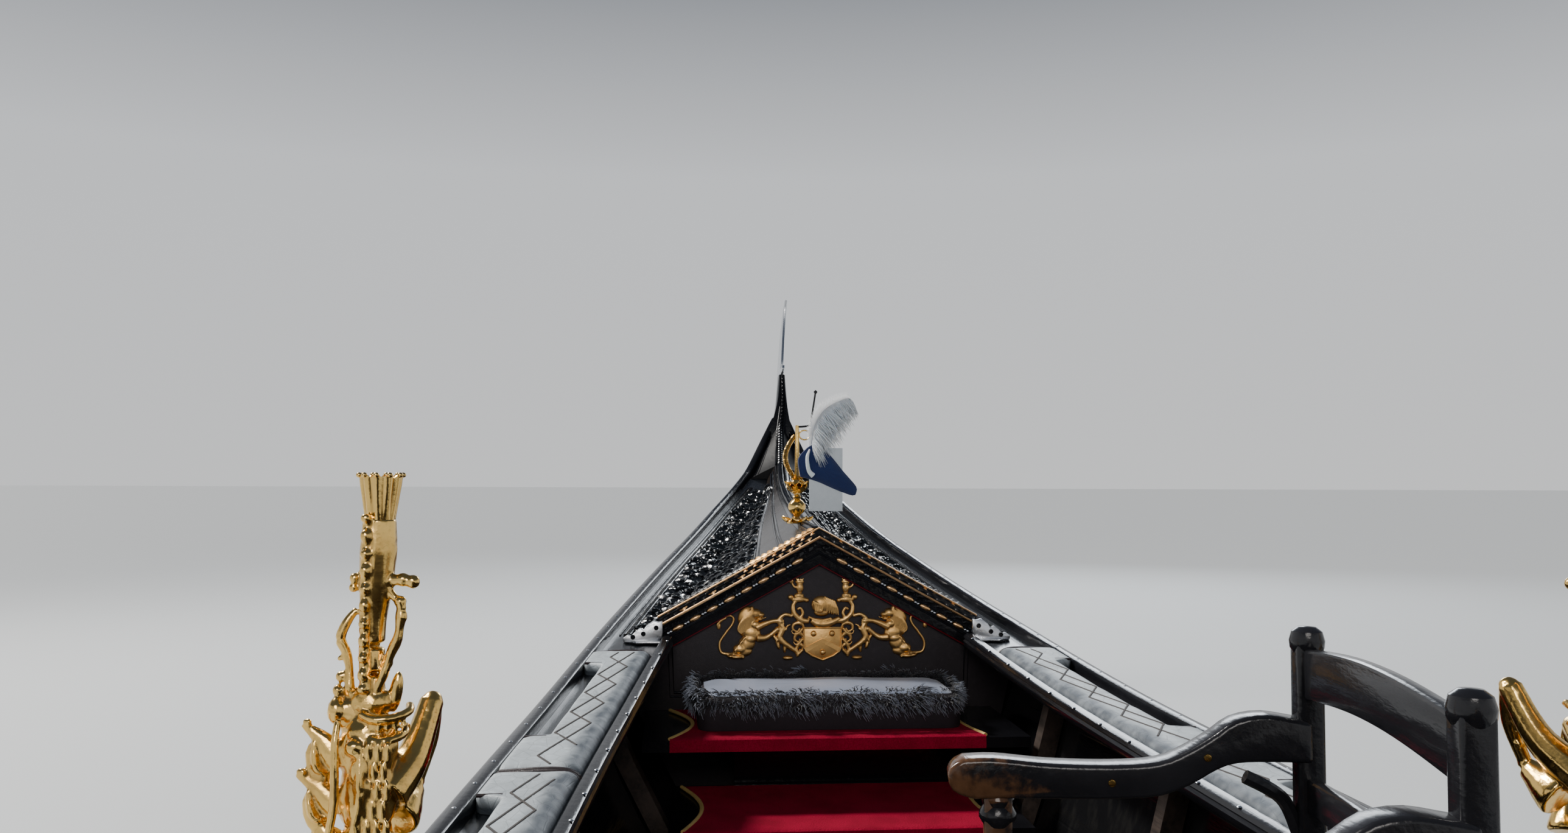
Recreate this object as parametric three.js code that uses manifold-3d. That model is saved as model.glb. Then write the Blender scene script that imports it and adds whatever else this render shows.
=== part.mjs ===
// A Venetian gondola in millimetres: +X to the bow, +Y to port, +Z up.
// The origin is on the waterline, amidships, on the line from stem to sternpost.
import * as THREE from "three";
import { mergeVertices } from "three/addons/utils/BufferGeometryUtils.js";
import Module from "manifold-3d";

const wasm = await Module();
wasm.setup();

// Hull
const HALF_LENGTH = 5350;
const PLAN_POWER = 0.706;
const CHINE_SHARE = 0.61;
const CHINE_END = 5000;
const CHINE_POWER = 0.9;
const FIT = 0.4;
const PLANK = 20;
const END_PLANK = 12;
const BOTTOM_PLANK = 24;
const BOTTOM_END = 4700;
const PLANK_END = 5300;
const FLARE_ROUND = 22;
const POST_HALF = 24;
const POST_TIP_HALF = 11;
const POST_TAPER = { from: 900, to: 1200 };
const POST_DEPTH = 78;

// Gunwale, from the outer edge inwards
const WALE_WIDTH = 32;
const WALE_HEIGHT = 46;
const WALE_ROUND = 9;
const COVER_WIDTH = 138;
const COVER_DROP = 26;
const COVER_THICK = 16;
const RAIL_WIDTH = 26;
const RAIL_HEIGHT = 34;
const RAIL_DROP = 6;
const PAD_THICK = 27;
const PAD_RECESS = 42;

// Lengthwise places
const GABLE_X = 2856;
const COCKPIT_AFT = -1350;
const BULKHEAD = 22;
const HOOK_FROM = 5000;
const HOOK_TO = 5240;
const FLOOR_Z = -80;
const FLOOR_THICK = 18;
const FLOOR_FROM = -1250;
const FLOOR_TO = 2740;

// Distance from amidships and the heights of the gunwale forward and aft, and of the bottom.
const LINES = [
  { x: 0, bow: 458, stern: 458, keel: -205 },
  { x: 1000, bow: 467, stern: 468, keel: -190 },
  { x: 2000, bow: 492, stern: 500, keel: -148 },
  { x: 3000, bow: 573, stern: 590, keel: -55 },
  { x: 4000, bow: 703, stern: 728, keel: 132 },
  { x: 4500, bow: 804, stern: 836, keel: 296 },
  { x: 5000, bow: 960, stern: 990, keel: 640 },
  { x: 5200, bow: 1109, stern: 1130, keel: 900 },
  { x: 5350, bow: 1278, stern: 1290, keel: 1220 },
  { x: 5400, bow: 1345, stern: 1350, keel: 1400 },
];

// Height of the foredeck's ridge above the gunwale.
const RIDGE = [
  { x: 2800, rise: 252 },
  { x: 3400, rise: 192 },
  { x: 3900, rise: 158 },
  { x: 4400, rise: 104 },
  { x: 4850, rise: 46 },
  { x: 5200, rise: 30 },
];

const HALF_STATIONS = [
  0, 450, 900, 1350, 1800, 2250, 2640, 2880, 3140, 3500, 3900, 4300, 4600, 4700, 4860, 5000, 5120, 5200,
  5260, 5300, 5350, 5400,
];
const STATIONS = [...HALF_STATIONS.slice(1).reverse().map((x) => -x), ...HALF_STATIONS];

const PORT = { name: "port", sign: 1, beam: 854 };
const STARBOARD = { name: "starboard", sign: -1, beam: 566 };
const SIDES = [PORT, STARBOARD];

// Materials
const finish = (color, roughness, metalness = 0) => new THREE.MeshStandardMaterial({ color, roughness, metalness });
const lacquer = finish(0x0b0a0b, 0.18);
const wornLacquer = finish(0x2a211c, 0.35);
const bottomPaint = finish(0x10151a, 0.6);
const floorPaint = finish(0x17120f, 0.55);
const steel = finish(0x9aa0a8, 0.28, 1);
const brass = finish(0xb8862b, 0.25, 1);
const gilding = finish(0xa9782a, 0.38, 1);
const padLeather = finish(0x8f9aa3, 0.5);
const blackLeather = finish(0x120e12, 0.45);
const carpet = finish(0x9c1426, 0.95);
const fringe = finish(0x23262b, 0.95);
const walnut = finish(0x6b4325, 0.4);
const oarWood = finish(0x9a7442, 0.45);
const blueFelt = finish(0x1c2f7a, 0.9);
const whiteFeather = finish(0xd6d9dc, 0.9);
const whiteCard = finish(0xc9d0d6, 0.7);

const root = new THREE.Group();
const vec = (x, y, z) => new THREE.Vector3(x, y, z);
const mix = THREE.MathUtils.lerp;

// A smooth curve through a table's rows: cubic pieces whose slopes never overshoot.
function through(rows, key) {
  const slope = rows.slice(1).map((row, i) => (row[key] - rows[i][key]) / (row.x - rows[i].x));
  const tangent = rows.map((row, i) => {
    if (i === 0) return slope[0];
    if (i === rows.length - 1) return slope[i - 1];
    return slope[i - 1] * slope[i] <= 0 ? 0 : (2 * slope[i - 1] * slope[i]) / (slope[i - 1] + slope[i]);
  });
  return (x) => {
    let i = 0;
    while (i < rows.length - 2 && x > rows[i + 1].x) i += 1;
    const width = rows[i + 1].x - rows[i].x;
    const t = (x - rows[i].x) / width;
    const u = 1 - t;
    return (
      rows[i][key] * (1 + 2 * t) * u * u +
      rows[i + 1][key] * (3 - 2 * t) * t * t +
      tangent[i] * width * t * u * u -
      tangent[i + 1] * width * t * t * u
    );
  };
}

// The same curve held straight between stations, so that pieces built over each other match.
function faired(curve) {
  const heights = STATIONS.map(curve);
  return (x) => {
    let i = 0;
    while (i < STATIONS.length - 2 && x > STATIONS[i + 1]) i += 1;
    const t = (x - STATIONS[i]) / (STATIONS[i + 1] - STATIONS[i]);
    return mix(heights[i], heights[i + 1], t);
  };
}

const bowSheer = through(LINES, "bow");
const sternSheer = through(LINES, "stern");
const keelLine = through(LINES, "keel");
const ridgeRise = through(RIDGE, "rise");
const planShare = (x) => Math.max(0, 1 - (x / HALF_LENGTH) ** 2) ** PLAN_POWER;
const chineShare = (x) => Math.max(0, 1 - (x / CHINE_END) ** 2) ** CHINE_POWER;

// The posts grow thinner towards their heads.
const postHalf = (z) =>
  mix(
    POST_HALF,
    POST_TIP_HALF,
    THREE.MathUtils.clamp((z - POST_TAPER.from) / (POST_TAPER.to - POST_TAPER.from), 0, 1),
  );

const sheer = faired((x) => (x < 0 ? sternSheer(-x) : bowSheer(x)));
const keel = faired((x) => keelLine(Math.abs(x)));
const plank = faired((x) => mix(END_PLANK, PLANK, planShare(x)));
const midLine = faired((x) => ((PORT.beam - STARBOARD.beam) / 2) * planShare(x));
for (const side of SIDES) {
  side.edge = faired((x) => side.beam * planShare(x));
  side.chine = faired((x) => Math.max(postHalf(keel(x)) + 2 + plank(x), CHINE_SHARE * side.beam * chineShare(x)));
  side.coverEdge = (x) => side.edge(x) - WALE_WIDTH - FIT - coverWidth(x, side);
}

function coverWidth(x, side) {
  return Math.min(COVER_WIDTH, 0.55 * (side.edge(x) - WALE_WIDTH - POST_HALF));
}

const stationsBetween = (from, to) => [from, ...STATIONS.filter((x) => x > from + 1 && x < to - 1), to];

// A closed solid through rings of points, all with the same count, with flat ends.
function loft(rings) {
  const count = rings[0].length;
  const points = rings.flat();
  const triangles = [];
  for (let r = 0; r + 1 < rings.length; r += 1) {
    for (let i = 0; i < count; i += 1) {
      const a = r * count + i;
      const b = r * count + ((i + 1) % count);
      triangles.push([a, b, b + count], [a, b + count, a + count]);
    }
  }
  const last = (rings.length - 1) * count;
  for (const [a, b, c] of capTriangles(rings[0])) triangles.push([c, b, a]);
  for (const [a, b, c] of capTriangles(rings[rings.length - 1])) triangles.push([last + a, last + b, last + c]);
  return closedGeometry(points, triangles);
}

function capTriangles(ring) {
  const normal = vec(0, 0, 0);
  ring.forEach((point, i) => {
    const next = ring[(i + 1) % ring.length];
    normal.x += (point.y - next.y) * (point.z + next.z);
    normal.y += (point.z - next.z) * (point.x + next.x);
    normal.z += (point.x - next.x) * (point.y + next.y);
  });
  const sizes = normal.toArray().map(Math.abs);
  const drop = sizes.indexOf(Math.max(...sizes));
  const keep = [
    ["y", "z"],
    ["z", "x"],
    ["x", "y"],
  ][drop];
  const flat = ring.map((point) => new THREE.Vector2(point[keep[0]], point[keep[1]]));
  const turned = THREE.ShapeUtils.area(flat) < 0;
  const contour = turned ? flat.slice().reverse() : flat;
  return THREE.ShapeUtils.triangulateShape(contour, []).map((face) =>
    turned ? face.map((i) => ring.length - 1 - i).reverse() : face,
  );
}

// Points and triangles as a geometry whose faces point out.
function closedGeometry(points, triangles) {
  let volume = 0;
  for (const [a, b, c] of triangles) {
    volume += points[a].dot(new THREE.Vector3().crossVectors(points[b], points[c]));
  }
  const index = triangles.flatMap(([a, b, c]) => (volume < 0 ? [a, c, b] : [a, b, c]));
  const geometry = new THREE.BufferGeometry().setFromPoints(points);
  geometry.setIndex(index);
  return geometry;
}

// Geometry in and out of a solid that can be joined and cut.
function solid(geometry) {
  const plain = (geometry.index ? geometry.toNonIndexed() : geometry.clone()).deleteAttribute("normal");
  plain.deleteAttribute("uv");
  const merged = mergeVertices(plain, 1e-3);
  return new wasm.Manifold(
    new wasm.Mesh({
      numProp: 3,
      vertProperties: merged.attributes.position.array,
      triVerts: new Uint32Array(merged.index.array),
    }),
  );
}

function geometryOf(body) {
  const { vertProperties, triVerts, numProp } = body.getMesh();
  const geometry = new THREE.BufferGeometry();
  const positions = new Float32Array((vertProperties.length / numProp) * 3);
  for (let i = 0; i < positions.length / 3; i += 1) {
    positions.set(vertProperties.subarray(i * numProp, i * numProp + 3), i * 3);
  }
  geometry.setAttribute("position", new THREE.BufferAttribute(positions, 3));
  geometry.setIndex(new THREE.BufferAttribute(triVerts, 1));
  return geometry;
}

const joined = (geometries) => geometryOf(geometries.map(solid).reduce((whole, next) => whole.add(next)));
const cutFrom = (geometry, tools) =>
  geometryOf(tools.map(solid).reduce((whole, tool) => whole.subtract(tool), solid(geometry)));

function add(name, geometry, material, parent = root) {
  geometry.computeVertexNormals();
  const mesh = new THREE.Mesh(geometry, material);
  mesh.name = name;
  parent.add(mesh);
  return mesh;
}

// A box between two corners.
function block(low, high) {
  const size = high.map((value, i) => value - low[i]);
  const geometry = new THREE.BoxGeometry(...size);
  return geometry.translate(...low.map((value, i) => value + size[i] / 2));
}

// An outline in a plane, given a thickness: plane "xz" goes across the boat, "yz" along it.
function plate(outline, plane, from, to) {
  const ring = (depth) =>
    outline.map(([a, z]) => (plane === "xz" ? vec(a, depth, z) : vec(depth, a, z)));
  return loft([ring(from), ring(to)]);
}

// A bar along a smooth curve, with a round section.
function roundBar(points, radius, sides, steps) {
  const section = new THREE.Shape();
  for (let i = 0; i < sides; i += 1) {
    const angle = (2 * Math.PI * i) / sides;
    section[i ? "lineTo" : "moveTo"](radius * Math.cos(angle), radius * Math.sin(angle));
  }
  const extrudePath = new THREE.CatmullRomCurve3(points.map((point) => vec(...point)));
  return new THREE.ExtrudeGeometry(section, { steps, extrudePath, bevelEnabled: false });
}

// A turned shape on an upright axis: profile rows are [radius, height].
function turned(profile, segments, x, y, z) {
  const points = profile.map(([radius, height]) => new THREE.Vector2(radius, height));
  return new THREE.LatheGeometry(points, segments).rotateX(Math.PI / 2).translate(x, y, z);
}

const ball = (radius, x, y, z, segments = 10) =>
  new THREE.SphereGeometry(radius, segments, segments / 2 + 1).translate(x, y, z);

// A piece that runs along one side of the hull: section(x) gives [y, z] rows, y outwards.
function alongHull(from, to, side, section) {
  return loft(
    stationsBetween(from, to).map((x) => section(x).map(([y, z]) => vec(x, side.sign * y, z))),
  );
}

// Planking
const SIDE_LEVELS = [0, 0.35, 0.7, 1];

function sideSection(x, side) {
  const low = keel(x) + FIT;
  const high = sheer(x) - WALE_HEIGHT - FIT;
  const outer = SIDE_LEVELS.map((share) => {
    const bulge = FLARE_ROUND * 4 * share * (1 - share) * (side.edge(x) / side.beam);
    return [mix(side.chine(x), side.edge(x) - 8, share) + bulge, mix(low, high, share)];
  });
  const inner = outer.map(([y, z]) => [Math.max(y - plank(x), postHalf(z) + 1.5), z]).reverse();
  return [...outer, ...inner];
}

function planking() {
  for (const side of SIDES) {
    add("side_" + side.name, alongHull(-PLANK_END, PLANK_END, side, (x) => sideSection(x, side)), lacquer);
  }
  const bottom = stationsBetween(-BOTTOM_END, BOTTOM_END).map((x) => [
    vec(x, PORT.chine(x), keel(x)),
    vec(x, -STARBOARD.chine(x), keel(x)),
    vec(x, -STARBOARD.chine(x), keel(x) - BOTTOM_PLANK),
    vec(x, PORT.chine(x), keel(x) - BOTTOM_PLANK),
  ]);
  add("hull_bottom", loft(bottom), bottomPaint);
}

// The stem and the sternpost follow the bottom's curve up to the gunwales' ends.
const POST_FOOT = 4300;
const SCARF_STEP = 4600;
const SCARF_DEPTH = 26;
const POST_TOP_X = 5400;

function postNormal(x) {
  const rise = (keelLine(x + 5) - keelLine(x - 5)) / 10;
  return new THREE.Vector2(-rise, 1).normalize();
}

// Rows of a post's outer and inner edge, from its scarf on the bottom up to its head.
function postRows(grow) {
  const xs = HALF_STATIONS.filter((x) => x >= BOTTOM_END);
  const rows = xs.map((x) => {
    const normal = postNormal(Math.min(x, POST_TOP_X - 5));
    const at = (distance) => [x + normal.x * distance, keelLine(x) + normal.y * distance];
    return [at(-BOTTOM_PLANK - grow), at(POST_DEPTH + grow)];
  });
  rows[0][0][0] = BOTTOM_END + FIT;
  const onBottom = (x) => [x, keel(x) + FIT];
  const scarf = [
    [onBottom(POST_FOOT), [POST_FOOT, keel(POST_FOOT) + SCARF_DEPTH]],
    [onBottom(SCARF_STEP), [SCARF_STEP, keel(SCARF_STEP) + POST_DEPTH]],
    [onBottom(BOTTOM_END + FIT), [mix(SCARF_STEP, rows[0][1][0], 0.7), mix(keel(SCARF_STEP) + POST_DEPTH, rows[0][1][1], 0.7)]],
  ];
  return [...scarf, ...rows];
}

// A post as a solid, grown by a clearance where it is to cut its neighbour.
function post(end, grow) {
  const rings = postRows(grow).map(([outer, inner]) => {
    const corner = ([x, z], sign) => vec(end * x, sign * (postHalf(z) + grow), z);
    return [corner(outer, -1), corner(outer, 1), corner(inner, 1), corner(inner, -1)];
  });
  return loft(rings);
}

function posts() {
  add("stem", post(1, 0), lacquer);
  add("sternpost", post(-1, 0), lacquer);
}

// Gunwale rails, side decks and pads
function waleSection(x, side) {
  const top = sheer(x);
  const outer = side.edge(x);
  const inner = outer - Math.min(WALE_WIDTH, outer - postHalf(top - WALE_HEIGHT) - 1);
  return [
    [inner, top - WALE_HEIGHT],
    [outer, top - WALE_HEIGHT],
    [outer, top - WALE_ROUND],
    [outer - WALE_ROUND, top],
    [inner, top],
  ];
}

function coverSection(x, side) {
  const outer = side.edge(x) - WALE_WIDTH - FIT;
  const inner = outer - coverWidth(x, side);
  const top = sheer(x) - COVER_DROP;
  return [
    [inner, top - COVER_THICK],
    [outer, top - COVER_THICK],
    [outer, top],
    [inner, top],
  ];
}

function railSection(x, side) {
  const outer = side.coverEdge(x) - FIT;
  const inner = outer - RAIL_WIDTH;
  const top = sheer(x) - RAIL_DROP;
  const low = top - RAIL_HEIGHT;
  return [
    [inner + 6, low],
    [outer, low],
    [outer, top],
    [inner + 8, top],
    [inner, top - 8],
    [inner, low + 8],
  ];
}

const PADS = [
  { name: "fore", from: 1705, to: 2620, recessFrom: 1900, recessTo: 2500 },
  { name: "middle", from: 1075, to: 1690, recessFrom: 1200, recessTo: 1560 },
  { name: "aft", from: -250, to: 868, recessFrom: 0, recessTo: 700 },
];

function padSection(x, side, recess) {
  const outer = side.edge(x) - WALE_WIDTH - 2 - (recess ? PAD_RECESS : 0);
  const inner = side.coverEdge(x) + 3;
  const low = sheer(x) - COVER_DROP + FIT;
  const top = low + PAD_THICK;
  return [
    [inner, low],
    [outer, low],
    [outer, top],
    [inner + 22, top],
    [inner + 5, top - 8],
    [inner, top - 18],
  ];
}

function gunwales() {
  for (const side of SIDES) {
    add("wale_" + side.name, alongHull(-PLANK_END, PLANK_END, side, (x) => waleSection(x, side)), lacquer);
    const deck = alongHull(FIT - HOOK_FROM, HOOK_FROM - FIT, side, (x) => coverSection(x, side));
    add("side_deck_" + side.name, deck, lacquer);
    const rail = alongHull(COCKPIT_AFT + 20, GABLE_X - 62, side, (x) => railSection(x, side));
    add("inner_rail_" + side.name, rail, lacquer);
    for (const pad of PADS) {
      const whole = alongHull(pad.from, pad.to, side, (x) => padSection(x, side, false));
      const cutter = alongHull(pad.recessFrom, pad.recessTo, side, (x) => {
        const edge = side.edge(x) - WALE_WIDTH;
        const low = sheer(x) - COVER_DROP - 20;
        return [
          [edge - PAD_RECESS, low],
          [edge + 20, low],
          [edge + 20, low + 90],
          [edge - PAD_RECESS, low + 90],
        ];
      });
      add(`pad_${side.name}_${pad.name}`, cutFrom(whole, [cutter]), padLeather);
    }
  }
}

// Frames: floor timbers and side ribs, one node for each half of the cockpit
const RIBS = [-1100, -500, 100, 700, 1300, 1900, 2500];
const RIB_WIDTH = 34;
const RIB_DEPTH = 42;
const FLOOR_TIMBER = 62;
const WALL_GAP = 1.2;

const floorTop = faired((x) => Math.max(FLOOR_Z, keelLine(Math.abs(x)) + FLOOR_TIMBER + FLOOR_THICK));
const timberTop = (x) => Math.min(floorTop(x), floorTop(x + RIB_WIDTH)) - FLOOR_THICK - FIT;

// Distance from the centre line to the planking's inner face, at a height.
function innerAt(x, z, side) {
  const wall = sideSection(x, side).slice(SIDE_LEVELS.length).reverse();
  let i = 0;
  while (i < wall.length - 2 && z > wall[i + 1][1]) i += 1;
  const t = (z - wall[i][1]) / (wall[i + 1][1] - wall[i][1]);
  return mix(wall[i][0], wall[i + 1][0], Math.max(0, t)) - WALL_GAP;
}

// Points up the planking's inner face, from the bottom to a height.
function wallRows(x, side, low, high) {
  const levels = SIDE_LEVELS.map((share) => sideSection(x, side)[SIDE_LEVELS.indexOf(share)][1]);
  const heights = [low, ...levels.filter((z) => z > low + 1 && z < high - 1), high];
  return heights.map((z) => [innerAt(x, z, side), z]);
}

function ribSection(x, side) {
  const foot = keel(x) + 2 * FIT;
  const top = sheer(x) - WALE_HEIGHT - 6;
  const inward = wallRows(x, side, foot, top);
  const inside = inward.map(([y, z]) => [y - RIB_DEPTH, z]).reverse();
  const heel = timberTop(x) - 8;
  inside[inside.length - 1] = [innerAt(x, heel, side) - RIB_DEPTH, heel];
  return [...inward, ...inside, [inward[0][0] - RIB_DEPTH, foot]];
}

function frames() {
  const pieces = [];
  for (const x of RIBS) {
    for (const side of SIDES) {
      const ring = (at) => ribSection(at, side).map(([y, z]) => vec(at, side.sign * y, z));
      pieces.push(loft([ring(x), ring(x + RIB_WIDTH)]));
    }
    const reach = (side) => side.chine(x + RIB_WIDTH) - PLANK - WALL_GAP - 6;
    const low = Math.max(keel(x), keel(x + RIB_WIDTH)) + FIT;
    pieces.push(block([x, -reach(STARBOARD), low], [x + RIB_WIDTH, reach(PORT), timberTop(x)]));
  }
  const first = RIBS[0];
  const last = RIBS[RIBS.length - 1] + RIB_WIDTH;
  const spine = stationsBetween(first, last).map((x) => {
    const low = keel(x) + 12;
    return [
      vec(x, -40, low),
      vec(x, 60, low),
      vec(x, 60, low + 44),
      vec(x, -40, low + 44),
    ];
  });
  pieces.push(loft(spine));
  add("frames", joined(pieces), floorPaint);
}

// Floorboards between the frames' inner faces; forward they rise with the bottom.
const floorHalf = (x, side) => innerAt(x, floorTop(x) - FLOOR_THICK, side) - RIB_DEPTH - 12;

function floorboards() {
  const rings = stationsBetween(FLOOR_FROM, FLOOR_TO).map((x) => [
    vec(x, floorHalf(x, PORT), floorTop(x)),
    vec(x, -floorHalf(x, STARBOARD), floorTop(x)),
    vec(x, -floorHalf(x, STARBOARD), floorTop(x) - FLOOR_THICK),
    vec(x, floorHalf(x, PORT), floorTop(x) - FLOOR_THICK),
  ]);
  add("floorboards", loft(rings), floorPaint);
}

// Foredeck: two sloping panels, a ridge piece, the gable and its cornice
const RIDGE_HALF = 26;
const DECK_THICK = 16;
const GABLE_THICK = 20;

const ridgeTop = (x) => sheer(x) + faired(ridgeRise)(x);

function deckSection(x, side, rise) {
  const outer = side.coverEdge(x) - FIT;
  const low = sheer(x) - COVER_DROP + 4;
  const inner = side.sign * midLine(x) + RIDGE_HALF + FIT;
  const high = sheer(x) + rise(x) - 12;
  return [
    [outer, low],
    [inner, high],
    [inner, high - DECK_THICK],
    [outer, low - DECK_THICK],
  ];
}

function foredeck() {
  const rise = faired(ridgeRise);
  for (const side of SIDES) {
    const from = GABLE_X + GABLE_THICK + 4;
    const panel = alongHull(from, HOOK_FROM - FIT, side, (x) => deckSection(x, side, rise));
    add("foredeck_" + side.name, panel, lacquer);
  }
  const ridge = stationsBetween(GABLE_X + FIT, HOOK_FROM - FIT).map((x) => {
    const top = ridgeTop(x);
    const middle = midLine(x);
    return [
      vec(x, middle - RIDGE_HALF, top - 30),
      vec(x, middle + RIDGE_HALF, top - 30),
      vec(x, middle + RIDGE_HALF, top - 10),
      vec(x, middle + 8, top),
      vec(x, middle - 8, top),
      vec(x, middle - RIDGE_HALF, top - 10),
    ];
  });
  add("foredeck_ridge", loft(ridge), lacquer);
}

// Outline of a panel that closes the hull crosswise between two stations, up to the side decks.
function crossOutline(from, to, peak) {
  const outline = [];
  for (const side of [STARBOARD, PORT]) {
    const narrow = (pick) => Math.min(pick(from), pick(to));
    const low = Math.max(keel(from), keel(to)) + 3;
    const under = narrow(sheer) - COVER_DROP - COVER_THICK - FIT;
    const clearOfWale = narrow(side.edge) - WALE_WIDTH - 2 * FIT;
    const wall = wallRows(from, side, low, under).map(([, z]) => [
      Math.min(clearOfWale, narrow((x) => innerAt(x, z, side))),
      z,
    ]);
    const edge = narrow(side.coverEdge) - FIT;
    const points = [...wall, [edge, under], [edge, narrow(sheer) - COVER_DROP - DECK_THICK]];
    const rows = points.map(([y, z]) => [side.sign * y, z]);
    outline.push(...(side === STARBOARD ? rows.reverse() : rows));
  }
  outline.push(peak);
  return outline;
}

const GABLE_APEX_Y = 110;
const CORNICE = { half: 415, innerHalf: 385, apexRise: 8, apexWidth: 92, footRise: 27, footWidth: 40, thick: 26 };

function gable() {
  const x = GABLE_X;
  const outline = crossOutline(x, x + GABLE_THICK, [GABLE_APEX_Y, ridgeTop(x) - 44]);
  add("end_panel", plate(outline, "yz", x, x + GABLE_THICK), blackLeather);

  const apex = ridgeTop(x) + CORNICE.apexRise;
  const foot = sheer(x) + CORNICE.footRise;
  const chevron = [
    [GABLE_APEX_Y - CORNICE.half, foot],
    [GABLE_APEX_Y, apex],
    [GABLE_APEX_Y + CORNICE.half, foot],
    [GABLE_APEX_Y + CORNICE.innerHalf, foot - CORNICE.footWidth],
    [GABLE_APEX_Y, apex - CORNICE.apexWidth],
    [GABLE_APEX_Y - CORNICE.innerHalf, foot - CORNICE.footWidth],
  ];
  add("cornice", plate(chevron, "yz", x - CORNICE.thick, x - FIT), lacquer);
}

// Solid hooks close the decks between the wales and the posts.
function breasthooks() {
  for (const end of [1, -1]) {
    const crown = end > 0 ? ridgeRise(HOOK_FROM) : camber(-HOOK_FROM);
    const rings = stationsBetween(HOOK_FROM, HOOK_TO).map((station) => {
      const x = end * station;
      const top = sheer(x);
      const reach = (side) => side.sign * (waleSection(x, side)[0][0] - FIT);
      return [
        vec(x, reach(PORT), top - COVER_DROP - COVER_THICK),
        vec(x, reach(PORT), top - COVER_DROP),
        vec(x, midLine(x), top + crown),
        vec(x, reach(STARBOARD), top - COVER_DROP),
        vec(x, reach(STARBOARD), top - COVER_DROP - COVER_THICK),
      ];
    });
    add("breasthook_" + (end > 0 ? "fore" : "aft"), cutFrom(loft(rings), [post(end, 1)]), lacquer);
  }
}

// Aft deck, its bulkhead and the rower's platform
const CAMBER = { fore: 34, aft: 12, from: 1350, length: 3600 };
const camber = faired((x) =>
  mix(CAMBER.fore, CAMBER.aft, THREE.MathUtils.clamp((-x - CAMBER.from) / CAMBER.length, 0, 1)),
);
const PLATFORM = { fore: -3300, aft: -4050, port: 250, starboard: -60, thick: 22, bearer: 24, seat: 6 };

// Height of the aft deck's upper face.
function aftDeckTop(x, y) {
  const side = y > midLine(x) ? PORT : STARBOARD;
  const inner = midLine(x) + side.sign * FIT;
  const outer = side.sign * (side.coverEdge(x) - FIT);
  return mix(sheer(x) + camber(x), sheer(x) - COVER_DROP + 4, (y - inner) / (outer - inner));
}

function aftDeck() {
  for (const side of SIDES) {
    const panel = alongHull(FIT - HOOK_FROM, COCKPIT_AFT - 24, side, (x) => {
      const outer = side.coverEdge(x) - FIT;
      const inner = side.sign * midLine(x) + FIT;
      const low = sheer(x) - COVER_DROP + 4;
      const high = sheer(x) + camber(x);
      return [
        [outer, low],
        [inner, high],
        [inner, high - DECK_THICK],
        [outer, low - DECK_THICK],
      ];
    });
    add("aft_deck_" + side.name, panel, lacquer);
  }
  const x = COCKPIT_AFT;
  const outline = crossOutline(x - BULKHEAD, x, [midLine(x), sheer(x) + 10]);
  add("aft_bulkhead", plate(outline, "yz", x - BULKHEAD, x), lacquer);
  platform();
}

// A flat board on two bearers, which follow the deck's slope.
function platform() {
  const { fore, aft, port, starboard, thick, bearer, seat } = PLATFORM;
  const base = (x) => sheer(x) + camber(x) + seat;
  const boardLow = (x) => mix(base(fore), base(aft), (x - fore) / (aft - fore));
  const slab = (from, to, low, high) =>
    loft(
      stationsBetween(aft, fore).map((x) => [
        vec(x, from, low(x, from)),
        vec(x, to, low(x, to)),
        vec(x, to, high(x)),
        vec(x, from, high(x)),
      ]),
    );
  const flat = [aft, fore].map((x) => [
    vec(x, starboard, boardLow(x)),
    vec(x, port, boardLow(x)),
    vec(x, port, boardLow(x) + thick),
    vec(x, starboard, boardLow(x) + thick),
  ]);
  const deckSeat = (x, y) => aftDeckTop(x, y) + FIT;
  const inBoard = (x) => boardLow(x) + thick / 2;
  const bearers = [starboard, port - bearer].map((y) => slab(y, y + bearer, deckSeat, inBoard));
  add("rowing_platform", joined([loft(flat), ...bearers]), wornLacquer);
}

// Thwart and lower step, with their carpets
const THWART = {
  from: 2476,
  to: 2846,
  top: 352,
  thick: 24,
  port: { end: 552, carpet: 490, cove: 55 },
  starboard: { end: 338, carpet: 232, cove: 28 },
  riser: 2702,
};
const STEP = {
  from: 2290,
  to: 2690,
  top: 200,
  thick: 24,
  port: { end: 490, carpet: 460, cove: 45 },
  starboard: { end: 292, carpet: 228, cove: 26 },
  riser: 2340,
};
const CARPET = 6;
const CARPET_BACK = 30;
const COVE_STEPS = 6;
const RISER = 22;
const POUF = { from: 2548, to: 2800, starboard: -195, port: 425, corner: 30, high: 458, fringe: 12 };

// A plank across the boat, its carpet with hollowed ends, and the board that carries it.
function shelf(name, size) {
  const board = block(
    [size.from, -size.starboard.end, size.top - size.thick],
    [size.to, size.port.end, size.top],
  );
  add(name, board, lacquer);
  const outline = [];
  for (const side of SIDES) {
    const { carpet: end, cove } = size[side.name];
    for (let i = 0; i <= COVE_STEPS; i += 1) {
      const t = i / COVE_STEPS;
      const along = side === PORT ? t : 1 - t;
      const y = side.sign * (end - Math.sin(Math.PI * t) * cove);
      outline.push([mix(size.from, size.to - CARPET_BACK, along), y]);
    }
  }
  const ring = (z) => outline.map(([x, y]) => vec(x, y, z));
  add(name + "_carpet", loft([ring(size.top + FIT), ring(size.top + FIT + CARPET)]), carpet);
  const [from, to] = [size.riser, size.riser + RISER];
  const low = Math.max(floorTop(from), floorTop(to)) + FIT;
  const reach = (side) => Math.min(floorHalf(from, side), floorHalf(to, side)) - 8;
  const riser = block([from, -reach(STARBOARD), low], [to, reach(PORT), size.top - size.thick - FIT]);
  add(name + "_riser", riser, lacquer);
}

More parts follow.
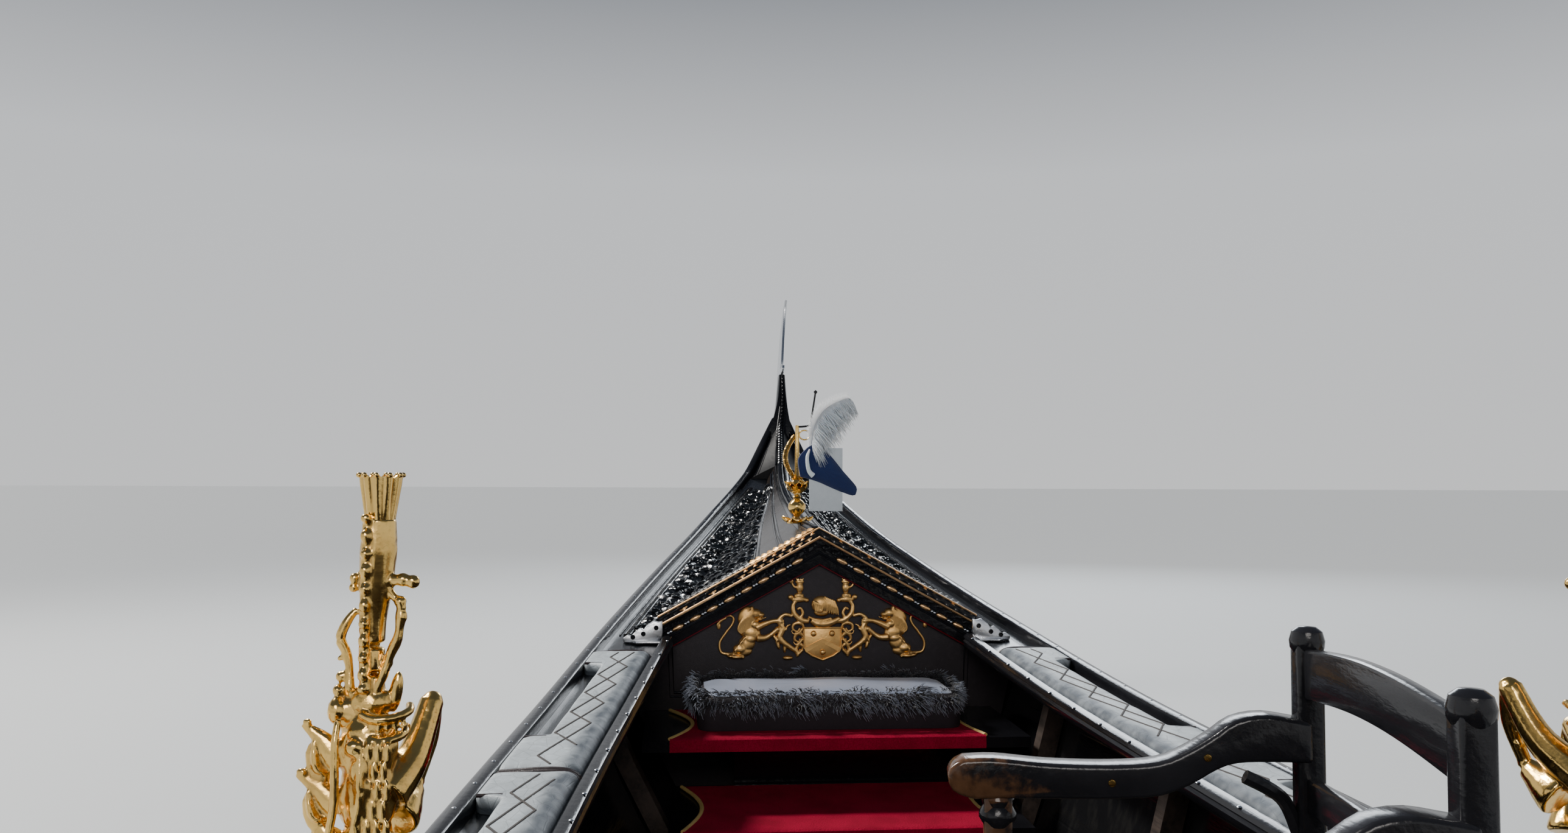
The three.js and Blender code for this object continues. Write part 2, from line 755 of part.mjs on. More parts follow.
function foreSeat() {
  shelf("thwart", THWART);
  shelf("step", STEP);
  const { from, to, starboard, port, corner, high, fringe: flare } = POUF;
  const low = THWART.top + 2 * FIT + CARPET;
  const outline = (grow, z) => {
    const [a, b] = [from - grow, to + grow];
    const [c, d] = [starboard - grow, port + grow];
    return [
      [a + corner, c],
      [b - corner, c],
      [b, c + corner],
      [b, d - corner],
      [b - corner, d],
      [a + corner, d],
      [a, d - corner],
      [a, c + corner],
    ].map(([x, y]) => vec(x, y, z));
  };
  const rings = [outline(0, low), outline(0, low + 36), outline(flare, low + 62), outline(-flare / 2, high)];
  add("pouf", loft(rings), fringe);
}

// Prow iron, stern iron
const IRON_HALF = 6;

function ironEdge(z) {
  let [low, high] = [BOTTOM_END, POST_TOP_X];
  for (let i = 0; i < 40; i += 1) {
    const middle = (low + high) / 2;
    if (keelLine(middle) - postNormal(middle).y * BOTTOM_PLANK < z) low = middle;
    else high = middle;
  }
  const normal = postNormal(low);
  return low - normal.x * BOTTOM_PLANK;
}

const TEETH = { count: 6, first: 905, pitch: 76, height: 38, length: 92 };
const IRON_DEPTH = 46;

function prowIron() {
  const back = [];
  const front = [];
  for (let z = 560; z <= 1380; z += 82) back.push([ironEdge(z) + (z > 1340 ? 3 : 1.3), z]);
  for (let i = 0; i < TEETH.count; i += 1) {
    const z = TEETH.first + i * TEETH.pitch;
    const x = ironEdge(z) + IRON_DEPTH;
    front.push([x, z], [x + TEETH.length, z], [x + TEETH.length, z + TEETH.height], [x + 6, z + TEETH.height]);
  }
  const head = [
    [5520, 1388],
    [5570, 1440],
    [5592, 1520],
    [5588, 1610],
    [5556, 1700],
    [5500, 1766],
    [5452, 1790],
    [5462, 1740],
    [5448, 1640],
    [5418, 1560],
    [5392, 1500],
    [5386, 1452],
    [5300, 1462],
    [5300, 1432],
    [5428, 1402],
  ];
  const low = [
    [ironEdge(560) + 12, 560],
    [ironEdge(700) + IRON_DEPTH, 700],
    [ironEdge(840) + IRON_DEPTH, 840],
  ];
  const outline = [...low, ...front, ...head, ...back.slice(1).reverse()];
  const geometry = plate(outline, "xz", -IRON_HALF, IRON_HALF);
  const position = geometry.attributes.position;
  for (let i = 0; i < position.count; i += 1) {
    const lean = Math.max(0, position.getZ(i) - 1400) * 0.075;
    position.setY(i, position.getY(i) - lean);
  }
  add("prow_iron", geometry, steel);
}

// The outline of a band along a path, with its half width at each point.
function band(path) {
  const sides = [[], []];
  path.forEach(([x, z, half], i) => {
    const before = path[Math.max(0, i - 1)];
    const after = path[Math.min(path.length - 1, i + 1)];
    const along = new THREE.Vector2(after[0] - before[0], after[1] - before[1]).normalize();
    sides[0].push([x - along.y * half, z + along.x * half]);
    sides[1].push([x + along.y * half, z - along.x * half]);
  });
  return [...sides[0], ...sides[1].reverse()];
}

function sternIron() {
  const path = [];
  for (let z = 760; z <= 1370; z += 61) path.push([-(ironEdge(z) + (z > 1340 ? 16 : 9.9)), z, 8]);
  const radius = 40;
  const centre = [path[path.length - 1][0] - radius, 1400];
  for (let i = 0; i <= 12; i += 1) {
    const angle = (Math.PI * i * 20) / 180;
    const reach = radius * (1 - i / 30);
    path.push([centre[0] + reach * Math.cos(angle), centre[1] + reach * Math.sin(angle), 8 - i * 0.25]);
  }
  add("stern_iron", plate(band(path), "xz", -IRON_HALF, IRON_HALF), steel);
}

// Brackets at the gable's feet
function brackets() {
  for (const side of SIDES) {
    const at = GABLE_X - 52;
    const outer = side.coverEdge(at) + 100;
    const inner = side.coverEdge(at) + 2;
    const z = sheer(at + 12) - COVER_DROP + FIT + 32;
    const outline = [
      [inner, z - 32],
      [outer, z - 32],
      [outer, z - 14],
      [outer - 40, z + 2],
      [inner + 30, z + 22],
      [inner, z + 20],
    ];
    const rows = outline.map(([y, height]) => [side.sign * y, height]);
    add("bracket_" + side.name, plate(rows, "yz", at, at + 12), steel);
  }
}

// Gilded relief on the end panel: two lions beside a crowned shield
function crest() {
  const x = GABLE_X - FIT;
  const low = 470;
  const shield = [
    [110 - 46, low + 110],
    [110 + 46, low + 110],
    [110 + 46, low + 50],
    [110, low],
    [110 - 46, low + 50],
  ];
  const crown = [
    [110 - 30, low + 104],
    [110 + 30, low + 104],
    [110 + 44, low + 210],
    [110, low + 184],
    [110 - 44, low + 210],
  ];
  const lion = (sign) =>
    [
      [40, low + 70],
      [90, low + 96],
      [120, low + 130],
      [165, low + 128],
      [170, low + 90],
      [236, low + 60],
      [250, low + 110],
      [262, low + 108],
      [262, low + 40],
      [222, low + 12],
      [150, low + 14],
      [120, low + 56],
      [44, low + 48],
    ].map(([y, z]) => [110 + sign * y, z]);
  const pieces = [shield, crown, lion(1), lion(-1)].map((outline) => plate(outline, "yz", x - 9, x));
  add("crest", joined(pieces), gilding);
}

// Brass seahorse ornaments on the side decks
const HORSE = { x: { port: 1000, starboard: 930 }, fromEdge: 46, turn: 12 };

function seahorses() {
  for (const side of SIDES) {
    const x = HORSE.x[side.name];
    const y = side.sign * (side.edge(x) - HORSE.fromEdge);
    const base = sheer(x + 40) + FIT;
    const bar = (radius, steps, points) => roundBar(points, radius, 8, steps);
    const body = bar(29, 10, [
      [-10, 0, 24],
      [-46, 0, 96],
      [-14, 0, 180],
      [14, 0, 262],
    ]);
    const neck = bar(19, 8, [
      [14, 0, 244],
      [4, 0, 310],
      [-6, 0, 380],
      [-6, 0, 436],
    ]);
    const head = bar(15, 8, [
      [-4, 0, 372],
      [34, 0, 396],
      [68, 0, 368],
      [84, 0, 326],
    ]);
    const tail = bar(13, 10, [
      [-36, 0, 78],
      [-84, 0, 104],
      [-92, 0, 166],
      [-58, 0, 186],
    ]);
    const legs = SIDES.map(({ sign }) =>
      bar(12, 10, [
        [4, sign * 14, 212],
        [92, sign * 46, 250],
        [106, sign * 30, 188],
        [90, sign * 14, 132],
      ]),
    );
    const crown = turned(
      [
        [0, 424],
        [17, 424],
        [16, 442],
        [23, 460],
        [31, 482],
        [25, 482],
        [0, 456],
      ],
      10,
      -6,
      0,
      0,
    );
    const foot = turned(
      [
        [0, 0],
        [40, 0],
        [38, 16],
        [22, 40],
        [0, 44],
      ],
      12,
      -10,
      0,
      0,
    );
    const geometry = joined([body, neck, head, ...legs, crown, foot, tail]);
    geometry.rotateZ(THREE.MathUtils.degToRad(-side.sign * HORSE.turn));
    add("seahorse_" + side.name, geometry.translate(x, y, base), brass);
  }
}

// Stand on the foredeck's ridge with a cap, a feather and a blank card
const STAND = { x: 3300, y: 122 };

function foredeckStand() {
  const { x, y } = STAND;
  const base = Math.max(ridgeTop(x - 34), ridgeTop(x + 34)) + FIT;
  const stem = turned(
    [
      [0, 0],
      [34, 0],
      [34, 8],
      [16, 20],
      [10, 44],
      [24, 62],
      [28, 78],
      [24, 94],
      [9, 104],
      [20, 112],
      [24, 126],
      [9, 140],
      [6, 300],
      [0, 300],
    ],
    12,
    x,
    y,
    base,
  );
  const rod = roundBar(
    [
      [x, y, base + 290],
      [x - 8, y - 20, base + 340],
      [x - 10, y - 48, base + 398],
    ],
    3.5,
    6,
    8,
  );
  add("flower_stand", joined([stem, rod, ball(9, x - 10, y - 48, base + 400)]), brass);

  const capFront = x - 9.5;
  const capOutline = [
    [y + 12, base + 212],
    [y - 26, base + 226],
    [y - 56, base + 190],
    [y - 120, base + 110],
    [y - 164, base + 66],
    [y - 150, base + 56],
    [y - 92, base + 84],
    [y - 36, base + 146],
    [y + 12, base + 172],
  ];
  add("cap", plate(capOutline, "yz", capFront - 40, capFront), blueFelt);
  const cardFront = capFront - 40 - FIT;
  add("card", block([cardFront - 2, y - 128, base + 10], [cardFront, y - 30, base + 150]), whiteCard);
  const featherOutline = [
    [y - 70, base + 176],
    [y - 96, base + 240],
    [y - 98, base + 300],
    [y - 112, base + 350],
    [y - 158, base + 388],
    [y - 172, base + 372],
    [y - 150, base + 300],
    [y - 118, base + 220],
    [y - 60, base + 156],
  ];
  add("feather", plate(featherOutline, "yz", cardFront - 14, cardFront), whiteFeather);
}

// Armchair by the starboard side, facing port and a little forward
const CHAIR = { x: 886, y: -11, turn: -10.8, seat: 430, arm: 704, back: 862, half: 200, depth: 190, post: 16 };

function armchair() {
  const { half, depth, seat, arm, back, post: thick } = CHAIR;
  const pieces = [];
  for (const sign of [-1, 1]) {
    const x = sign * half;
    pieces.push(block([x - thick, -depth - thick, 0], [x + thick, -depth + thick, back]));
    pieces.push(block([x - thick, depth - 50, 0], [x + thick, depth - 18, arm - 20]));
    pieces.push(block([x - 12, -depth, 150], [x + 12, depth - 40, 176]));
    const armShape = [
      [-depth, arm + 54],
      [-depth + 52, arm + 60],
      [-depth + 84, arm + 52],
      [-depth + 137, arm + 18],
      [-depth + 172, arm + 2],
      [depth - 70, arm],
      [depth + 4, arm + 2],
      [depth + 32, arm - 8],
      [depth + 38, arm - 26],
      [depth + 22, arm - 42],
      [depth - 60, arm - 40],
      [-depth + 167, arm - 34],
      [-depth + 130, arm - 18],
      [-depth + 92, arm + 4],
      [-depth, arm + 6],
    ];
    const ring = (offset) => armShape.map(([y, z]) => vec(x + offset, y, z));
    pieces.push(loft([ring(-20), ring(20)]));
  }
  const crest = [
    [-half, back - 26],
    [-half * 0.45, back - 11],
    [half * 0.45, back - 11],
    [half, back - 26],
    [half, back - 80],
    [-half, back - 80],
  ];
  const crestRing = (y) => crest.map(([x, z]) => vec(x, y, z));
  pieces.push(loft([crestRing(-depth - 9), crestRing(-depth + 9)]));
  pieces.push(block([-half, -depth - 9, back - 220], [half, -depth + 9, back - 162]));
  pieces.push(block([-half, -depth, seat - 50], [half, -depth + 22, seat]));
  pieces.push(block([-half, depth - 46, seat - 50], [half, depth - 22, seat]));
  pieces.push(block([-half - 10, -depth + 4, seat - 44], [half + 10, depth - 24, seat - 16]));
  const place = new THREE.Group();
  place.position.set(CHAIR.x, CHAIR.y, FLOOR_Z + FIT);
  place.rotation.z = THREE.MathUtils.degToRad(CHAIR.turn);
  root.add(place);
  add("armchair", joined(pieces), wornLacquer, place);
  const cushionLow = seat - 16 + FIT;
  const inset = half - 26;
  add(
    "armchair_cushion",
    block([-inset, -depth + 32, cushionLow], [inset, depth - 60, cushionLow + 46]),
    blackLeather,
    place,
  );
}

// Main seat: bench, cushion, carved back and back cushion
const BENCH = { middle: 143, half: 490, front: -160, back: -640, top: 250 };

function mainSeat() {
  const { middle, half, front, back, top } = BENCH;
  const floor = FLOOR_Z + FIT;
  const box = (inset, low, high) => {
    const portFoot = floorHalf(back, PORT) - 20 - inset;
    const starboardFoot = floorHalf(back, STARBOARD) - 20 - inset;
    const outline = [
      [-starboardFoot, low],
      [portFoot, low],
      [middle + half - inset, 150],
      [middle + half - inset, high],
      [middle - half + inset, high],
      [middle - half + inset, 150],
    ];
    return plate(outline, "yz", back + inset, front - inset);
  };
  add("bench", cutFrom(box(0, floor, top), [box(20, floor - 10, top - 20)]), lacquer);
  const cushion = block([back + 40, middle - half + 12, top + FIT], [front - 6, middle + half - 12, top + 92]);
  add("bench_cushion", cushion, blackLeather);
  const arch = [
    [middle - half, top + FIT],
    [middle - half, 600],
    [middle - half + 60, 700],
    [middle - 240, 740],
    [middle - 130, 850],
    [middle, 900],
    [middle + 130, 850],
    [middle + 240, 740],
    [middle + half - 60, 700],
    [middle + half, 600],
    [middle + half, top + FIT],
  ];
  const lean = 0.16;
  const board = plate(arch, "yz", back - 6, back + 22);
  shear(board, lean, top);
  add("seat_back", board, lacquer);
  const pad = plate(
    [
      [middle - half + 30, top + 100],
      [middle - half + 30, 640],
      [middle + half - 30, 640],
      [middle + half - 30, top + 100],
    ],
    "yz",
    back + 22 + FIT,
    back + 84,
  );
  shear(pad, lean, top);
  add("back_cushion", pad, blackLeather);
}

// Leans a piece aft from a height up.
function shear(geometry, lean, from) {
  const position = geometry.attributes.position;
  for (let i = 0; i < position.count; i += 1) {
    const shift = Math.max(0, position.getZ(i) - from) * lean;
    position.setX(i, position.getX(i) - shift);
  }
}

// Stool on the port side
function stool() {
  const pieces = [];
  const [x, y, half, high] = [760, 350, 140, 300];
  for (const sx of [-1, 1]) {
    for (const sy of [-1, 1]) {
      const legX = x + sx * (half - 20);
      const legY = y + sy * (half - 20);
      pieces.push(block([legX - 16, legY - 16, 0], [legX + 16, legY + 16, high - 20]));
    }
  }
  pieces.push(block([x - half, y - half, high - 50], [x + half, y + half, high]));
  add("stool", joined(pieces).translate(0, 0, FLOOR_Z + FIT), wornLacquer);
  const top = FLOOR_Z + 2 * FIT + high;
  add("stool_cushion", block([x - half + 8, y - half + 8, top], [x + half - 8, y + half - 8, top + 56]), blackLeather);
}

// Forcola, its socket, and the oar lying in its notch
const FORCOLA_X = -2600;
const FORCOLA_TURN = -30;
const FORCOLA_HALF = 19;
const SEAT_RADIUS = 22;
const SEAT_HEIGHT = 366;
const OAR = { pitch: 26.5, yaw: 60, inboard: 1430, outboard: 2760, radius: 24, sides: 12 };
const SOCKET = { half: 62, wide: 40, high: 46, holeHalf: 40, holeWide: 23 };

const forcolaY = -(STARBOARD.edge(FORCOLA_X) - 96);
const forcolaBase = sheer(FORCOLA_X) - COVER_DROP + FIT;
const oarDrop = (distance) => distance * Math.tan(THREE.MathUtils.degToRad(OAR.pitch));
const oarRise = OAR.radius / Math.cos(THREE.MathUtils.degToRad(OAR.pitch)) + oarDrop(SEAT_RADIUS);
const PIVOT = { x: FORCOLA_X, y: forcolaY, z: forcolaBase + SEAT_HEIGHT + oarRise + FIT };

function forcola() {
  const deck = (x) => sheer(x) - COVER_DROP + FIT;
  const ring = (x, half, low, high) => [
    vec(x, forcolaY - half, deck(x) + low),
    vec(x, forcolaY + half, deck(x) + low),
    vec(x, forcolaY + half, deck(x) + high),
    vec(x, forcolaY - half, deck(x) + high),
  ];
  const prism = (halfLength, half, low, high) => {
    const stations = stationsBetween(FORCOLA_X - halfLength, FORCOLA_X + halfLength);
    return loft(stations.map((x) => ring(x, half, low, high)));
  };
  const { half, wide, high, holeHalf, holeWide } = SOCKET;
  const hole = prism(holeHalf + FIT, holeWide + FIT, -10, high + 10);
  add("forcola_socket", cutFrom(prism(half, wide, 0, high), [hole]), lacquer);

  const foot = prism(holeHalf, holeWide, 0, high + 34);
  const outline = [
    [-32, 66],
    [32, 66],
    [38, 120],
    [60, 190],
    [50, 262],
    [60, 320],
    [76, 380],
    [75, 430],
    [60, 472],
    [46, 464],
    [50, 424],
    [46, 384],
    [32, 352],
    [0, 345],
    [-40, 345],
    [-66, 330],
    [-50, 300],
    [-24, 262],
    [-40, 190],
    [-36, 120],
  ];
  const body = plate(outline, "xz", -FORCOLA_HALF, FORCOLA_HALF);
  const seat = turned([[0, 330], [SEAT_RADIUS, 330], [SEAT_RADIUS, SEAT_HEIGHT], [0, SEAT_HEIGHT]], 16, 0, 0, 0);
  const upper = joined([body, seat]);
  upper.rotateZ(THREE.MathUtils.degToRad(FORCOLA_TURN)).translate(FORCOLA_X, forcolaY, forcolaBase);
  add("forcola", joined([foot, upper]), walnut);
}

function oar() {
  const place = new THREE.Group();
  place.position.set(PIVOT.x, PIVOT.y, PIVOT.z);
  place.rotation.z = THREE.MathUtils.degToRad(OAR.yaw);
  root.add(place);
  const tilt = new THREE.Group();
  tilt.rotation.y = THREE.MathUtils.degToRad(-OAR.pitch);
  place.add(tilt);
  const blade = [
    { x: -OAR.outboard, half: 72, thick: 5 },
    { x: -OAR.outboard + 60, half: 80, thick: 6 },
    { x: -1900, half: 62, thick: 11 },
    { x: -1300, half: 30, thick: 22 },
    { x: -900, half: 25, thick: 24 },
    { x: 300, half: 24, thick: 24 },
    { x: OAR.inboard - 160, half: 19, thick: 19 },
    { x: OAR.inboard, half: 17, thick: 17 },
  ];
  const rings = blade.map(({ x, half, thick }) =>
    Array.from({ length: OAR.sides }, (_, i) => {
      const angle = (2 * Math.PI * i) / OAR.sides;
      return vec(x, half * Math.cos(angle), thick * Math.sin(angle));
    }),
  );
  add("oar", loft(rings), oarWood, tilt);
}

planking();
posts();
gunwales();
frames();
floorboards();
foredeck();
gable();
aftDeck();
breasthooks();
foreSeat();
prowIron();
sternIron();
brackets();
crest();
seahorses();
foredeckStand();
armchair();
mainSeat();
stool();
forcola();
oar();

export default root;
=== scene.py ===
"""Looks of a Venetian gondola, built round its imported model.

Metres: +X to the bow, +Y to port, +Z up, with the origin on the waterline amidships.
"""
import random
from math import atan2, copysign, cos, exp, hypot, pi, radians, sin

import bmesh
import bpy
import numpy as np
from mathutils import Matrix, Vector, noise


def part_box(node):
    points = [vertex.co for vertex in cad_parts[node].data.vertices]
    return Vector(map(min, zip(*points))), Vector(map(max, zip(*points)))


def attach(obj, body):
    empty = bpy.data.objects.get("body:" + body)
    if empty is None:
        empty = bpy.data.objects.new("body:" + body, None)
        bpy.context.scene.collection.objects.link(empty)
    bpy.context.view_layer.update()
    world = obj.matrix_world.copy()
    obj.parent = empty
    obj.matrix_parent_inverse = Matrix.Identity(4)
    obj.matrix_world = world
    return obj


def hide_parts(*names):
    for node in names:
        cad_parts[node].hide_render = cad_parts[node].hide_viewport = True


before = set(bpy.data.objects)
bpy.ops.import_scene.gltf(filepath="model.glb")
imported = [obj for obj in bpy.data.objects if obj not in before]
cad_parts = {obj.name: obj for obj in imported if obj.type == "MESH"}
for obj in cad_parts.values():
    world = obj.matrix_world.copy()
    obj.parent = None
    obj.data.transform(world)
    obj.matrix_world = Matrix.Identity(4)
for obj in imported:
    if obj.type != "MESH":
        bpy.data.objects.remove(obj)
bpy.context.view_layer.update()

random.seed(11)


# Shader building
class Socket:
    """A node's output; arithmetic on it adds Math nodes."""

    def __init__(self, paint, link):
        self.paint = paint
        self.link = link

    def maths(self, operation, *others):
        values = dict(enumerate([self, *others]))
        return self.paint.node("ShaderNodeMath", {"operation": operation}, values)

    def __add__(self, other):
        return self.maths("ADD", other)

    __radd__ = __add__

    def __mul__(self, other):
        return self.maths("MULTIPLY", other)

    __rmul__ = __mul__

    def __sub__(self, other):
        return self.maths("SUBTRACT", other)

    def __rsub__(self, other):
        return (self * -1) + other

    def above(self, edge, width=0.02):
        """0 below edge and 1 above it, with a soft step."""
        settings = {"interpolation_type": "SMOOTHSTEP"}
        return self.paint.node("ShaderNodeMapRange", settings, {0: self, 1: edge - width, 2: edge + width})

    def clamp(self):
        return self.paint.node("ShaderNodeClamp", {}, {0: self})


class Paint:
    """One procedural material on a Principled shader."""

    def __init__(self, name, color, roughness, metallic=0.0, **constants):
        self.material = bpy.data.materials.new(name)
        self.material.use_nodes = True
        self.tree = self.material.node_tree
        self.shader = self.tree.nodes["Principled BSDF"]
        self.shader.inputs["Base Color"].default_value = (*color, 1.0)
        self.shader.inputs["Roughness"].default_value = roughness
        self.shader.inputs["Metallic"].default_value = metallic
        for key, value in constants.items():
            self.shader.inputs[key.replace("_", " ")].default_value = value
        self.place = self.node("ShaderNodeTexCoord", {}, {}, "Object")

    def node(self, kind, settings, values, output=0):
        """Adds a node, sets it up, and fills its sockets with values or links."""
        made = self.tree.nodes.new(kind)
        for key, value in settings.items():
            setattr(made, key, value)
        for key, value in values.items():
            if isinstance(value, Socket):
                self.tree.links.new(value.link, made.inputs[key])
            else:
                made.inputs[key].default_value = value
        return Socket(self, made.outputs[output])

    def feed(self, name, socket):
        self.tree.links.new(socket.link, self.shader.inputs[name])

    def stretched(self, x, y, z):
        """The piece's own place, scaled along each axis."""
        return self.node("ShaderNodeMapping", {}, {0: self.place, 3: (x, y, z)})

    def noise(self, scale, detail=3.0, place=None, rough=0.55):
        values = {"Vector": place or self.place, "Scale": scale, "Detail": detail, "Roughness": rough}
        return self.node("ShaderNodeTexNoise", {}, values)

    def cells(self, scale, place=None):
        """How far each point is from its cell's edge."""
        settings = {"feature": "DISTANCE_TO_EDGE"}
        return self.node("ShaderNodeTexVoronoi", settings, {"Vector": place or self.place, "Scale": scale})

    def attribute(self, name):
        return self.node("ShaderNodeAttribute", {"attribute_name": name}, {}, "Fac")

    def mix(self, share, first, second):
        """Mixes two colours or colour sockets."""
        wide = [v if isinstance(v, Socket) else (*v, 1.0) for v in (first, second)]
        return self.node("ShaderNodeMix", {"data_type": "RGBA"}, {0: share, 6: wide[0], 7: wide[1]}, 2)

    def bump(self, height, distance, strength=1.0, below=None):
        values = {"Height": height, "Distance": distance, "Strength": strength}
        if below:
            values["Normal"] = below
        made = self.node("ShaderNodeBump", {}, values)
        self.feed("Normal", made)
        return made


# Finishes
def lacquer_finish(name, color, gloss, worn, shine=0.34, wear=14):
    """Brushed black lacquer; worn is the share rubbed through to brown, in patches of the wear's scale."""
    paint = Paint(name, color, gloss, Specular_IOR_Level=shine)
    grain = paint.noise(9, 4, paint.stretched(0.7, 7, 7))
    smudge = paint.noise(5.5, 5)
    speck = paint.noise(420, 2)
    tone = paint.mix(smudge.above(0.62, 0.2) * 0.5, color, tuple(c * 2.6 + 0.004 for c in color))
    if worn:
        rub = (paint.noise(wear, 6) * 0.65 + grain * 0.35 + paint.attribute("rubbed")).above(1 - worn, 0.07)
        wood = paint.mix(grain, (0.045, 0.02, 0.01), (0.15, 0.075, 0.038))
        tone = paint.mix(rub, tone, wood)
    paint.feed("Base Color", tone)
    paint.feed("Roughness", smudge * 0.16 + speck * 0.05 + (gloss - 0.09))
    first = paint.bump(grain, 0.0016, 0.5)
    paint.bump(paint.noise(70, 2), 0.0004, 0.45, first)
    return paint.material


def board_finish(name, dark, light, gloss, seam, length=0.35):
    """Painted or varnished boards that run fore and aft, with seams a set distance apart."""
    paint = Paint(name, dark, gloss)
    grain = paint.noise(14, 6, paint.stretched(length, 9, 9))
    fine = paint.noise(60, 3, paint.stretched(0.12, 8, 8))
    scuff = paint.noise(11, 6).above(0.57, 0.09)
    tone = paint.mix((grain * 0.7 + fine * 0.3).above(0.52, 0.2), dark, light)
    tone = paint.mix(scuff * 0.45, tone, tuple(min(1, c * 1.9 + 0.01) for c in light))
    height = grain * 0.5 + fine * 0.3
    if seam:
        across = paint.node("ShaderNodeSeparateXYZ", {}, {0: paint.place}, 1)
        gap = (across * (1 / seam)).maths("PINGPONG", 0.5)
        line = gap.above(0.018, 0.012)
        tone = paint.mix(line, (0.004, 0.003, 0.003), tone)
        height = height + line * 1.6
    paint.feed("Base Color", tone)
    paint.feed("Roughness", grain * 0.2 + scuff * 0.15 + (gloss - 0.08))
    paint.bump(height, 0.0012, 0.7)
    return paint.material


def metal_finish(name, bright, dull, gloss, patina, pits=0.0006):
    """Polished metal with a patina that gathers in hollows and soft dents."""
    paint = Paint(name, bright, gloss, 1.0)
    cloud = paint.noise(16, 5)
    fine = paint.noise(160, 4)
    hollow = paint.node("ShaderNodeNewGeometry", {}, {}, "Pointiness")
    deep = 1 - hollow.above(0.47, 0.05)
    share = (cloud.above(0.6, 0.16) * 0.45 + deep * 0.8 + fine.above(0.66, 0.08) * 0.2).clamp() * patina
    paint.feed("Base Color", paint.mix(share, bright, dull))
    paint.feed("Roughness", share * 0.3 + cloud * 0.12 + fine * 0.06 + (gloss - 0.08))
    first = paint.bump(cloud, pits * 3, 0.5)
    paint.bump(fine, pits, 0.5, first)
    return paint.material


def leather_finish(name, color, shade, gloss, grain=430, crease=0.5):
    """Grained leather whose creases are darkened towards the shade colour as painted shade, with more
    painted shade where the piece's shade attribute says.
    """
    paint = Paint(name, color, gloss, Specular_IOR_Level=0.5)
    pebble = paint.cells(grain)
    crack = paint.cells(26, paint.stretched(1, 1.6, 1)).above(0.025, 0.03)
    cloud = paint.noise(9, 6)
    fine = paint.noise(75, 4)
    tone = paint.mix(cloud.above(0.5, 0.22), color, tuple(c * 0.72 for c in color))
    tone = paint.mix(fine.above(0.6, 0.12) * 0.4, tone, tuple(min(1, c * 1.35 + 0.01) for c in color))
    # crease lines take on the shade colour: painted shade in the creases
    tone = paint.mix((1 - crack) * 0.3 * crease, tone, shade)
    # painted shade wherever the piece's shade attribute is set
    tone = paint.mix(paint.attribute("shade").clamp(), tone, shade)
    paint.feed("Base Color", tone)
    paint.feed("Roughness", cloud * 0.22 + fine * 0.12 + (gloss - 0.15))
    first = paint.bump(pebble, 0.0007, 0.55)
    paint.bump(cloud * 0.8 + crack * 0.2 * crease, 0.0022, 0.5, first)
    return paint.material


def cloth_finish(name, color, second, scale, gloss=0.9, lift=0.002, fade=0.55, **constants):
    """Pile, felt or satin: two tones broken up at the scale of its yarn."""
    paint = Paint(name, color, gloss, **constants)
    yarn = paint.noise(scale, 4, rough=0.7)
    lie = paint.noise(10, 4)
    tone = paint.mix(yarn.above(0.5, 0.16), color, second)
    paint.feed("Base Color", paint.mix(lie.above(0.55, 0.2) * 0.5, tone, tuple(c * fade for c in color)))
    paint.feed("Roughness", yarn * 0.15 + (gloss - 0.08))
    paint.bump(yarn, lift, 0.8)
    return paint.material


def wood_finish(name, dark, light, gloss, turn=(0, 0, 0), grain_size=(2, 1 / 6, 1 / 6), **constants):
    """Oiled or varnished solid wood with long grain; turn is how the piece lies."""
    paint = Paint(name, dark, gloss, **constants)
    turned = paint.node(
        "ShaderNodeMapping", {"vector_type": "TEXTURE"}, {0: paint.place, 2: turn, 3: grain_size}
    )
    grain = paint.noise(16, 6, turned)
    pores = paint.noise(95, 3, turned)
    bands = (grain * 7).maths("PINGPONG", 1.0)
    tone = paint.mix(bands * 0.65 + pores * 0.35, dark, light)
    paint.feed("Base Color", tone)
    paint.feed("Roughness", pores * 0.16 + (gloss - 0.07))
    paint.bump(bands * 0.5 + pores * 0.5, 0.0007, 0.6)
    return paint.material


def fringe_finish():
    """Dark yarn, dark at its root, whose tip is painted pale blue-grey as a painted highlight, as the
    strand's tip attribute says.
    """
    paint = Paint("fringe_yarn", (0.02, 0.022, 0.03), 0.6, Sheen_Weight=0.2)
    # painted highlight: the strands fade from their dark root to pale blue-grey tips
    share = (paint.attribute("tip") * 1.9 - 1.05 + paint.noise(70, 3) * 0.5 - 0.25).clamp()
    paint.feed("Base Color", paint.mix(share, (0.008, 0.008, 0.012), (0.42, 0.47, 0.58)))
    paint.feed("Roughness", paint.noise(200, 2) * 0.2 + 0.5)
    return paint.material


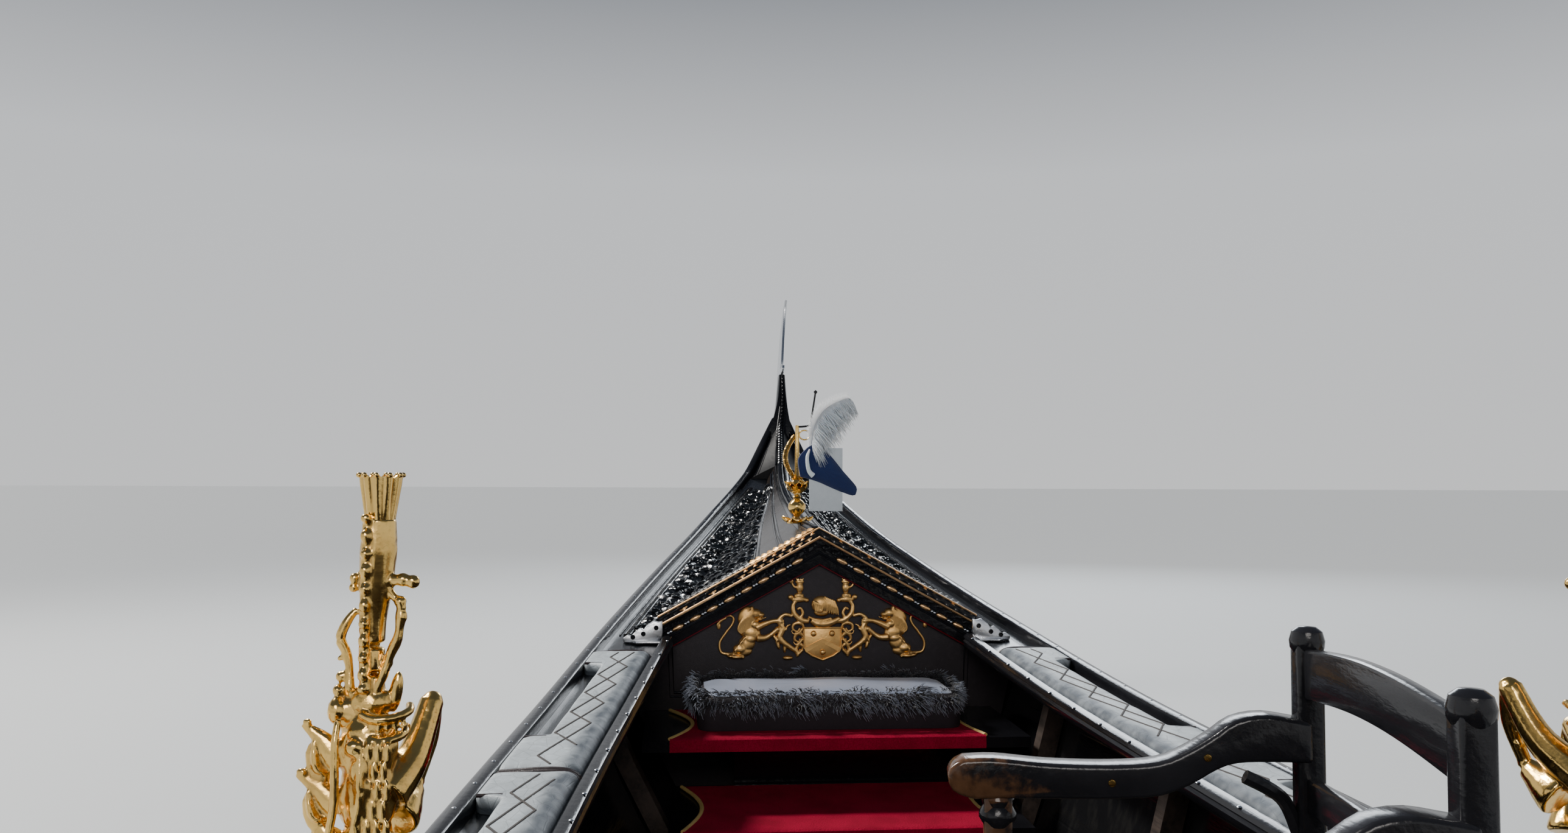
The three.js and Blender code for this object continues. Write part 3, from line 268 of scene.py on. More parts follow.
def hull_finish():
    """The outer planking: lacquer with long seams, dull and slightly green near the waterline."""
    paint = Paint("hull_lacquer", (0.008, 0.008, 0.009), 0.12, Specular_IOR_Level=0.5)
    x, height = (paint.node("ShaderNodeSeparateXYZ", {}, {0: paint.place}, i) for i in (0, 2))
    wave = paint.noise(2.2, 4, paint.stretched(1, 1, 0.3)) - 0.5
    splash = 1 - (height - wave * 0.1).above(0.06, 0.07)
    grain = paint.noise(8, 4, paint.stretched(0.5, 6, 6))
    dirt = paint.noise(30, 6, paint.stretched(1, 1, 0.35))
    tone = paint.mix(dirt.above(0.62, 0.14) * 0.35, (0.008, 0.008, 0.009), (0.035, 0.034, 0.03))
    tone = paint.mix(splash * dirt, tone, (0.045, 0.05, 0.036))
    paint.feed("Base Color", tone)
    paint.feed("Roughness", splash * 0.3 + dirt * 0.16 + 0.05)
    seam = (height * 5.2 + x * 0.02).maths("PINGPONG", 0.5).above(0.012, 0.01)
    first = paint.bump(grain + seam * 0.8, 0.0016, 0.5)
    paint.bump(paint.noise(60, 2), 0.0004, 0.4, first)
    return paint.material


def plain_finish(name, color, gloss):
    """The stage floor: plain and pale, with the faintest unevenness."""
    paint = Paint(name, color, gloss)
    paint.feed("Roughness", paint.noise(2, 3) * 0.08 + gloss)
    return paint.material


LACQUER = lacquer_finish("black_lacquer", (0.0065, 0.0065, 0.008), 0.14, 0)
CARVED = lacquer_finish("carved_lacquer", (0.006, 0.007, 0.009), 0.19, 0, 0.6)
POLISHED = lacquer_finish("polished_strips", (0.016, 0.012, 0.01), 0.24, 0.3, 0.3, 7)
PLATFORM = board_finish("platform_boards", (0.014, 0.011, 0.01), (0.055, 0.036, 0.026), 0.45, 0)
WORN = lacquer_finish("worn_lacquer", (0.012, 0.01, 0.01), 0.24, 0.38, 0.34, 38)
DECK = board_finish("deck_boards", (0.006, 0.006, 0.007), (0.013, 0.012, 0.012), 0.3, 0.12)
ARMCHAIR_LACQUER = lacquer_finish("armchair_lacquer", (0.01, 0.01, 0.012), 0.16, 0.14)
DULL_LACQUER = lacquer_finish("dull_lacquer", (0.006, 0.006, 0.007), 0.5, 0, 0.16)
HULL = hull_finish()
BOTTOM = board_finish("bottom_paint", (0.012, 0.017, 0.02), (0.03, 0.036, 0.036), 0.62, 0.19)
FLOOR_PAINT = board_finish("floor_paint", (0.016, 0.011, 0.009), (0.05, 0.033, 0.024), 0.5, 0.16)
STEEL = metal_finish("polished_steel", (0.66, 0.68, 0.71), (0.2, 0.19, 0.18), 0.24, 0.6)
BRASS = metal_finish("cast_brass", (0.86, 0.56, 0.17), (0.2, 0.07, 0.02), 0.15, 0.75)
GILDING = metal_finish("gilded_relief", (0.93, 0.55, 0.19), (0.1, 0.036, 0.01), 0.38, 0.9, 0.0008)
SILVER = metal_finish("silver_bead", (0.8, 0.82, 0.85), (0.3, 0.3, 0.32), 0.2, 0.4)
PAD_LEATHER = leather_finish("pad_leather", (0.47, 0.52, 0.55), (0.035, 0.048, 0.065), 0.5, 430, 0.9)
BLACK_LEATHER = leather_finish(
    "black_leather", (0.013, 0.007, 0.011), (0.005, 0.003, 0.004), 0.5, 520, 0.25
)
CUSHION_LEATHER = leather_finish(
    "cushion_leather", (0.016, 0.014, 0.016), (0.007, 0.005, 0.006), 0.4, 480, 0.5
)
PIPING = leather_finish("dark_piping", (0.02, 0.008, 0.01), (0.007, 0.005, 0.006), 0.35, 700, 0)
# dark cord along each line of stitches: painted shadow of its groove
SEAM_SHADOW = cloth_finish("seam_shadow", (0.03, 0.028, 0.03), (0.06, 0.045, 0.035), 600, 0.7, 0.0003)
THREAD = cloth_finish("gold_thread", (0.1, 0.06, 0.03), (0.2, 0.13, 0.07), 900, 0.55, 0.0004)
COPPER_GILDING = metal_finish("copper_gilding", (0.93, 0.55, 0.25), (0.16, 0.06, 0.02), 0.28, 0.6, 0.0008)
RED_LINE = lacquer_finish("red_lacquer", (0.12, 0.004, 0.01), 0.25, 0)
CARPET = cloth_finish(
    "red_carpet", (0.27, 0.002, 0.022), (0.41, 0.005, 0.04), 330, 0.97, 0.003, Specular_IOR_Level=0.12
)
EDGING = cloth_finish("yellow_edging", (0.55, 0.36, 0.1), (0.75, 0.55, 0.2), 600, 0.8, 0.0006)
FRINGE = fringe_finish()
POUF_SIDE = cloth_finish("pouf_side", (0.012, 0.008, 0.012), (0.022, 0.014, 0.02), 500, 0.8, 0.0008)
SATIN = cloth_finish(
    "satin_top", (0.17, 0.205, 0.29), (0.22, 0.26, 0.36), 700, 0.42, 0.0003, Sheen_Weight=0.3
)
WALNUT = wood_finish("walnut", (0.055, 0.022, 0.01), (0.2, 0.09, 0.04), 0.27, (0, 0, 0), (0.31, 0.31, 2.9))
OAR_TILT = radians(-26.5)
OAR_YAW = radians(60)
OAR_WOOD = wood_finish("oar_wood", (0.3, 0.15, 0.05), (0.52, 0.31, 0.13), 0.28, (0, OAR_TILT, OAR_YAW))
FELT = cloth_finish(
    "blue_felt", (0.004, 0.016, 0.085), (0.008, 0.027, 0.13), 420, 0.92, 0.001, Sheen_Weight=0.4
)
PLUME = cloth_finish(
    "white_plume", (0.9, 0.92, 0.95), (0.96, 0.97, 0.98), 120, 0.8, 0.0001, 0.9, Sheen_Weight=0.5,
    Subsurface_Weight=0.4
)
CARD = cloth_finish("white_card", (0.62, 0.68, 0.72), (0.68, 0.73, 0.77), 60, 0.5, 0.0001, 0.92)


# The boat's lines, as the model has them
LINES = [
    # distance from amidships, gunwale forward, gunwale aft, bottom
    (0.0, 0.458, 0.458, -0.205),
    (1.0, 0.467, 0.468, -0.19),
    (2.0, 0.492, 0.5, -0.148),
    (3.0, 0.573, 0.59, -0.055),
    (4.0, 0.703, 0.728, 0.132),
    (4.5, 0.804, 0.836, 0.296),
    (5.0, 0.96, 0.99, 0.64),
    (5.2, 1.109, 1.13, 0.9),
    (5.35, 1.278, 1.29, 1.22),
    (5.4, 1.345, 1.35, 1.4),
]
RIDGE = [(2.8, 0.252), (3.4, 0.192), (3.9, 0.158), (4.4, 0.104), (4.85, 0.046), (5.2, 0.03)]
HALF_LENGTH = 5.35
POST_TOP = 1.417
FIT = 0.0004  # what parts neighbouring solids
WALE_WIDTH = 0.032
WALE_HEIGHT = 0.046
COVER_DROP = 0.026
DECK_DROP = 0.022
GABLE_X = 2.856
FLOOR_Z = -0.0796
PORT = 1
STARBOARD = -1
BEAM = {PORT: 0.854, STARBOARD: 0.566}
SIDE_NAME = {PORT: "port", STARBOARD: "starboard"}


def lerp(a, b, t):
    return a + (b - a) * t


def clip(value):
    return min(1, max(0, value))


def through(rows, key):
    """A smooth curve through a column of a table, whose slopes never overshoot."""
    slope = [(b[key] - a[key]) / (b[0] - a[0]) for a, b in zip(rows, rows[1:])]
    tangent = [slope[0]]
    for a, b in zip(slope, slope[1:]):
        tangent.append(0 if a * b <= 0 else 2 * a * b / (a + b))
    tangent.append(slope[-1])

    def at(x):
        i = 0
        while i < len(rows) - 2 and x > rows[i + 1][0]:
            i += 1
        width = rows[i + 1][0] - rows[i][0]
        t = (x - rows[i][0]) / width
        u = 1 - t
        low, high = rows[i][key], rows[i + 1][key]
        lift = tangent[i] * width * t * u * u - tangent[i + 1] * width * t * t * u
        return low * (1 + 2 * t) * u * u + high * (3 - 2 * t) * t * t + lift

    return at


bow_sheer = through(LINES, 1)
stern_sheer = through(LINES, 2)
keel_line = through(LINES, 3)
ridge_line = through(RIDGE, 1)


def plan_share(x):
    """The gunwale's share of its greatest width."""
    return max(0.0, 1 - (x / HALF_LENGTH) ** 2) ** 0.706


def chine_share(x):
    return max(0.0, 1 - (x / 5.0) ** 2) ** 0.9


def post_half(z):
    """Half the width of the stem and sternpost, which grow slimmer upwards."""
    return lerp(0.024, 0.011, clip((z - 0.9) / 0.3))


def sheer(x):
    return stern_sheer(-x) if x < 0 else bow_sheer(x)


def keel(x):
    return keel_line(abs(x))


def plank(x):
    """The planking's thickness."""
    return lerp(0.012, 0.02, plan_share(x))


def mid_line(x):
    return 0.144 * plan_share(x)


def edge(x, side):
    """Outer edge of the gunwale."""
    return BEAM[side] * plan_share(x)


def chine(x, side):
    return max(post_half(keel(x)) + 0.002 + plank(x), 0.61 * BEAM[side] * chine_share(x))


def cover_width(x, side):
    """The side deck's width, which closes up towards the ends."""
    return min(0.138, 0.55 * (edge(x, side) - WALE_WIDTH - 0.024))


def cover_edge(x, side):
    """Inner edge of the side deck."""
    return edge(x, side) - 0.0324 - cover_width(x, side)


def ridge_top(x):
    return sheer(x) + ridge_line(x)


def camber(x):
    """How far the aft deck's middle stands above the gunwales."""
    return lerp(0.034, 0.012, clip((-x - 1.35) / 3.6))


def spaced(start, stop, step):
    """Evenly spaced places, with both ends."""
    return list(np.linspace(start, stop, max(2, round(abs(stop - start) / step) + 1)))


# Mesh building
def linked(name, data):
    """A new object of some data, in the scene."""
    made = bpy.data.objects.new(name, data)
    bpy.context.scene.collection.objects.link(made)
    return made


def per_point(made, name, value):
    """Gives a mesh a point attribute; value takes a point's number and place."""
    layer = made.data.attributes.new(name, "FLOAT", "POINT")
    layer.data.foreach_set("value", [value(i, v.co) for i, v in enumerate(made.data.vertices)])


def along(path, count):
    """Evenly spaced points on a smooth curve through a path's points."""
    rows = [Vector(p) for p in path]
    if len(rows) == 2:
        return [rows[0].lerp(rows[1], t) for t in np.linspace(0, 1, count)]
    fine = []
    for i in range(len(rows) - 1):
        a, b, c, d = rows[max(0, i - 1)], rows[i], rows[i + 1], rows[min(len(rows) - 1, i + 2)]
        for step in range(12):
            t = step / 12
            bend = (a * 2 - b * 5 + c * 4 - d) * t * t + (b * 3 - a - c * 3 + d) * t**3
            fine.append((b * 2 + (c - a) * t + bend) * 0.5)
    fine.append(rows[-1])
    steps = [0.0]
    for a, b in zip(fine, fine[1:]):
        steps.append(steps[-1] + (b - a).length)
    wanted = np.linspace(0, steps[-1], count)
    return [Vector([float(np.interp(w, steps, [p[k] for p in fine])) for k in range(3)]) for w in wanted]


def circle_section(radius, sides, wide=1.0):
    angles = [2 * pi * i / sides for i in range(sides)]
    return [(radius * wide * cos(a), radius * sin(a)) for a in angles]


def facing(place, ahead, up, size=1.0, stretch=(1, 1, 1)):
    """A place whose x runs ahead and whose z points up from a surface."""
    x = Vector(ahead).normalized()
    z = Vector(up)
    z = (z - x * z.dot(x)).normalized()
    turn = Matrix((x, z.cross(x), z)).transposed().to_4x4()
    return Matrix.Translation(place) @ turn @ Matrix.Diagonal((*(size * s for s in stretch), 1))


CROSSWISE = Matrix(((0, 0, 1, 0), (1, 0, 0, 0), (0, 1, 0, 0), (0, 0, 0, 1)))
LENGTHWISE = Matrix(((1, 0, 0, 0), (0, 0, -1, 0), (0, 1, 0, 0), (0, 0, 0, 1)))


class Form:
    """A piece in the making: small shapes are made one by one and joined into it."""

    def __init__(self, place=None):
        self.mesh = bmesh.new()
        self.finish = 0
        self.place = place or Matrix.Identity(4)

    def join(self, shape, place=None):
        """Adds a small shape."""
        self.repeat(shape, [place or Matrix.Identity(4)])

    def repeat(self, shape, places):
        """Copies a small shape to each place, with the finish in use."""
        if self.finish:
            for face in shape.faces:
                face.material_index = self.finish
        small = bpy.data.meshes.new("small")
        shape.to_mesh(small)
        shape.free()
        for place in places:
            copy = small.copy()
            copy.transform(self.place @ place)
            self.mesh.from_mesh(copy)
            bpy.data.meshes.remove(copy)
        bpy.data.meshes.remove(small)

    def skin(self, rings, closed=False, caps=True):
        """A skin through rings of points, by drawing out the first ring's edges."""
        made = bmesh.new()
        first = [made.verts.new(p) for p in rings[0]]
        loop = [made.edges.new((first[i], first[(i + 1) % len(first)])) for i in range(len(first))]
        verts, edges = first, loop
        for ring in rings[1:]:
            new = bmesh.ops.extrude_edge_only(made, edges=edges)["geom"]
            fresh = {v for v in new if isinstance(v, bmesh.types.BMVert)}
            verts = [next(e.other_vert(v) for e in v.link_edges if e.other_vert(v) in fresh) for v in verts]
            for v, p in zip(verts, ring):
                v.co = p
            edges = [e for e in new if isinstance(e, bmesh.types.BMEdge) and not e.link_faces[1:]]
            keep = set(verts)
            edges = [e for e in edges if e.verts[0] in keep and e.verts[1] in keep]
        if closed:
            bmesh.ops.bridge_loops(made, edges=loop + edges)
        elif caps:
            made.faces.new(first)
            made.faces.new(verts)
        self.join(made)

    def sweep(self, points, section, up=(0, 0, 1), closed=False, scale=None):
        """Draws a flat section, rows of (side, up) or a round bar's radius, along points."""
        if isinstance(section, (int, float)):
            section = circle_section(section, 8)
        points = [Vector(p) for p in points]
        up = Vector(up)
        rings = []
        last = len(points) - 1
        for i, point in enumerate(points):
            before = points[i - 1] if closed or i else point
            after = points[(i + 1) % len(points)] if closed or i < last else point
            ahead = (after - before).normalized()
            side = ahead.cross(up)
            if side.length < 1e-4:
                side = ahead.cross(Vector((0.3, 1, 0.1)))
            side.normalize()
            top = side.cross(ahead).normalized()
            grow = scale[i] if scale else 1
            rings.append([point + (side * a + top * b) * grow for a, b in section])
        self.skin(rings, closed)

    def rod(self, points, radius, sides=10, scale=None, count=None, wide=1.0, up=(0, 0, 1)):
        """A round bar along a smooth curve; scale gives its thickness at evenly spaced places."""
        rows = along(points, count or max(2, len(points) * 5))
        grow = None
        if scale:
            grow = list(np.interp(np.linspace(0, 1, len(rows)), np.linspace(0, 1, len(scale)), scale))
        self.sweep(rows, circle_section(radius, sides, wide), up, scale=grow)

    def blob(self, center, radii, turn=(0, 0, 0), detail=2):
        """A rounded lump."""
        radii = (radii,) * 3 if isinstance(radii, (int, float)) else radii
        matrix = Matrix.Translation(center)
        for axis, angle in zip("XYZ", turn):
            matrix = matrix @ Matrix.Rotation(radians(angle), 4, axis)
        made = bmesh.new()
        bmesh.ops.create_icosphere(
            made, subdivisions=detail, radius=1, matrix=matrix @ Matrix.Diagonal((*radii, 1))
        )
        self.join(made)

    def lathe(self, profile, center, axis=(0, 0, 1), steps=32):
        """A turned shape: profile rows are (radius, height along the axis)."""
        made = bmesh.new()
        rows = [made.verts.new((radius, 0, height)) for radius, height in profile]
        lines = [made.edges.new(pair) for pair in zip(rows, rows[1:])]
        bmesh.ops.spin(
            made,
            geom=rows + lines,
            cent=(0, 0, 0),
            axis=(0, 0, 1),
            dvec=(0, 0, 0),
            angle=2 * pi,
            steps=steps,
            use_merge=True,
            use_duplicate=False,
        )
        bmesh.ops.remove_doubles(made, verts=made.verts, dist=1e-6)
        turn = Vector((0, 0, 1)).rotation_difference(Vector(axis)).to_matrix().to_4x4()
        self.join(made, Matrix.Translation(center) @ turn)

    def slab(self, outline, depth, place, bevel=0.0, segments=2):
        """A flat outline, rows of (x, y), given a depth along z, with rounded edges."""
        made = bmesh.new()
        face = made.faces.new([made.verts.new((a, b, 0)) for a, b in outline])
        new = bmesh.ops.extrude_face_region(made, geom=[face])["geom"]
        bmesh.ops.translate(
            made, vec=(0, 0, depth), verts=[v for v in new if isinstance(v, bmesh.types.BMVert)]
        )
        bmesh.ops.recalc_face_normals(made, faces=made.faces)
        round_edges(made, bevel, segments)
        self.join(made, place)

    def box(self, low, high, bevel=0.0, segments=2):
        """A block between two corners, with rounded edges."""
        low, high = Vector(low), Vector(high)
        made = bmesh.new()
        matrix = Matrix.Translation((low + high) / 2) @ Matrix.Diagonal((*(high - low), 1))
        bmesh.ops.create_cube(made, size=1, matrix=matrix)
        round_edges(made, bevel, segments)
        self.join(made)

    def piece(self, name, finishes, slot, replaces=(), body="hull", smooth=35):
        """Makes an object of the form, shades it, and joins it to its body and to the model."""
        bmesh.ops.recalc_face_normals(self.mesh, faces=self.mesh.faces)
        data = bpy.data.meshes.new(name)
        self.mesh.to_mesh(data)
        self.mesh.free()
        made = linked(name, data)
        for finish in finishes if isinstance(finishes, list) else [finishes]:
            data.materials.append(finish)
        data.shade_smooth()
        data.set_sharp_from_angle(angle=radians(smooth))
        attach(made, body)
        if replaces:
            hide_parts(*replaces)
        return made


def round_edges(shape, bevel, segments=2, least=0.6):
    """Bevels the edges that turn by more than a least angle."""
    if bevel:
        bmesh.ops.bevel(
            shape,
            geom=[e for e in shape.edges if e.calc_face_angle(0) > least],
            offset=bevel,
            offset_type="OFFSET",
            affect="EDGES",
            segments=segments,
            profile=0.5,
            material=-1,
            clamp_overlap=True,
        )


def double_frame(form, x, near, far, low, high):
    """Two mouldings, one inside the other, round a flat panel that faces along x."""
    for grow, radius in ((0, 0.005), (0.014, 0.0025)):
        a, b, c, d = near - grow, far + grow, low - grow, high + grow
        form.sweep([(x, a, c), (x, b, c), (x, b, d), (x, a, d)], radius, up=(1, 0, 0), closed=True)


def soft_cube(cuts):
    """A cube from -1 to 1 whose faces are cut up evenly."""
    shape = bmesh.new()
    bmesh.ops.create_cube(shape, size=2)
    bmesh.ops.subdivide_edges(shape, edges=shape.edges, cuts=cuts, use_grid_fill=True)
    return shape


def keep_modifiers(made):
    """Applies an object's modifiers to its mesh."""
    graph = bpy.context.evaluated_depsgraph_get()
    graph.update()
    done = bpy.data.meshes.new_from_object(made.evaluated_get(graph))
    made.modifiers.clear()
    old = made.data
    made.data = done
    bpy.data.meshes.remove(old)


def melt(made, voxel, smooth, share):
    """Melts a piece's separate lumps into one skin, then softens and thins it."""
    remesh = made.modifiers.new("melt", "REMESH")
    remesh.mode = "VOXEL"
    remesh.voxel_size = voxel
    soften = made.modifiers.new("soften", "SMOOTH")
    soften.factor = 0.5
    soften.iterations = smooth
    thin = made.modifiers.new("thin", "DECIMATE")
    thin.ratio = share
    keep_modifiers(made)
    made.data.shade_smooth()


# Planking and gunwales
def bevelled(rows, *rounds):
    """A section with its named corners rounded: rounds are (index, radius)."""
    sizes = dict(rounds)
    out = []
    for i, row in enumerate(rows):
        if i not in sizes:
            out.append(row)
            continue
        here, before, after = Vector(row), Vector(rows[i - 1]), Vector(rows[(i + 1) % len(rows)])
        a = here + (before - here).normalized() * sizes[i]
        b = here + (after - here).normalized() * sizes[i]
        for t in (0, 0.25, 0.5, 0.75, 1):
            p = a.lerp(here, t).lerp(here.lerp(b, t), t)
            out.append((p.x, p.y))
    return out


def along_hull(form, start, stop, side, section, step=0.09):
    """A bar that follows one side of the hull: section(x) gives (y outwards, z) rows."""
    xs = spaced(start, stop, step)
    if max(abs(start), abs(stop)) > 4.9:
        ends = [x for x in spaced(-5.3, 5.3, 0.025) if abs(x) > 4.7]
        xs = sorted({round(x, 4) for x in xs + [e for e in ends if start < e < stop]})
    form.skin([[(x, side * y, z) for y, z in section(x)] for x in xs])


PLANK_ROWS = 9


def side_section(x, side):
    """One side's planking: its outer face from the chine up, then its inner face."""
    low, high = keel(x) + FIT, sheer(x) - WALE_HEIGHT - FIT
    outer = []
    for share in np.linspace(0, 1, PLANK_ROWS):
        bulge = 0.088 * share * (1 - share) * edge(x, side) / BEAM[side]
        outer.append((lerp(chine(x, side), edge(x, side) - 0.008, share) + bulge, lerp(low, high, share)))
    inner = [(max(y - plank(x), post_half(z) + 0.0015), z) for y, z in outer[::-1]]
    return outer + inner


def wale_section(x, side):
    """The gunwale: a bar with a hollow along its outer face."""
    top, outer = sheer(x), edge(x, side)
    inner = outer - min(WALE_WIDTH, outer - post_half(top - WALE_HEIGHT) - 0.001)
    rows = [
        (inner, top - WALE_HEIGHT),
        (outer - 0.003, top - WALE_HEIGHT),
        (outer, top - WALE_HEIGHT + 0.004),
        (outer, top - 0.018),
        (outer - 0.003, top - 0.015),
        (outer - 0.0005, top - 0.011),
        (outer - 0.003, top - 0.004),
        (outer - 0.009, top),
        (inner + 0.007, top),
        (inner + 0.002, top - 0.003),
        (inner, top - 0.009),
    ]
    return rows


def cover_section(x, side):
    """The side deck inside the gunwale."""
    outer = edge(x, side) - WALE_WIDTH - FIT
    inner, top = outer - cover_width(x, side), sheer(x) - COVER_DROP
    return bevelled([(inner, top - 0.016), (outer, top - 0.016), (outer, top), (inner, top)], (3, 0.004))


def rail_section(x, side):
    """The moulded rail along the side deck's inner edge."""
    outer, top = cover_edge(x, side) - FIT, sheer(x) - 0.006
    inner, low = outer - 0.026, top - 0.034
    rows = [
        (inner + 0.006, low),
        (outer, low),
        (outer, top - 0.003),
        (outer - 0.003, top),
        (inner + 0.01, top),
        (inner + 0.004, top - 0.003),
        (inner + 0.001, top - 0.009),
        (inner + 0.004, top - 0.013),
        (inner, top - 0.018),
        (inner + 0.001, low + 0.007),
    ]
    return rows


def small_ball(around, rows, radius=1, flat=(1, 1, 1)):
    """A coarse ball, whole or flattened, for what is repeated hundreds of times."""
    shape = bmesh.new()
    matrix = Matrix.Diagonal((*flat, 1))
    bmesh.ops.create_uvsphere(shape, u_segments=around, v_segments=rows, radius=radius, matrix=matrix)
    return shape


def nail_head(radius, high):
    return small_ball(8, 6, radius, (1, 1, high))


for side, name in SIDE_NAME.items():
    planks = Form()
    along_hull(planks, -5.3, 5.3, side, lambda x: side_section(x, side))
    planks.piece("planking_" + name, HULL, "black_lacquer", ["side_" + name], smooth=50)

    wale = Form()
    along_hull(wale, -5.3, 5.3, side, lambda x: wale_section(x, side))
    wale.finish = 1
    nails = [
        facing((x, side * (edge(x, side) - 0.018), sheer(x)), (1, 0, 0.05), (0, 0, 1))
        for x in spaced(-5.0, 5.0, 0.125)
    ]
    wale.repeat(nail_head(0.0036, 0.5), nails)
    wale.piece("gunwale_" + name, [LACQUER, STEEL], "black_lacquer", ["wale_" + name])

    cover = Form()
    along_hull(cover, -4.9996, 4.9996, side, lambda x: cover_section(x, side))
    cover.piece("side_cover_" + name, CARVED, "black_lacquer", ["side_deck_" + name])

    rail = Form()
    along_hull(rail, -1.33, 2.794, side, lambda x: rail_section(x, side))
    rail.finish = 1
    screws = []
    for x in spaced(-1.25, 2.74, 0.13):
        place = (x, side * (cover_edge(x, side) - 0.0195), sheer(x) - 0.0062)
        screws.append(facing(place, (1, 0, 0.05), (0, 0, 1)))
    rail.repeat(nail_head(0.0042, 0.4), screws)
    rail.piece("coaming_rail_" + name, [LACQUER, STEEL], "black_lacquer", ["inner_rail_" + name])


# Cheeks that carry the gunwales up the stem and sternpost to a slim head
def make_cheeks(way):
    """Two tapered timbers at one end of the boat; way is 1 at the bow and -1 at the stern."""
    form = Form()
    for side in SIDE_NAME:
        rings = []
        for t in np.linspace(0, 1, 14):
            top = lerp(sheer(way * 5.3) - 0.001, POST_TOP, t)
            sag = (1 - t) ** 2.2
            inner = post_half(top - 0.05 * sag) + FIT
            half = lerp(edge(5.3, side) - 0.0005, inner + 0.003, t ** 0.6)
            front = 5.302 + 0.107 * t ** 1.1
            foot = front - lerp(0.062, 0.086, t)
            wide = lerp(half - 0.004, edge(5.24, side) - 0.014, sag)
            low, mid = top - 0.034 * sag, top + 0.002 - 0.098 * sag
            rings.append(
                [
                    (way * front, side * inner, low - 0.006),
                    (way * (front - 0.003), side * (half - 0.003), low - 0.005),
                    (way * (front - 0.012), side * half, low - 0.004),
                    (way * (foot + 0.012), side * lerp(half, wide, 0.7 * sag), mid - 0.001),
                    (way * foot, side * lerp(wide, inner + 0.001, t), mid), (way * foot, side * inner, mid)
                ]
            )
        form.skin(rings)
    form.piece("bow_cheeks" if way > 0 else "stern_cheeks", LACQUER, "black_lacquer")


HOOK_RISE = 0.0385


def make_breasthook(way, name):
    """The small roof between the gunwales where the deck meets the stem or the sternpost."""
    form = Form()
    rings = []
    for x in spaced(5.0004, 5.2396, 0.02):
        x *= way
        eave, ridge = sheer(x) - COVER_DROP, sheer(x) + HOOK_RISE
        port, star = (side * (edge(x, side) - WALE_WIDTH - FIT) for side in SIDE_NAME)
        ring = [(x, port, eave - 0.014), (x, star, eave - 0.014)]
        for foot, shares in ((star, (0, 0.5, 0.9, 1)), (port, (0.9, 0.5, 0))):
            for share in shares:
                rise = share + 0.03 if 0 < share < 1 else share
                ring.append((x, lerp(foot, mid_line(x), share), lerp(eave, ridge, rise)))
        rings.append(ring)
    form.skin(rings)
    form.finish = 1
    for side in SIDE_NAME:
        for share, radius in ((0.16, 0.003), (0.26, 0.0018)):
            path = []
            for x in spaced(5.006, 5.225, 0.03):
                x *= way
                y = side * (edge(x, side) - WALE_WIDTH)
                rise = lerp(-COVER_DROP, HOOK_RISE, share) + 0.001
                path.append((x, lerp(y, mid_line(x), share), sheer(x) + rise))
            form.sweep(path, radius)
    form.piece(
        name, [DULL_LACQUER, LACQUER], "black_lacquer", ["breasthook_fore" if way > 0 else "breasthook_aft"]
    )


for way in (1, -1):
    make_cheeks(way)
make_breasthook(1, "bow_breasthook")
make_breasthook(-1, "stern_breasthook")


# Leather pads on the side decks
PADS = [
    # name, from, to, recess from, recess to, first outer stitch point
    ("fore", 1.705, 2.62, 1.9, 2.5, 2.55),
    ("middle", 1.075, 1.69, 1.2, 1.56, 1.565),
    ("aft", -0.25, 0.868, 0.0, 0.7, 0.78),
]
STITCH_PITCH = 0.155
STITCH_AHEAD = 0.222
STITCH_BACK = -0.089
RECESS_WIDTH = 0.042
PAD_HIGH = 0.0262
PAD_INSET = 0.003
STITCH_PUFF = 0.0022
STITCH_STEP = 0.0085


def pad_outer(x, side, recess):
    """Outer edge of a pad, which steps in with round corners for the recess."""
    start, stop = recess
    step = clip((x - start) / 0.02) * clip((stop - x) / 0.02)
    step = step * step * (3 - 2 * step)
    return edge(x, side) - WALE_WIDTH - 0.002 - RECESS_WIDTH * step


def stitch_lines(side, first, start, stop, recess):
    """Lines of stitches as pairs of points (x, y): each outer point sends one line ahead and one back."""
    lines = []
    count = int((stop - start) / STITCH_PITCH) + 1
    for k in range(count):
        at = first - k * STITCH_PITCH
        if at < start + 0.03:
            break
        outer = min(edge(at, side) - WALE_WIDTH - 0.052, pad_outer(at, side, recess) - 0.006)
        for reach in (STITCH_AHEAD, STITCH_BACK):
            to = at + reach
            share = 1.0
            if to > stop - 0.025:
                share = (stop - 0.025 - at) / reach
            if to < start + 0.02:
                share = (at - start - 0.02) / -reach
            inner = cover_edge(to, side) + 0.034
            if share > 0.15:
                lines.append(((at, outer), (at + reach * share, lerp(outer, inner, share))))
    return lines


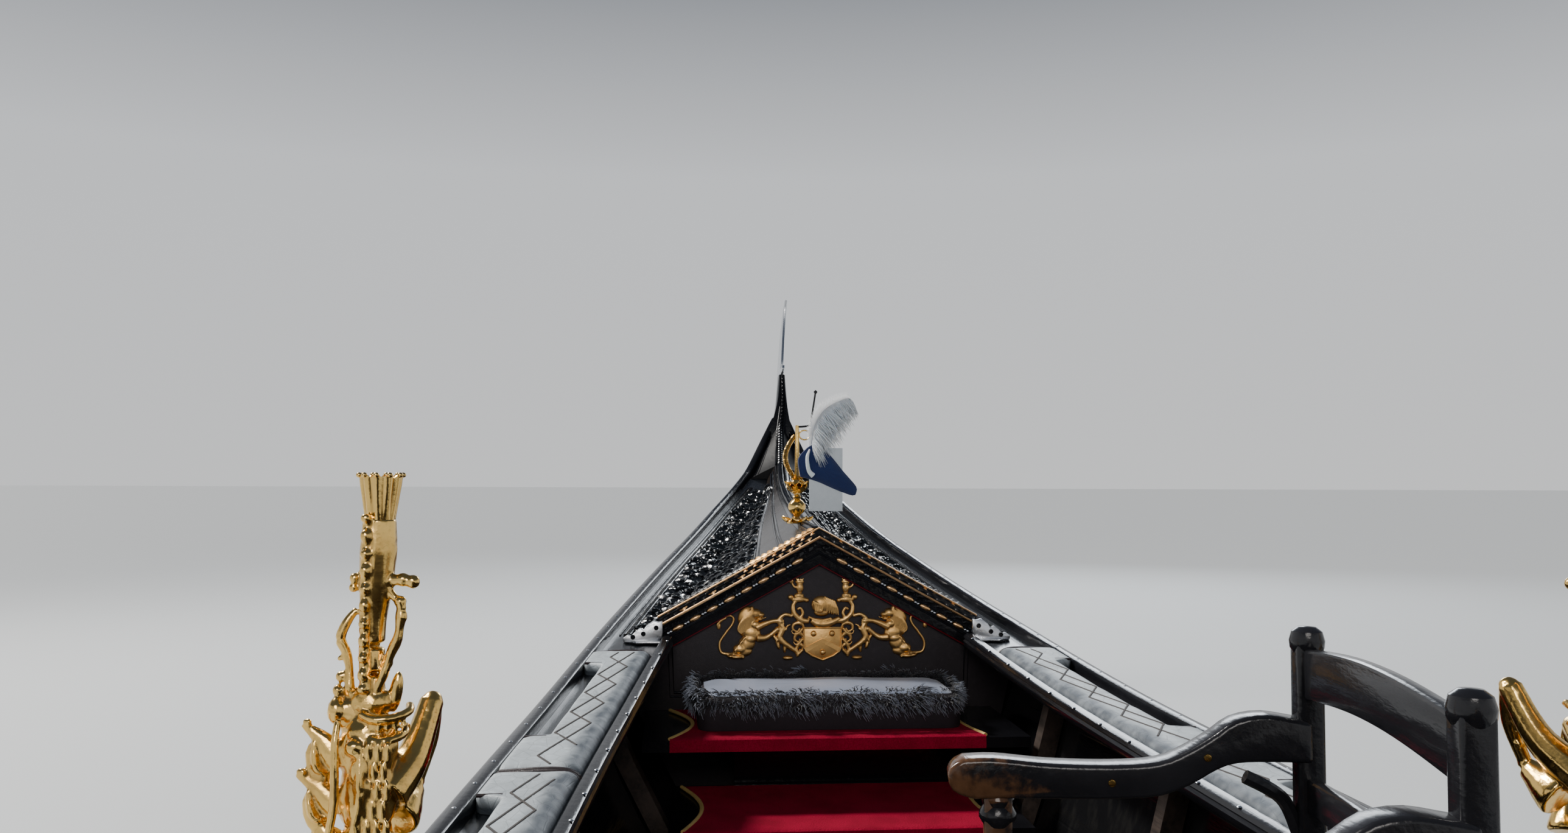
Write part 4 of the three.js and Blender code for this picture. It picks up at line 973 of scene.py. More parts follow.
def make_pad(side, row):
    """One leather pad, with its piping and its stitches."""
    part, start, stop, recess_from, recess_to, first = row
    recess = (recess_from, recess_to)
    lines = stitch_lines(side, first, start, stop, recess)
    low = lambda x: sheer(x) - COVER_DROP + FIT

    def top(x, y):
        """Height of the leather: full between the stitches and drawn down along them."""
        near = 1.0
        for (xa, ya), (xb, yb) in lines:
            dx, dy = xb - xa, yb - ya
            t = clip(((x - xa) * dx + (y - ya) * dy) / (dx * dx + dy * dy))
            near = min(near, hypot(x - xa - dx * t, y - ya - dy * t))
        ends = min(x - start, stop - x)
        puff = STITCH_PUFF * min(1, near / 0.022) ** 0.6
        ripple = 0.0007 * noise.noise((x * 9, y * 14, side))
        return low(x) + PAD_HIGH + puff - 0.01 * exp(-ends / 0.006) + ripple

    form = Form()
    rings = []
    for x in spaced(start, stop, 0.0105):
        inner, outer = cover_edge(x, side) + PAD_INSET, pad_outer(x, side, recess)
        base = low(x)
        ring = [(inner + 0.001, base), (outer - 0.001, base), (outer, base + 0.008), (outer, base + 0.02)]
        for t in np.linspace(0, 1, 18):
            y = lerp(outer - 0.002, inner + 0.024, t)
            ring.append((y, top(x, y) - 0.003 * exp(-(outer - y) / 0.004)))
        edge_top = top(x, inner + 0.024)
        for angle in (18, 36, 54, 72, 90):
            a = radians(angle)
            ring.append((inner + 0.024 - 0.0235 * sin(a), edge_top - 0.0185 * (1 - cos(a))))
        ring.append((inner, base + 0.005))
        rings.append([(x, side * y, z) for y, z in ring])
    form.skin(rings)
    name = f"leather_{SIDE_NAME[side]}_{part}"
    pad = form.piece(name, PAD_LEATHER, "pad_leather", [f"pad_{SIDE_NAME[side]}_{part}"], smooth=70)

    def shade(i, place):
        """Painted shade: dark along the pad's inner edge and low on its sides."""
        x, y = place.x, abs(place.y)
        into = y - cover_edge(x, side) - PAD_INSET
        cloud = noise.noise((x * 26, y * 40, 3.0)) * 0.35 + noise.noise((x * 80, y * 90, 8.0)) * 0.3
        dark = 1 - clip((into - 0.022 + 0.016 * noise.noise((x * 11, y * 9, 5.0))) / 0.022)
        return clip(dark * (0.86 + cloud) + (0.9 if place.z < low(x) + 0.014 else 0))

    # the shade attribute paints shade into the pad leather's colour
    per_point(pad, "shade", shade)

    trim = Form()
    for xe, tip in ((start, -1), (stop, 1)):
        inner, outer = cover_edge(xe, side) + PAD_INSET, pad_outer(xe, side, recess)
        path = [
            (xe + tip * 0.001, side * y, low(xe) + z)
            for y, z in (
                (outer - 0.002, 0.019), (lerp(outer, inner, 0.5), 0.0225), (inner + 0.03, 0.0215),
                (inner + 0.01, 0.015), (inner + 0.002, 0.005)
            )
        ]
        trim.rod(path, 0.005, 8)
    for xe, tip in ((recess_from, 1), (recess_to, -1)):
        outer = edge(xe, side) - WALE_WIDTH
        path = [(xe + tip * 0.004, side * (outer - y), low(xe) + PAD_HIGH) for y in (0.004, RECESS_WIDTH)]
        trim.rod(path, 0.003, 6)
    xs = spaced(start + 0.004, stop - 0.004, 0.03)
    trim.rod(
        [(x, side * (cover_edge(x, side) + 0.0035), low(x) + 0.0048) for x in xs], 0.0034, 6, count=len(xs)
    )
    trim.piece(f"piping_{SIDE_NAME[side]}_{part}", PIPING, "black_leather")

    thread = Form()
    places = []
    # a dark cord along each line of stitches: painted shadow in the stitches' groove
    for (xa, ya), (xb, yb) in lines:
        seam = [(lerp(xa, xb, t), side * lerp(ya, yb, t)) for t in np.linspace(0, 1, 12)]
        thread.sweep([(x, y, top(x, abs(y)) - 0.0006) for x, y in seam], circle_section(0.0028, 6))
    thread.finish = 1
    for (xa, ya), (xb, yb) in lines:
        length = hypot(xb - xa, yb - ya)
        ahead = Vector((xb - xa, side * (yb - ya), 0)) / length
        for s in spaced(0.004, length - 0.004, STITCH_STEP):
            x, y = xa + ahead.x * s, ya + (yb - ya) / length * s
            slope = (top(x + 0.004, y) - top(x - 0.004, y)) / 0.008
            places.append(
                facing((x, side * y, top(x, y) + 0.0003), (ahead.x, ahead.y, slope * ahead.x), (0, 0, 1))
            )
    thread.repeat(small_ball(6, 5, 1, (0.003, 0.0012, 0.0014)), places)
    thread.piece(f"stitches_{SIDE_NAME[side]}_{part}", [SEAM_SHADOW, THREAD], "pad_leather")


for side in SIDE_NAME:
    for row in PADS:
        make_pad(side, row)


# Foredeck: relief, strips, ridge and rope
FIELD_EDGE = 0.07
LEAF = 0.05


def deck_point(x, side, share, lift=0.0):
    """A point on a foredeck panel: share runs from the side deck, 0, to the ridge, 1."""
    outer, low = cover_edge(x, side) - FIT, sheer(x) - DECK_DROP
    inner, high = side * mid_line(x) + 0.0264, ridge_top(x) - 0.012
    normal = Vector((0, high - low, outer - inner)).normalized()
    y, z = lerp(outer, inner, share), lerp(low, high, share)
    return Vector((x, side * (y + normal.y * lift), z + normal.z * lift))


def cover_point(x, side, share, lift=0.0):
    """A point on the side deck beside the foredeck: share runs from the beaded line, 0, to the panel, 1."""
    y = lerp(edge(x, side) - FIELD_EDGE, cover_edge(x, side), share)
    return Vector((x, side * y, sheer(x) - COVER_DROP + lift))


def surface_frame(point, x, side, share):
    """Directions forward, towards the ridge, and up from a deck's surface."""
    ahead = (point(x + 0.02, side, share) - point(x - 0.02, side, share)).normalized()
    across = (point(x, side, 1) - point(x, side, 0)).normalized()
    up = ahead.cross(across).normalized()
    return ahead, across, up if up.z > 0 else -up


def leaf_shape(lobes=3, curl=0.35):
    """An acanthus leaf, 1 long along x: a ridged blade with lobed edges and a curled tip."""
    shape = bmesh.new()
    bmesh.ops.create_grid(shape, x_segments=8, y_segments=4, size=0.5)
    for v in shape.verts:
        t = v.co.x + 0.5
        side = v.co.y * 2
        lobe = 0.75 + 0.25 * abs(cos(pi * lobes * t))
        width = 0.3 * sin(pi * min(1, 0.12 + 0.9 * t)) ** 0.8 * lobe
        ridge = 0.16 * (1 - abs(side)) ** 1.3 + 0.03 * cos(pi * lobes * 2 * t) * abs(side)
        lift = ridge * sin(pi * (0.1 + 0.85 * t)) + curl * max(0, t - 0.72) ** 1.2
        v.co = Vector((t, side * width + 0.14 * sin(2.6 * t), lift - 0.02 * abs(side)))
    rim = bmesh.ops.extrude_edge_only(shape, edges=[e for e in shape.edges if e.is_boundary])["geom"]
    for v in rim:
        if isinstance(v, bmesh.types.BMVert):
            v.co.z -= 0.12
    bmesh.ops.holes_fill(shape, edges=[e for e in shape.edges if e.is_boundary], sides=0)
    bmesh.ops.recalc_face_normals(shape, faces=shape.faces)
    return shape


def scroll_shape():
    """A small volute: a tapering round bar wound in a spiral, 1 across."""
    shape = Form()
    points = []
    for i in range(13):
        angle = 0.72 * i
        reach = 0.46 * (1 - i / 16.4)
        points.append((reach * cos(angle), reach * sin(angle), 0.08 + 0.014 * i))
    shape.sweep(points, circle_section(0.085, 5), scale=[1 - 0.041 * i for i in range(13)])
    shape.blob((0.02, -0.02, 0.22), (0.12, 0.12, 0.09), detail=1)
    return shape.mesh


def relief_places(point, side, start, stop, near, far, size):
    """Places for leaves and scrolls over a panel's field, in staggered rows."""
    leaves, scrolls = [], []
    x = start
    row = 0
    while x < stop:
        width = (point(x, side, near) - point(x, side, far)).length
        count = round(width / (size * 0.6))
        for k in range(count):
            share = lerp(near, far, (k + 0.5 + 0.22 * random.uniform(-1, 1)) / count)
            at = x + random.uniform(-0.3, 0.3) * size
            ahead, across, up = surface_frame(point, at, side, share)
            turn = random.choice((-1, 1)) * random.uniform(0.25, 1.25) + (
                pi if random.random() < 0.3 else 0
            )
            direction = ahead * cos(turn) + across * sin(turn)
            big = size * random.uniform(0.8, 1.25)
            place = point(at, side, share, 0.0006)
            if (row + k) % 4 == 1:
                scrolls.append(facing(place, direction, up, big * 0.85))
            else:
                leaves.append(facing(place - direction * big * 0.5, direction, up, big))
        x += size * 0.5
        row += 1
    return leaves, scrolls


def carved_panel(side):
    """One half of the foredeck, with its relief, strips and beads."""
    form = Form()
    xs = spaced(2.88, 4.9996, 0.06)
    form.skin([[
        deck_point(x, side, 0), deck_point(x, side, 0.5), deck_point(x, side, 1),
        deck_point(x, side, 1, -0.016), deck_point(x, side, 0.5, -0.016), deck_point(x, side, 0, -0.016),
    ] for x in xs])
    far = 0.6 if side == PORT else 0.74
    form.finish = 1
    for point, near, last in ((deck_point, 0.02, far), (cover_point, 0.12, 0.96)):
        leaves, scrolls = relief_places(point, side, 2.93, 4.86, near, last, LEAF)
        form.repeat(leaf_shape(), leaves)
        form.repeat(scroll_shape(), scrolls)
    form.finish = 2
    for share, radius in ((far + 0.014, 0.003), (far + 0.042, 0.0045), (0.82, 0.003), (0.85, 0.004)):
        form.sweep([deck_point(x, side, share, radius * 0.4) for x in spaced(2.885, 4.96, 0.05)], radius)
    for share, radius in ((-0.22, 0.0022), (-0.1, 0.0036), (0.04, 0.0036)):
        form.sweep([cover_point(x, side, share, radius * 0.4) for x in spaced(2.885, 4.9, 0.05)], radius)
    beads = [
        facing(cover_point(x, side, -0.03, 0.0024), (1, 0, 0.1), (0, 0, 1))
        for x in spaced(2.89, 4.88, 0.0105)
    ]
    form.repeat(nail_head(0.004, 0.9), beads)
    form.piece(
        "carved_deck_" + SIDE_NAME[side], [POLISHED, CARVED, LACQUER], "black_lacquer",
        ["foredeck_" + SIDE_NAME[side]]
    )


for side in SIDE_NAME:
    carved_panel(side)

ROPE_RADIUS = 0.0065
ROPE_PITCH = 0.055

ridge = Form()
ridge_xs = spaced(2.8564, 4.9996, 0.05)
ridge.skin([[
    (x, mid_line(x) - 0.026, ridge_top(x) - 0.03), (x, mid_line(x) + 0.026, ridge_top(x) - 0.03),
    (x, mid_line(x) + 0.026, ridge_top(x) - 0.01), (x, mid_line(x) + 0.019, ridge_top(x) - 0.003),
    (x, mid_line(x) + 0.008, ridge_top(x) - 0.003), (x, mid_line(x) - 0.008, ridge_top(x) - 0.003),
    (x, mid_line(x) - 0.019, ridge_top(x) - 0.003), (x, mid_line(x) - 0.026, ridge_top(x) - 0.01),
] for x in ridge_xs])
rope_xs = spaced(2.9, 4.99, 0.006)
for strand in range(3):
    path = []
    for x in rope_xs:
        angle = 2 * pi * strand / 3 + x * 2 * pi / ROPE_PITCH
        path.append(
            (x, mid_line(x) + ROPE_RADIUS * cos(angle), ridge_top(x) + 0.001 + ROPE_RADIUS * sin(angle))
        )
    ridge.sweep(path, circle_section(0.0062, 6))
for off in (-0.018, 0.018):
    ridge.sweep(
        [(x, mid_line(x) + off, ridge_top(x) - 0.002) for x in spaced(2.87, 4.99, 0.05)],
        circle_section(0.0026, 6)
    )
ridge.piece("ridge_rope", LACQUER, "black_lacquer", ["foredeck_ridge"])

# The rope's way on over the breasthook and up the stem
head = Form()
rise = [
    (5.0, mid_line(5.0), ridge_top(5.0)), (5.12, 0.0251, 1.079), (5.2, 0.0186, 1.149),
    (5.238, 0.012, 1.193), (5.262, 0.005, 1.244), (5.284, 0.0, 1.3), (5.304, 0.0, 1.37), (5.316, 0.0, 1.414)
]
spine = along(rise, 150)
for strand in range(3):
    path = []
    for i, p in enumerate(spine):
        angle = 2 * pi * strand / 3 + i * 0.42
        slim = lerp(1, 0.45, i / 149)
        path.append(
            (
                p.x - 0.0045 * slim * sin(angle) - 0.003 * slim, p.y + 0.0065 * slim * cos(angle),
                p.z + 0.005 * slim * sin(angle)
            )
        )
    head.sweep(path, circle_section(0.006, 6), scale=list(np.linspace(1, 0.45, 150)))
for sign in (-1, 1):
    head.sweep(
        [
            (p.x - 0.001, p.y + sign * lerp(0.02, 0.007, i / 149), p.z - 0.002) for i, p in enumerate(spine)
        ][::5],
        0.004, scale=list(np.linspace(1, 0.5, 30))
    )
head.piece("stem_rope", LACQUER, "black_lacquer")

# Gable: cornice with its beads, frieze, and the panel's frame
GABLE_Y = 0.11
HALF = 0.415
APEX_Z = ridge_top(GABLE_X) + 0.008
FOOT_Z = sheer(GABLE_X) + 0.027


def slope_point(u, drop, x):
    """A point down one slope of the gable: u from -1 at the port foot to 1 at the starboard foot."""
    return Vector((x, GABLE_Y - u * HALF, lerp(APEX_Z, FOOT_Z, abs(u)) - drop))


def slope_band(form, top, low, front, back, reach=1.0):
    """A flat moulding that follows both slopes, mitred at the apex."""
    corners = ((top, back), (top, front), (low, front), (low, back))
    form.skin([[slope_point(u, drop, x) for drop, x in corners] for u in (-reach, 0, reach)])


cornice = Form()
FACE = GABLE_X - FIT
slope_band(cornice, 0.006, 0.086, FACE - 0.014, FACE, 0.985)
slope_band(cornice, 0.021, 0.046, FACE - 0.017, FACE - 0.012)
cornice.skin([[
    slope_point(u, -0.001, FACE), slope_point(u, -0.001, FACE - 0.002),
    slope_point(u, 0.021, FACE - 0.0205), slope_point(u, 0.024, FACE - 0.01), slope_point(u, 0.024, FACE),
] for u in (-0.995, 0, 0.995)])
for drop, radius, out in ((0.044, 0.0035, 0.016), (0.061, 0.003, 0.0155), (0.066, 0.0022, 0.015)):
    cornice.sweep([slope_point(u, drop, FACE - out) for u in (-0.99, 0, 0.99)], radius, up=(1, 0, 0))
slope_band(cornice, 0.069, 0.09, FACE - 0.019, FACE - 0.013, 0.97)
small, gilt_and_lit_leaves = [], []
for sign in (-1, 1):
    ahead = (slope_point(sign, 0, 0) - slope_point(0, 0, 0)).normalized()
    for k, t in enumerate(spaced(0.04, 0.96, 0.03)):
        way = ahead * (1 if k % 2 else -1)
        rise = 0.003 if k % 2 else -0.003
        here = slope_point(sign * t, 0.034 + rise, FACE - 0.0172) - way * 0.013
        small.append(facing(here, way + Vector((0, 0, 0.3 * rise / 0.003)), (-1, 0, 0.5), 0.027))
        here = slope_point(sign * t, 0.011, FACE - 0.0115) - way * 0.012
        # gilded on the port slope near the apex as painted light falling from port, and every sixth leaf
        # gilded on both slopes
        gilt_and_lit_leaves.append((sign < 0 and t < 0.5 or k % 6 == 3, facing(here, way, (-0.72, 0, 0.7), 0.025)))
cornice.repeat(leaf_shape(2, 0.2), small)
cornice.repeat(leaf_shape(2, 0.3), [place for bright, place in gilt_and_lit_leaves if not bright])
cornice.finish = 1
cornice.repeat(leaf_shape(2, 0.3), [place for bright, place in gilt_and_lit_leaves if bright])
for drop, out, radius in ((0.0, 0.0015, 0.0032), (0.0225, 0.02, 0.0036)):
    cornice.sweep([slope_point(u, drop, FACE - out) for u in (-1, 0, 1)], radius, up=(1, 0, 0))
ovals, beads = [], []
slant = hypot(HALF, APEX_Z - FOOT_Z)
for sign in (-1, 1):
    ahead = slope_point(sign, 0, 0) - slope_point(0, 0, 0)
    for s in np.arange(0.066, slant - 0.012, 0.0497):
        here = slope_point(sign * s / slant, 0.0535, FACE - 0.0165)
        ovals.append(facing(here, ahead, (-1, 0, 0), 1, (0.0165, 0.007, 0.0056)))
        for off in (0.0205, 0.0285):
            if s + off < slant - 0.01:
                here = slope_point(sign * (s + off) / slant, 0.0535, FACE - 0.016)
                beads.append(facing(here, ahead, (-1, 0, 0), 0.0042))
cornice.repeat(small_ball(12, 10), ovals)
cornice.finish = 2
cornice.repeat(small_ball(8, 6), beads)
cornice.finish = 3
cornice.sweep([slope_point(u, 0.0925, FACE - 0.0125) for u in (-0.96, 0, 0.96)], 0.0022, up=(1, 0, 0))
cornice.piece("gable_cornice", [LACQUER, COPPER_GILDING, SILVER, RED_LINE], "black_lacquer", ["cornice"])

frieze = Form()
places = []
for sign in (-1, 1):
    for t in spaced(0.03, 0.9, 0.036):
        here = slope_point(sign * t, -0.004, FACE + 0.012)
        ahead = slope_point(sign, 0, 0) - slope_point(0, 0, 0)
        leaf = facing(here, (0.75, ahead.y * 0.4, ahead.z * 0.4), (0, -sign * 0.45, 1), 0.04)
        # leaves on the port slope near the apex are gilded as painted light falling from port
        places.append((sign < 0 and t < 0.42, leaf))
frieze.repeat(leaf_shape(3, 0.5), [p for gilded_where_lit, p in places if not gilded_where_lit])
frieze.finish = 1
frieze.repeat(leaf_shape(3, 0.5), [p for gilded_where_lit, p in places if gilded_where_lit])
frieze.piece("gable_frieze", [CARVED, GILDING], "black_lacquer")

panel_trim = Form()
for grow, radius in ((0.0, 0.0036), (0.01, 0.0022)):
    corners = [
        (0.4825 + grow, 0.394 - grow), (0.4895 + grow, 0.553 + grow * 0.4), (0.103, 0.738 + grow),
        (-0.2745 - grow, 0.549 + grow * 0.4), (-0.269 - grow, 0.39 - grow),
    ]
    panel_trim.sweep([(FACE - 0.001, y, z) for y, z in corners], radius, up=(1, 0, 0), closed=True)
panel_trim.piece("panel_frame", LACQUER, "black_lacquer")


# Gilded crest: two lions beside a shield under a helmet, in millimetres
CREST_Y = 0.1005
CREST_Z = 0.47


def crest_point(u, v, out=0.004):
    """u millimetres to port of the crest's middle and v above its foot."""
    return (GABLE_X - 0.0006 - out, CREST_Y + u * 0.001, CREST_Z + v * 0.001)


def crest_rod(form, points, radius, scale=None, out=0.004):
    form.rod([crest_point(u, v, out) for u, v in points], radius * 0.001, 8, scale, up=(-1, 0, 0))


def crest_lump(form, u, v, across, high, deep=9, out=3, turn=0):
    form.blob(crest_point(u, v, out * 0.001), (deep * 0.001, across * 0.001, high * 0.001), (turn, 0, 0), 3)


def crest_lion(form):
    """One lion: tail, haunch, body, head with its mane, and paws, over a scroll."""
    crest_rod(
        form,
        [
            (238, 20), (262, 26), (266, 50), (250, 76), (234, 97), (231, 112), (241, 119), (257, 113),
            (266, 103)
        ],
        3.6, [1.5, 1, 0.9, 0.9, 0.9, 0.9, 1.1]
    )
    for row in (
        (268, 93, 5, 9, 6), (207, 28, 25, 14, 9), (196, 48, 22, 20, 11, 3, -20),
        (184, 74, 24, 20, 12, 3, 15), (228, 20, 13, 6, 7), (195, 112, 25, 31, 11), (206, 86, 13, 20, 9),
        (174, 124, 14, 13, 12, 5), (161, 121, 10, 7, 10, 5), (163, 110, 8, 4, 9, 4), (184, 138, 5, 6, 7, 6)
    ):
        crest_lump(form, *row)
    crest_rod(form, [(162, 115), (152, 112), (146, 115)], 2.0, [1, 0.6])
    for i in range(9):
        lean = i * 4.2
        crest_rod(
            form,
            [
                (182 + lean * 0.7, 138 - lean * 0.6), (186 + lean, 118 - lean),
                (190 + lean * 0.6, 96 - lean * 0.7), (183 + lean * 0.9, 84 - lean * 0.3)
            ],
            3.0, [0.7, 1.2, 0.8, 0.4], out=0.011
        )
    crest_rod(form, [(172, 88), (150, 98), (132, 104), (114, 106)], 8.5, [1.2, 0.95, 0.7, 0.75], out=0.006)
    crest_lump(form, 110, 104, 9, 7, 8, 6)
    crest_rod(form, [(170, 62), (150, 62), (135, 70), (121, 81)], 8.5, [1.3, 1.0, 0.7, 0.8], out=0.007)
    crest_lump(form, 117, 84, 8, 7, 8, 6)
    for k in range(3):
        crest_rod(form, [(106 - k, 108 - 4 * k), (101, 106 - 5 * k)], 2.4, out=0.009)
    crest_rod(
        form,
        [(79, 117), (99, 121), (114, 106), (104, 86), (112, 64), (101, 50), (84, 38), (68, 26), (64, 13)],
        6.0, [0.8, 0.9, 1.1, 1.3, 1.4, 1.2, 1.0, 0.7], out=0.006
    )
    crest_lump(form, 90, 10, 14, 6, 9)
    for k, (u, v) in enumerate(((122, 60), (116, 44), (98, 36))):
        crest_lump(form, u, v, 5, 13, 6, 4, turn=-35 + 20 * k)


def crest_mantling(form):
    """Leafy curls between the shield and the lion, and tufts on the lion."""
    for k in range(3):
        v, far = 92 - 27 * k, 78 - 5 * k
        crest_rod(
            form,
            [(48, v - 4), (58, v + 7), (far - 4, v + 5), (far, v - 8), (far - 12, v - 14), (60, v - 5)],
            4.2, [0.6, 1.3, 1.2, 0.9, 0.7, 0.5], out=0.006
        )
        crest_rod(
            form, [(52, v - 6), (62, v - 18), (far - 2, v - 20), (far + 4, v - 12)], 3.6,
            [1.2, 1.1, 0.7, 0.3], out=0.008
        )
    for k in range(4):
        crest_rod(
            form, [(84 + 9 * k, 96 - 12 * k), (92 + 9 * k, 92 - 12 * k), (94 + 9 * k, 82 - 12 * k)], 3.0,
            [0.6, 1.1, 0.4], out=0.009
        )
        crest_rod(
            form, [(198 + 7 * k, 66 - 9 * k), (206 + 7 * k, 58 - 9 * k), (203 + 7 * k, 48 - 9 * k)], 2.6,
            [0.5, 1.1, 0.4], out=0.012
        )
    for u, v, across, high in (
        (188, 60, 17, 12), (214, 34, 18, 13), (176, 96, 13, 12), (222, 14, 20, 6), (238, 16, 9, 5)
    ):
        crest_lump(form, u, v, across, high, 12, 4)
    for k in range(4):
        crest_lump(form, 206 + 9 * k, 12, 4, 4, 8, 4)
    crest_rod(form, [(250, 112), (262, 108), (272, 96), (270, 84)], 3.4, [0.5, 1.3, 1.1, 0.3], out=0.006)


def crest_finial(form):
    """The curl and torch beside the helmet."""
    crest_rod(
        form, [(36, 104), (56, 108), (74, 124), (77, 145), (66, 160)], 7.0, [1.0, 1.1, 1.0, 0.8, 0.7],
        out=0.006
    )
    crest_rod(form, [(60, 112), (52, 124), (58, 138), (66, 134)], 4.5, [1.0, 0.9, 0.7], out=0.008)
    for row in ((62, 160, 22, 8, 9), (62, 170, 13, 7, 8), (60, 190, 10, 14, 9), (60, 205, 12, 6, 7)):
        crest_lump(form, *row)
    for u in (50, 57, 64, 70):
        crest_rod(form, [(60, 203), (u, 214)], 2.5, [1, 0.7], out=0.006)
    crest_rod(form, [(66, 190), (76, 194), (82, 206)], 3.5, [1, 0.8], out=0.006)
    for row in ((83, 208, 7, 7, 7, 5), (84, 166, 7, 7, 7, 5), (42, 158, 6, 6, 7, 5)):
        crest_lump(form, *row)


def make_crest():
    """Mirrored halves, the helmet and the scroll between them, and the shield."""
    halves = []
    for sign in (1, -1):
        middle = Matrix.Translation((0, CREST_Y, 0))
        half = Form(middle @ Matrix.Diagonal((1, sign, 1, 1)) @ middle.inverted())
        crest_lion(half)
        crest_mantling(half)
        crest_finial(half)
        halves.append(half)
    whole = halves[0]
    data = bpy.data.meshes.new("other")
    bmesh.ops.reverse_faces(halves[1].mesh, faces=halves[1].mesh.faces)
    halves[1].mesh.to_mesh(data)
    halves[1].mesh.free()
    whole.mesh.from_mesh(data)
    bpy.data.meshes.remove(data)
    for u, v, across, high, deep in ((3, 146, 27, 23, 13), (3, 126, 20, 10, 10), (-26, 140, 12, 20, 9)):
        crest_lump(whole, u, v, across, high, deep)
    for k in range(5):
        crest_rod(whole, [(26 - 3 * k, 158 - 2 * k), (22 - 5 * k, 142), (20 - 4 * k, 128)], 1.8, out=0.0145)
    for k in range(6):
        crest_rod(
            whole, [(-4 - 5 * k, 168 - 2 * k), (-12 - 5 * k, 150 - 3 * k), (-10 - 6 * k, 124 - k)], 3.0,
            [0.6, 1.1, 0.5], out=0.012
        )
    crest_rod(
        whole, [(30, 106), (14, 98), (-8, 97), (-30, 104), (-44, 112)], 9.0, [0.8, 1.1, 1.1, 1.0, 0.7],
        out=0.007
    )
    crest_rod(whole, [(38, 116), (20, 108), (0, 106), (-22, 112)], 5.0, [0.6, 1.0, 0.6], out=0.01)
    crest = whole.piece("gilded_crest", GILDING, "gilding", ["crest"])
    melt(crest, 0.0015, 1, 0.5)

    shield = Form()
    outline = [(51, 89), (51, 42), (46, 26), (30, 14), (0, 2), (-30, 14), (-46, 26), (-51, 42), (-51, 89)]
    rows = [(CREST_Y + u * 0.001, CREST_Z + v * 0.001) for u, v in outline]
    shield.slab(rows, 0.004, Matrix.Translation((GABLE_X - 0.0064, 0, 0)) @ CROSSWISE, 0.0012)
    rim = [crest_point(u * 0.95, 46 + (v - 46) * 0.95, 0.007) for u, v in outline]
    shield.sweep(rim, 0.0026, up=(-1, 0, 0), closed=True)
    chevron = [crest_point(u, 30 + 24 * (1 - abs(u) / 46), 0.0078) for u in (-46, 0, 46)]
    shield.sweep(
        chevron, [(-0.006, -0.002), (0.006, -0.002), (0.006, 0.002), (-0.006, 0.002)], up=(-1, 0, 0)
    )
    for u, v in ((-24, 72), (24, 72), (0, 24)):
        shield.blob(crest_point(u, v, 0.0068), (0.0055, 0.008, 0.008), detail=2)
    shield.piece("crest_shield", GILDING, "gilding")


make_crest()


# Seat ahead: carpets and the fringed cushion
SHELVES = [
    # name, from, to, top, carpet to port, cove, carpet to starboard, cove
    ("thwart", 2.476, 2.846, 0.352, 0.49, 0.055, 0.232, 0.028),
    ("step", 2.29, 2.69, 0.2, 0.46, 0.045, 0.228, 0.026),
]


CARPET_LIP = 0.023


def make_carpet(row):
    """A carpet on a shelf: its ends curve inwards and its front edge turns down."""
    name, start, stop, top, port_end, port_cove, star_end, star_cove = row
    stop -= 0.03
    low, high = top + FIT, top + 0.0062

    def side_y(x, side):
        t = (x - start) / (stop - start)
        far, cove = (port_end, port_cove) if side == PORT else (star_end, star_cove)
        return side * (far - sin(pi * t) * cove)

    form = Form()
    rings = []
    a, b = side_y(start, STARBOARD), side_y(start, PORT)
    ys = [lerp(a, b, t) for t in np.linspace(0, 1, 26)]
    for inside, outside in (
        (top - CARPET_LIP, top - CARPET_LIP), (top - 0.012, top - 0.012), (top - 0.001, high - 0.003)
    ):
        reach = 0.0058 if inside == outside else 0.0044
        wave = [(start - reach + 0.0006 * noise.noise((y * 19, outside * 30, 2.0)), y, outside) for y in ys]
        rings.append([(start - FIT, y, inside) for y in (a, lerp(a, b, 0.5), b)] + wave[::-1])
    for x in spaced(start + 0.001, stop, 0.0155):
        a, b = side_y(x, STARBOARD), side_y(x, PORT)
        ys = [lerp(a, b, t) for t in np.linspace(0, 1, 26)]
        upper = [(x, y, high + 0.0007 * noise.noise((x * 23, y * 23, top))) for y in ys]
        rings.append([(x, y, low) for y in (a, lerp(a, b, 0.5), b)] + upper[::-1])
    form.skin(rings)
    cloth = form.piece(name + "_red_carpet", CARPET, "red_carpet", [name + "_carpet"], smooth=50)
    area = CARPET_LIP * (port_end + star_end)
    area += sum(
        (stop - start) / 40 * (side_y(x, PORT) - side_y(x, STARBOARD)) for x in np.linspace(start, stop, 40)
    )

    trim = Form()
    for side in SIDE_NAME:
        path = [
            (x, side_y(x, side) + side * 0.0015, high - 0.001) for x in spaced(start + 0.004, stop, 0.012)
        ]
        trim.sweep(path, circle_section(0.0042, 8, 1.2))
    edging = trim.piece(name + "_edging", EDGING, "red_carpet")


for row in SHELVES:
    make_carpet(row)

POUF_LOW = 0.3588
POUF_ENDS = (2.548, 2.8)
POUF_SIDES = (-0.195, 0.425)
POUF_CORNER = 0.035
pouf = Form()


def pouf_ring(grow, z, corner=POUF_CORNER):
    """The cushion's outline at a height, with round corners, grown by a distance."""
    ring = []
    for sx, sy, start in ((1, 1, 0), (-1, 1, 90), (-1, -1, 180), (1, -1, 270)):
        ox, oy = POUF_ENDS[sx > 0] - sx * (corner - grow), POUF_SIDES[sy > 0] - sy * (corner - grow)
        for k in range(7):
            a = radians(start + 15 * k)
            ring.append((ox + corner * cos(a), oy + corner * sin(a), z))
    out = []
    for i, p in enumerate(ring):
        q = ring[(i + 1) % len(ring)]
        gap = hypot(q[0] - p[0], q[1] - p[1])
        steps = max(1, int(gap / 0.03))
        for k in range(steps):
            t = k / steps
            out.append((lerp(p[0], q[0], t), lerp(p[1], q[1], t), z))
    return out


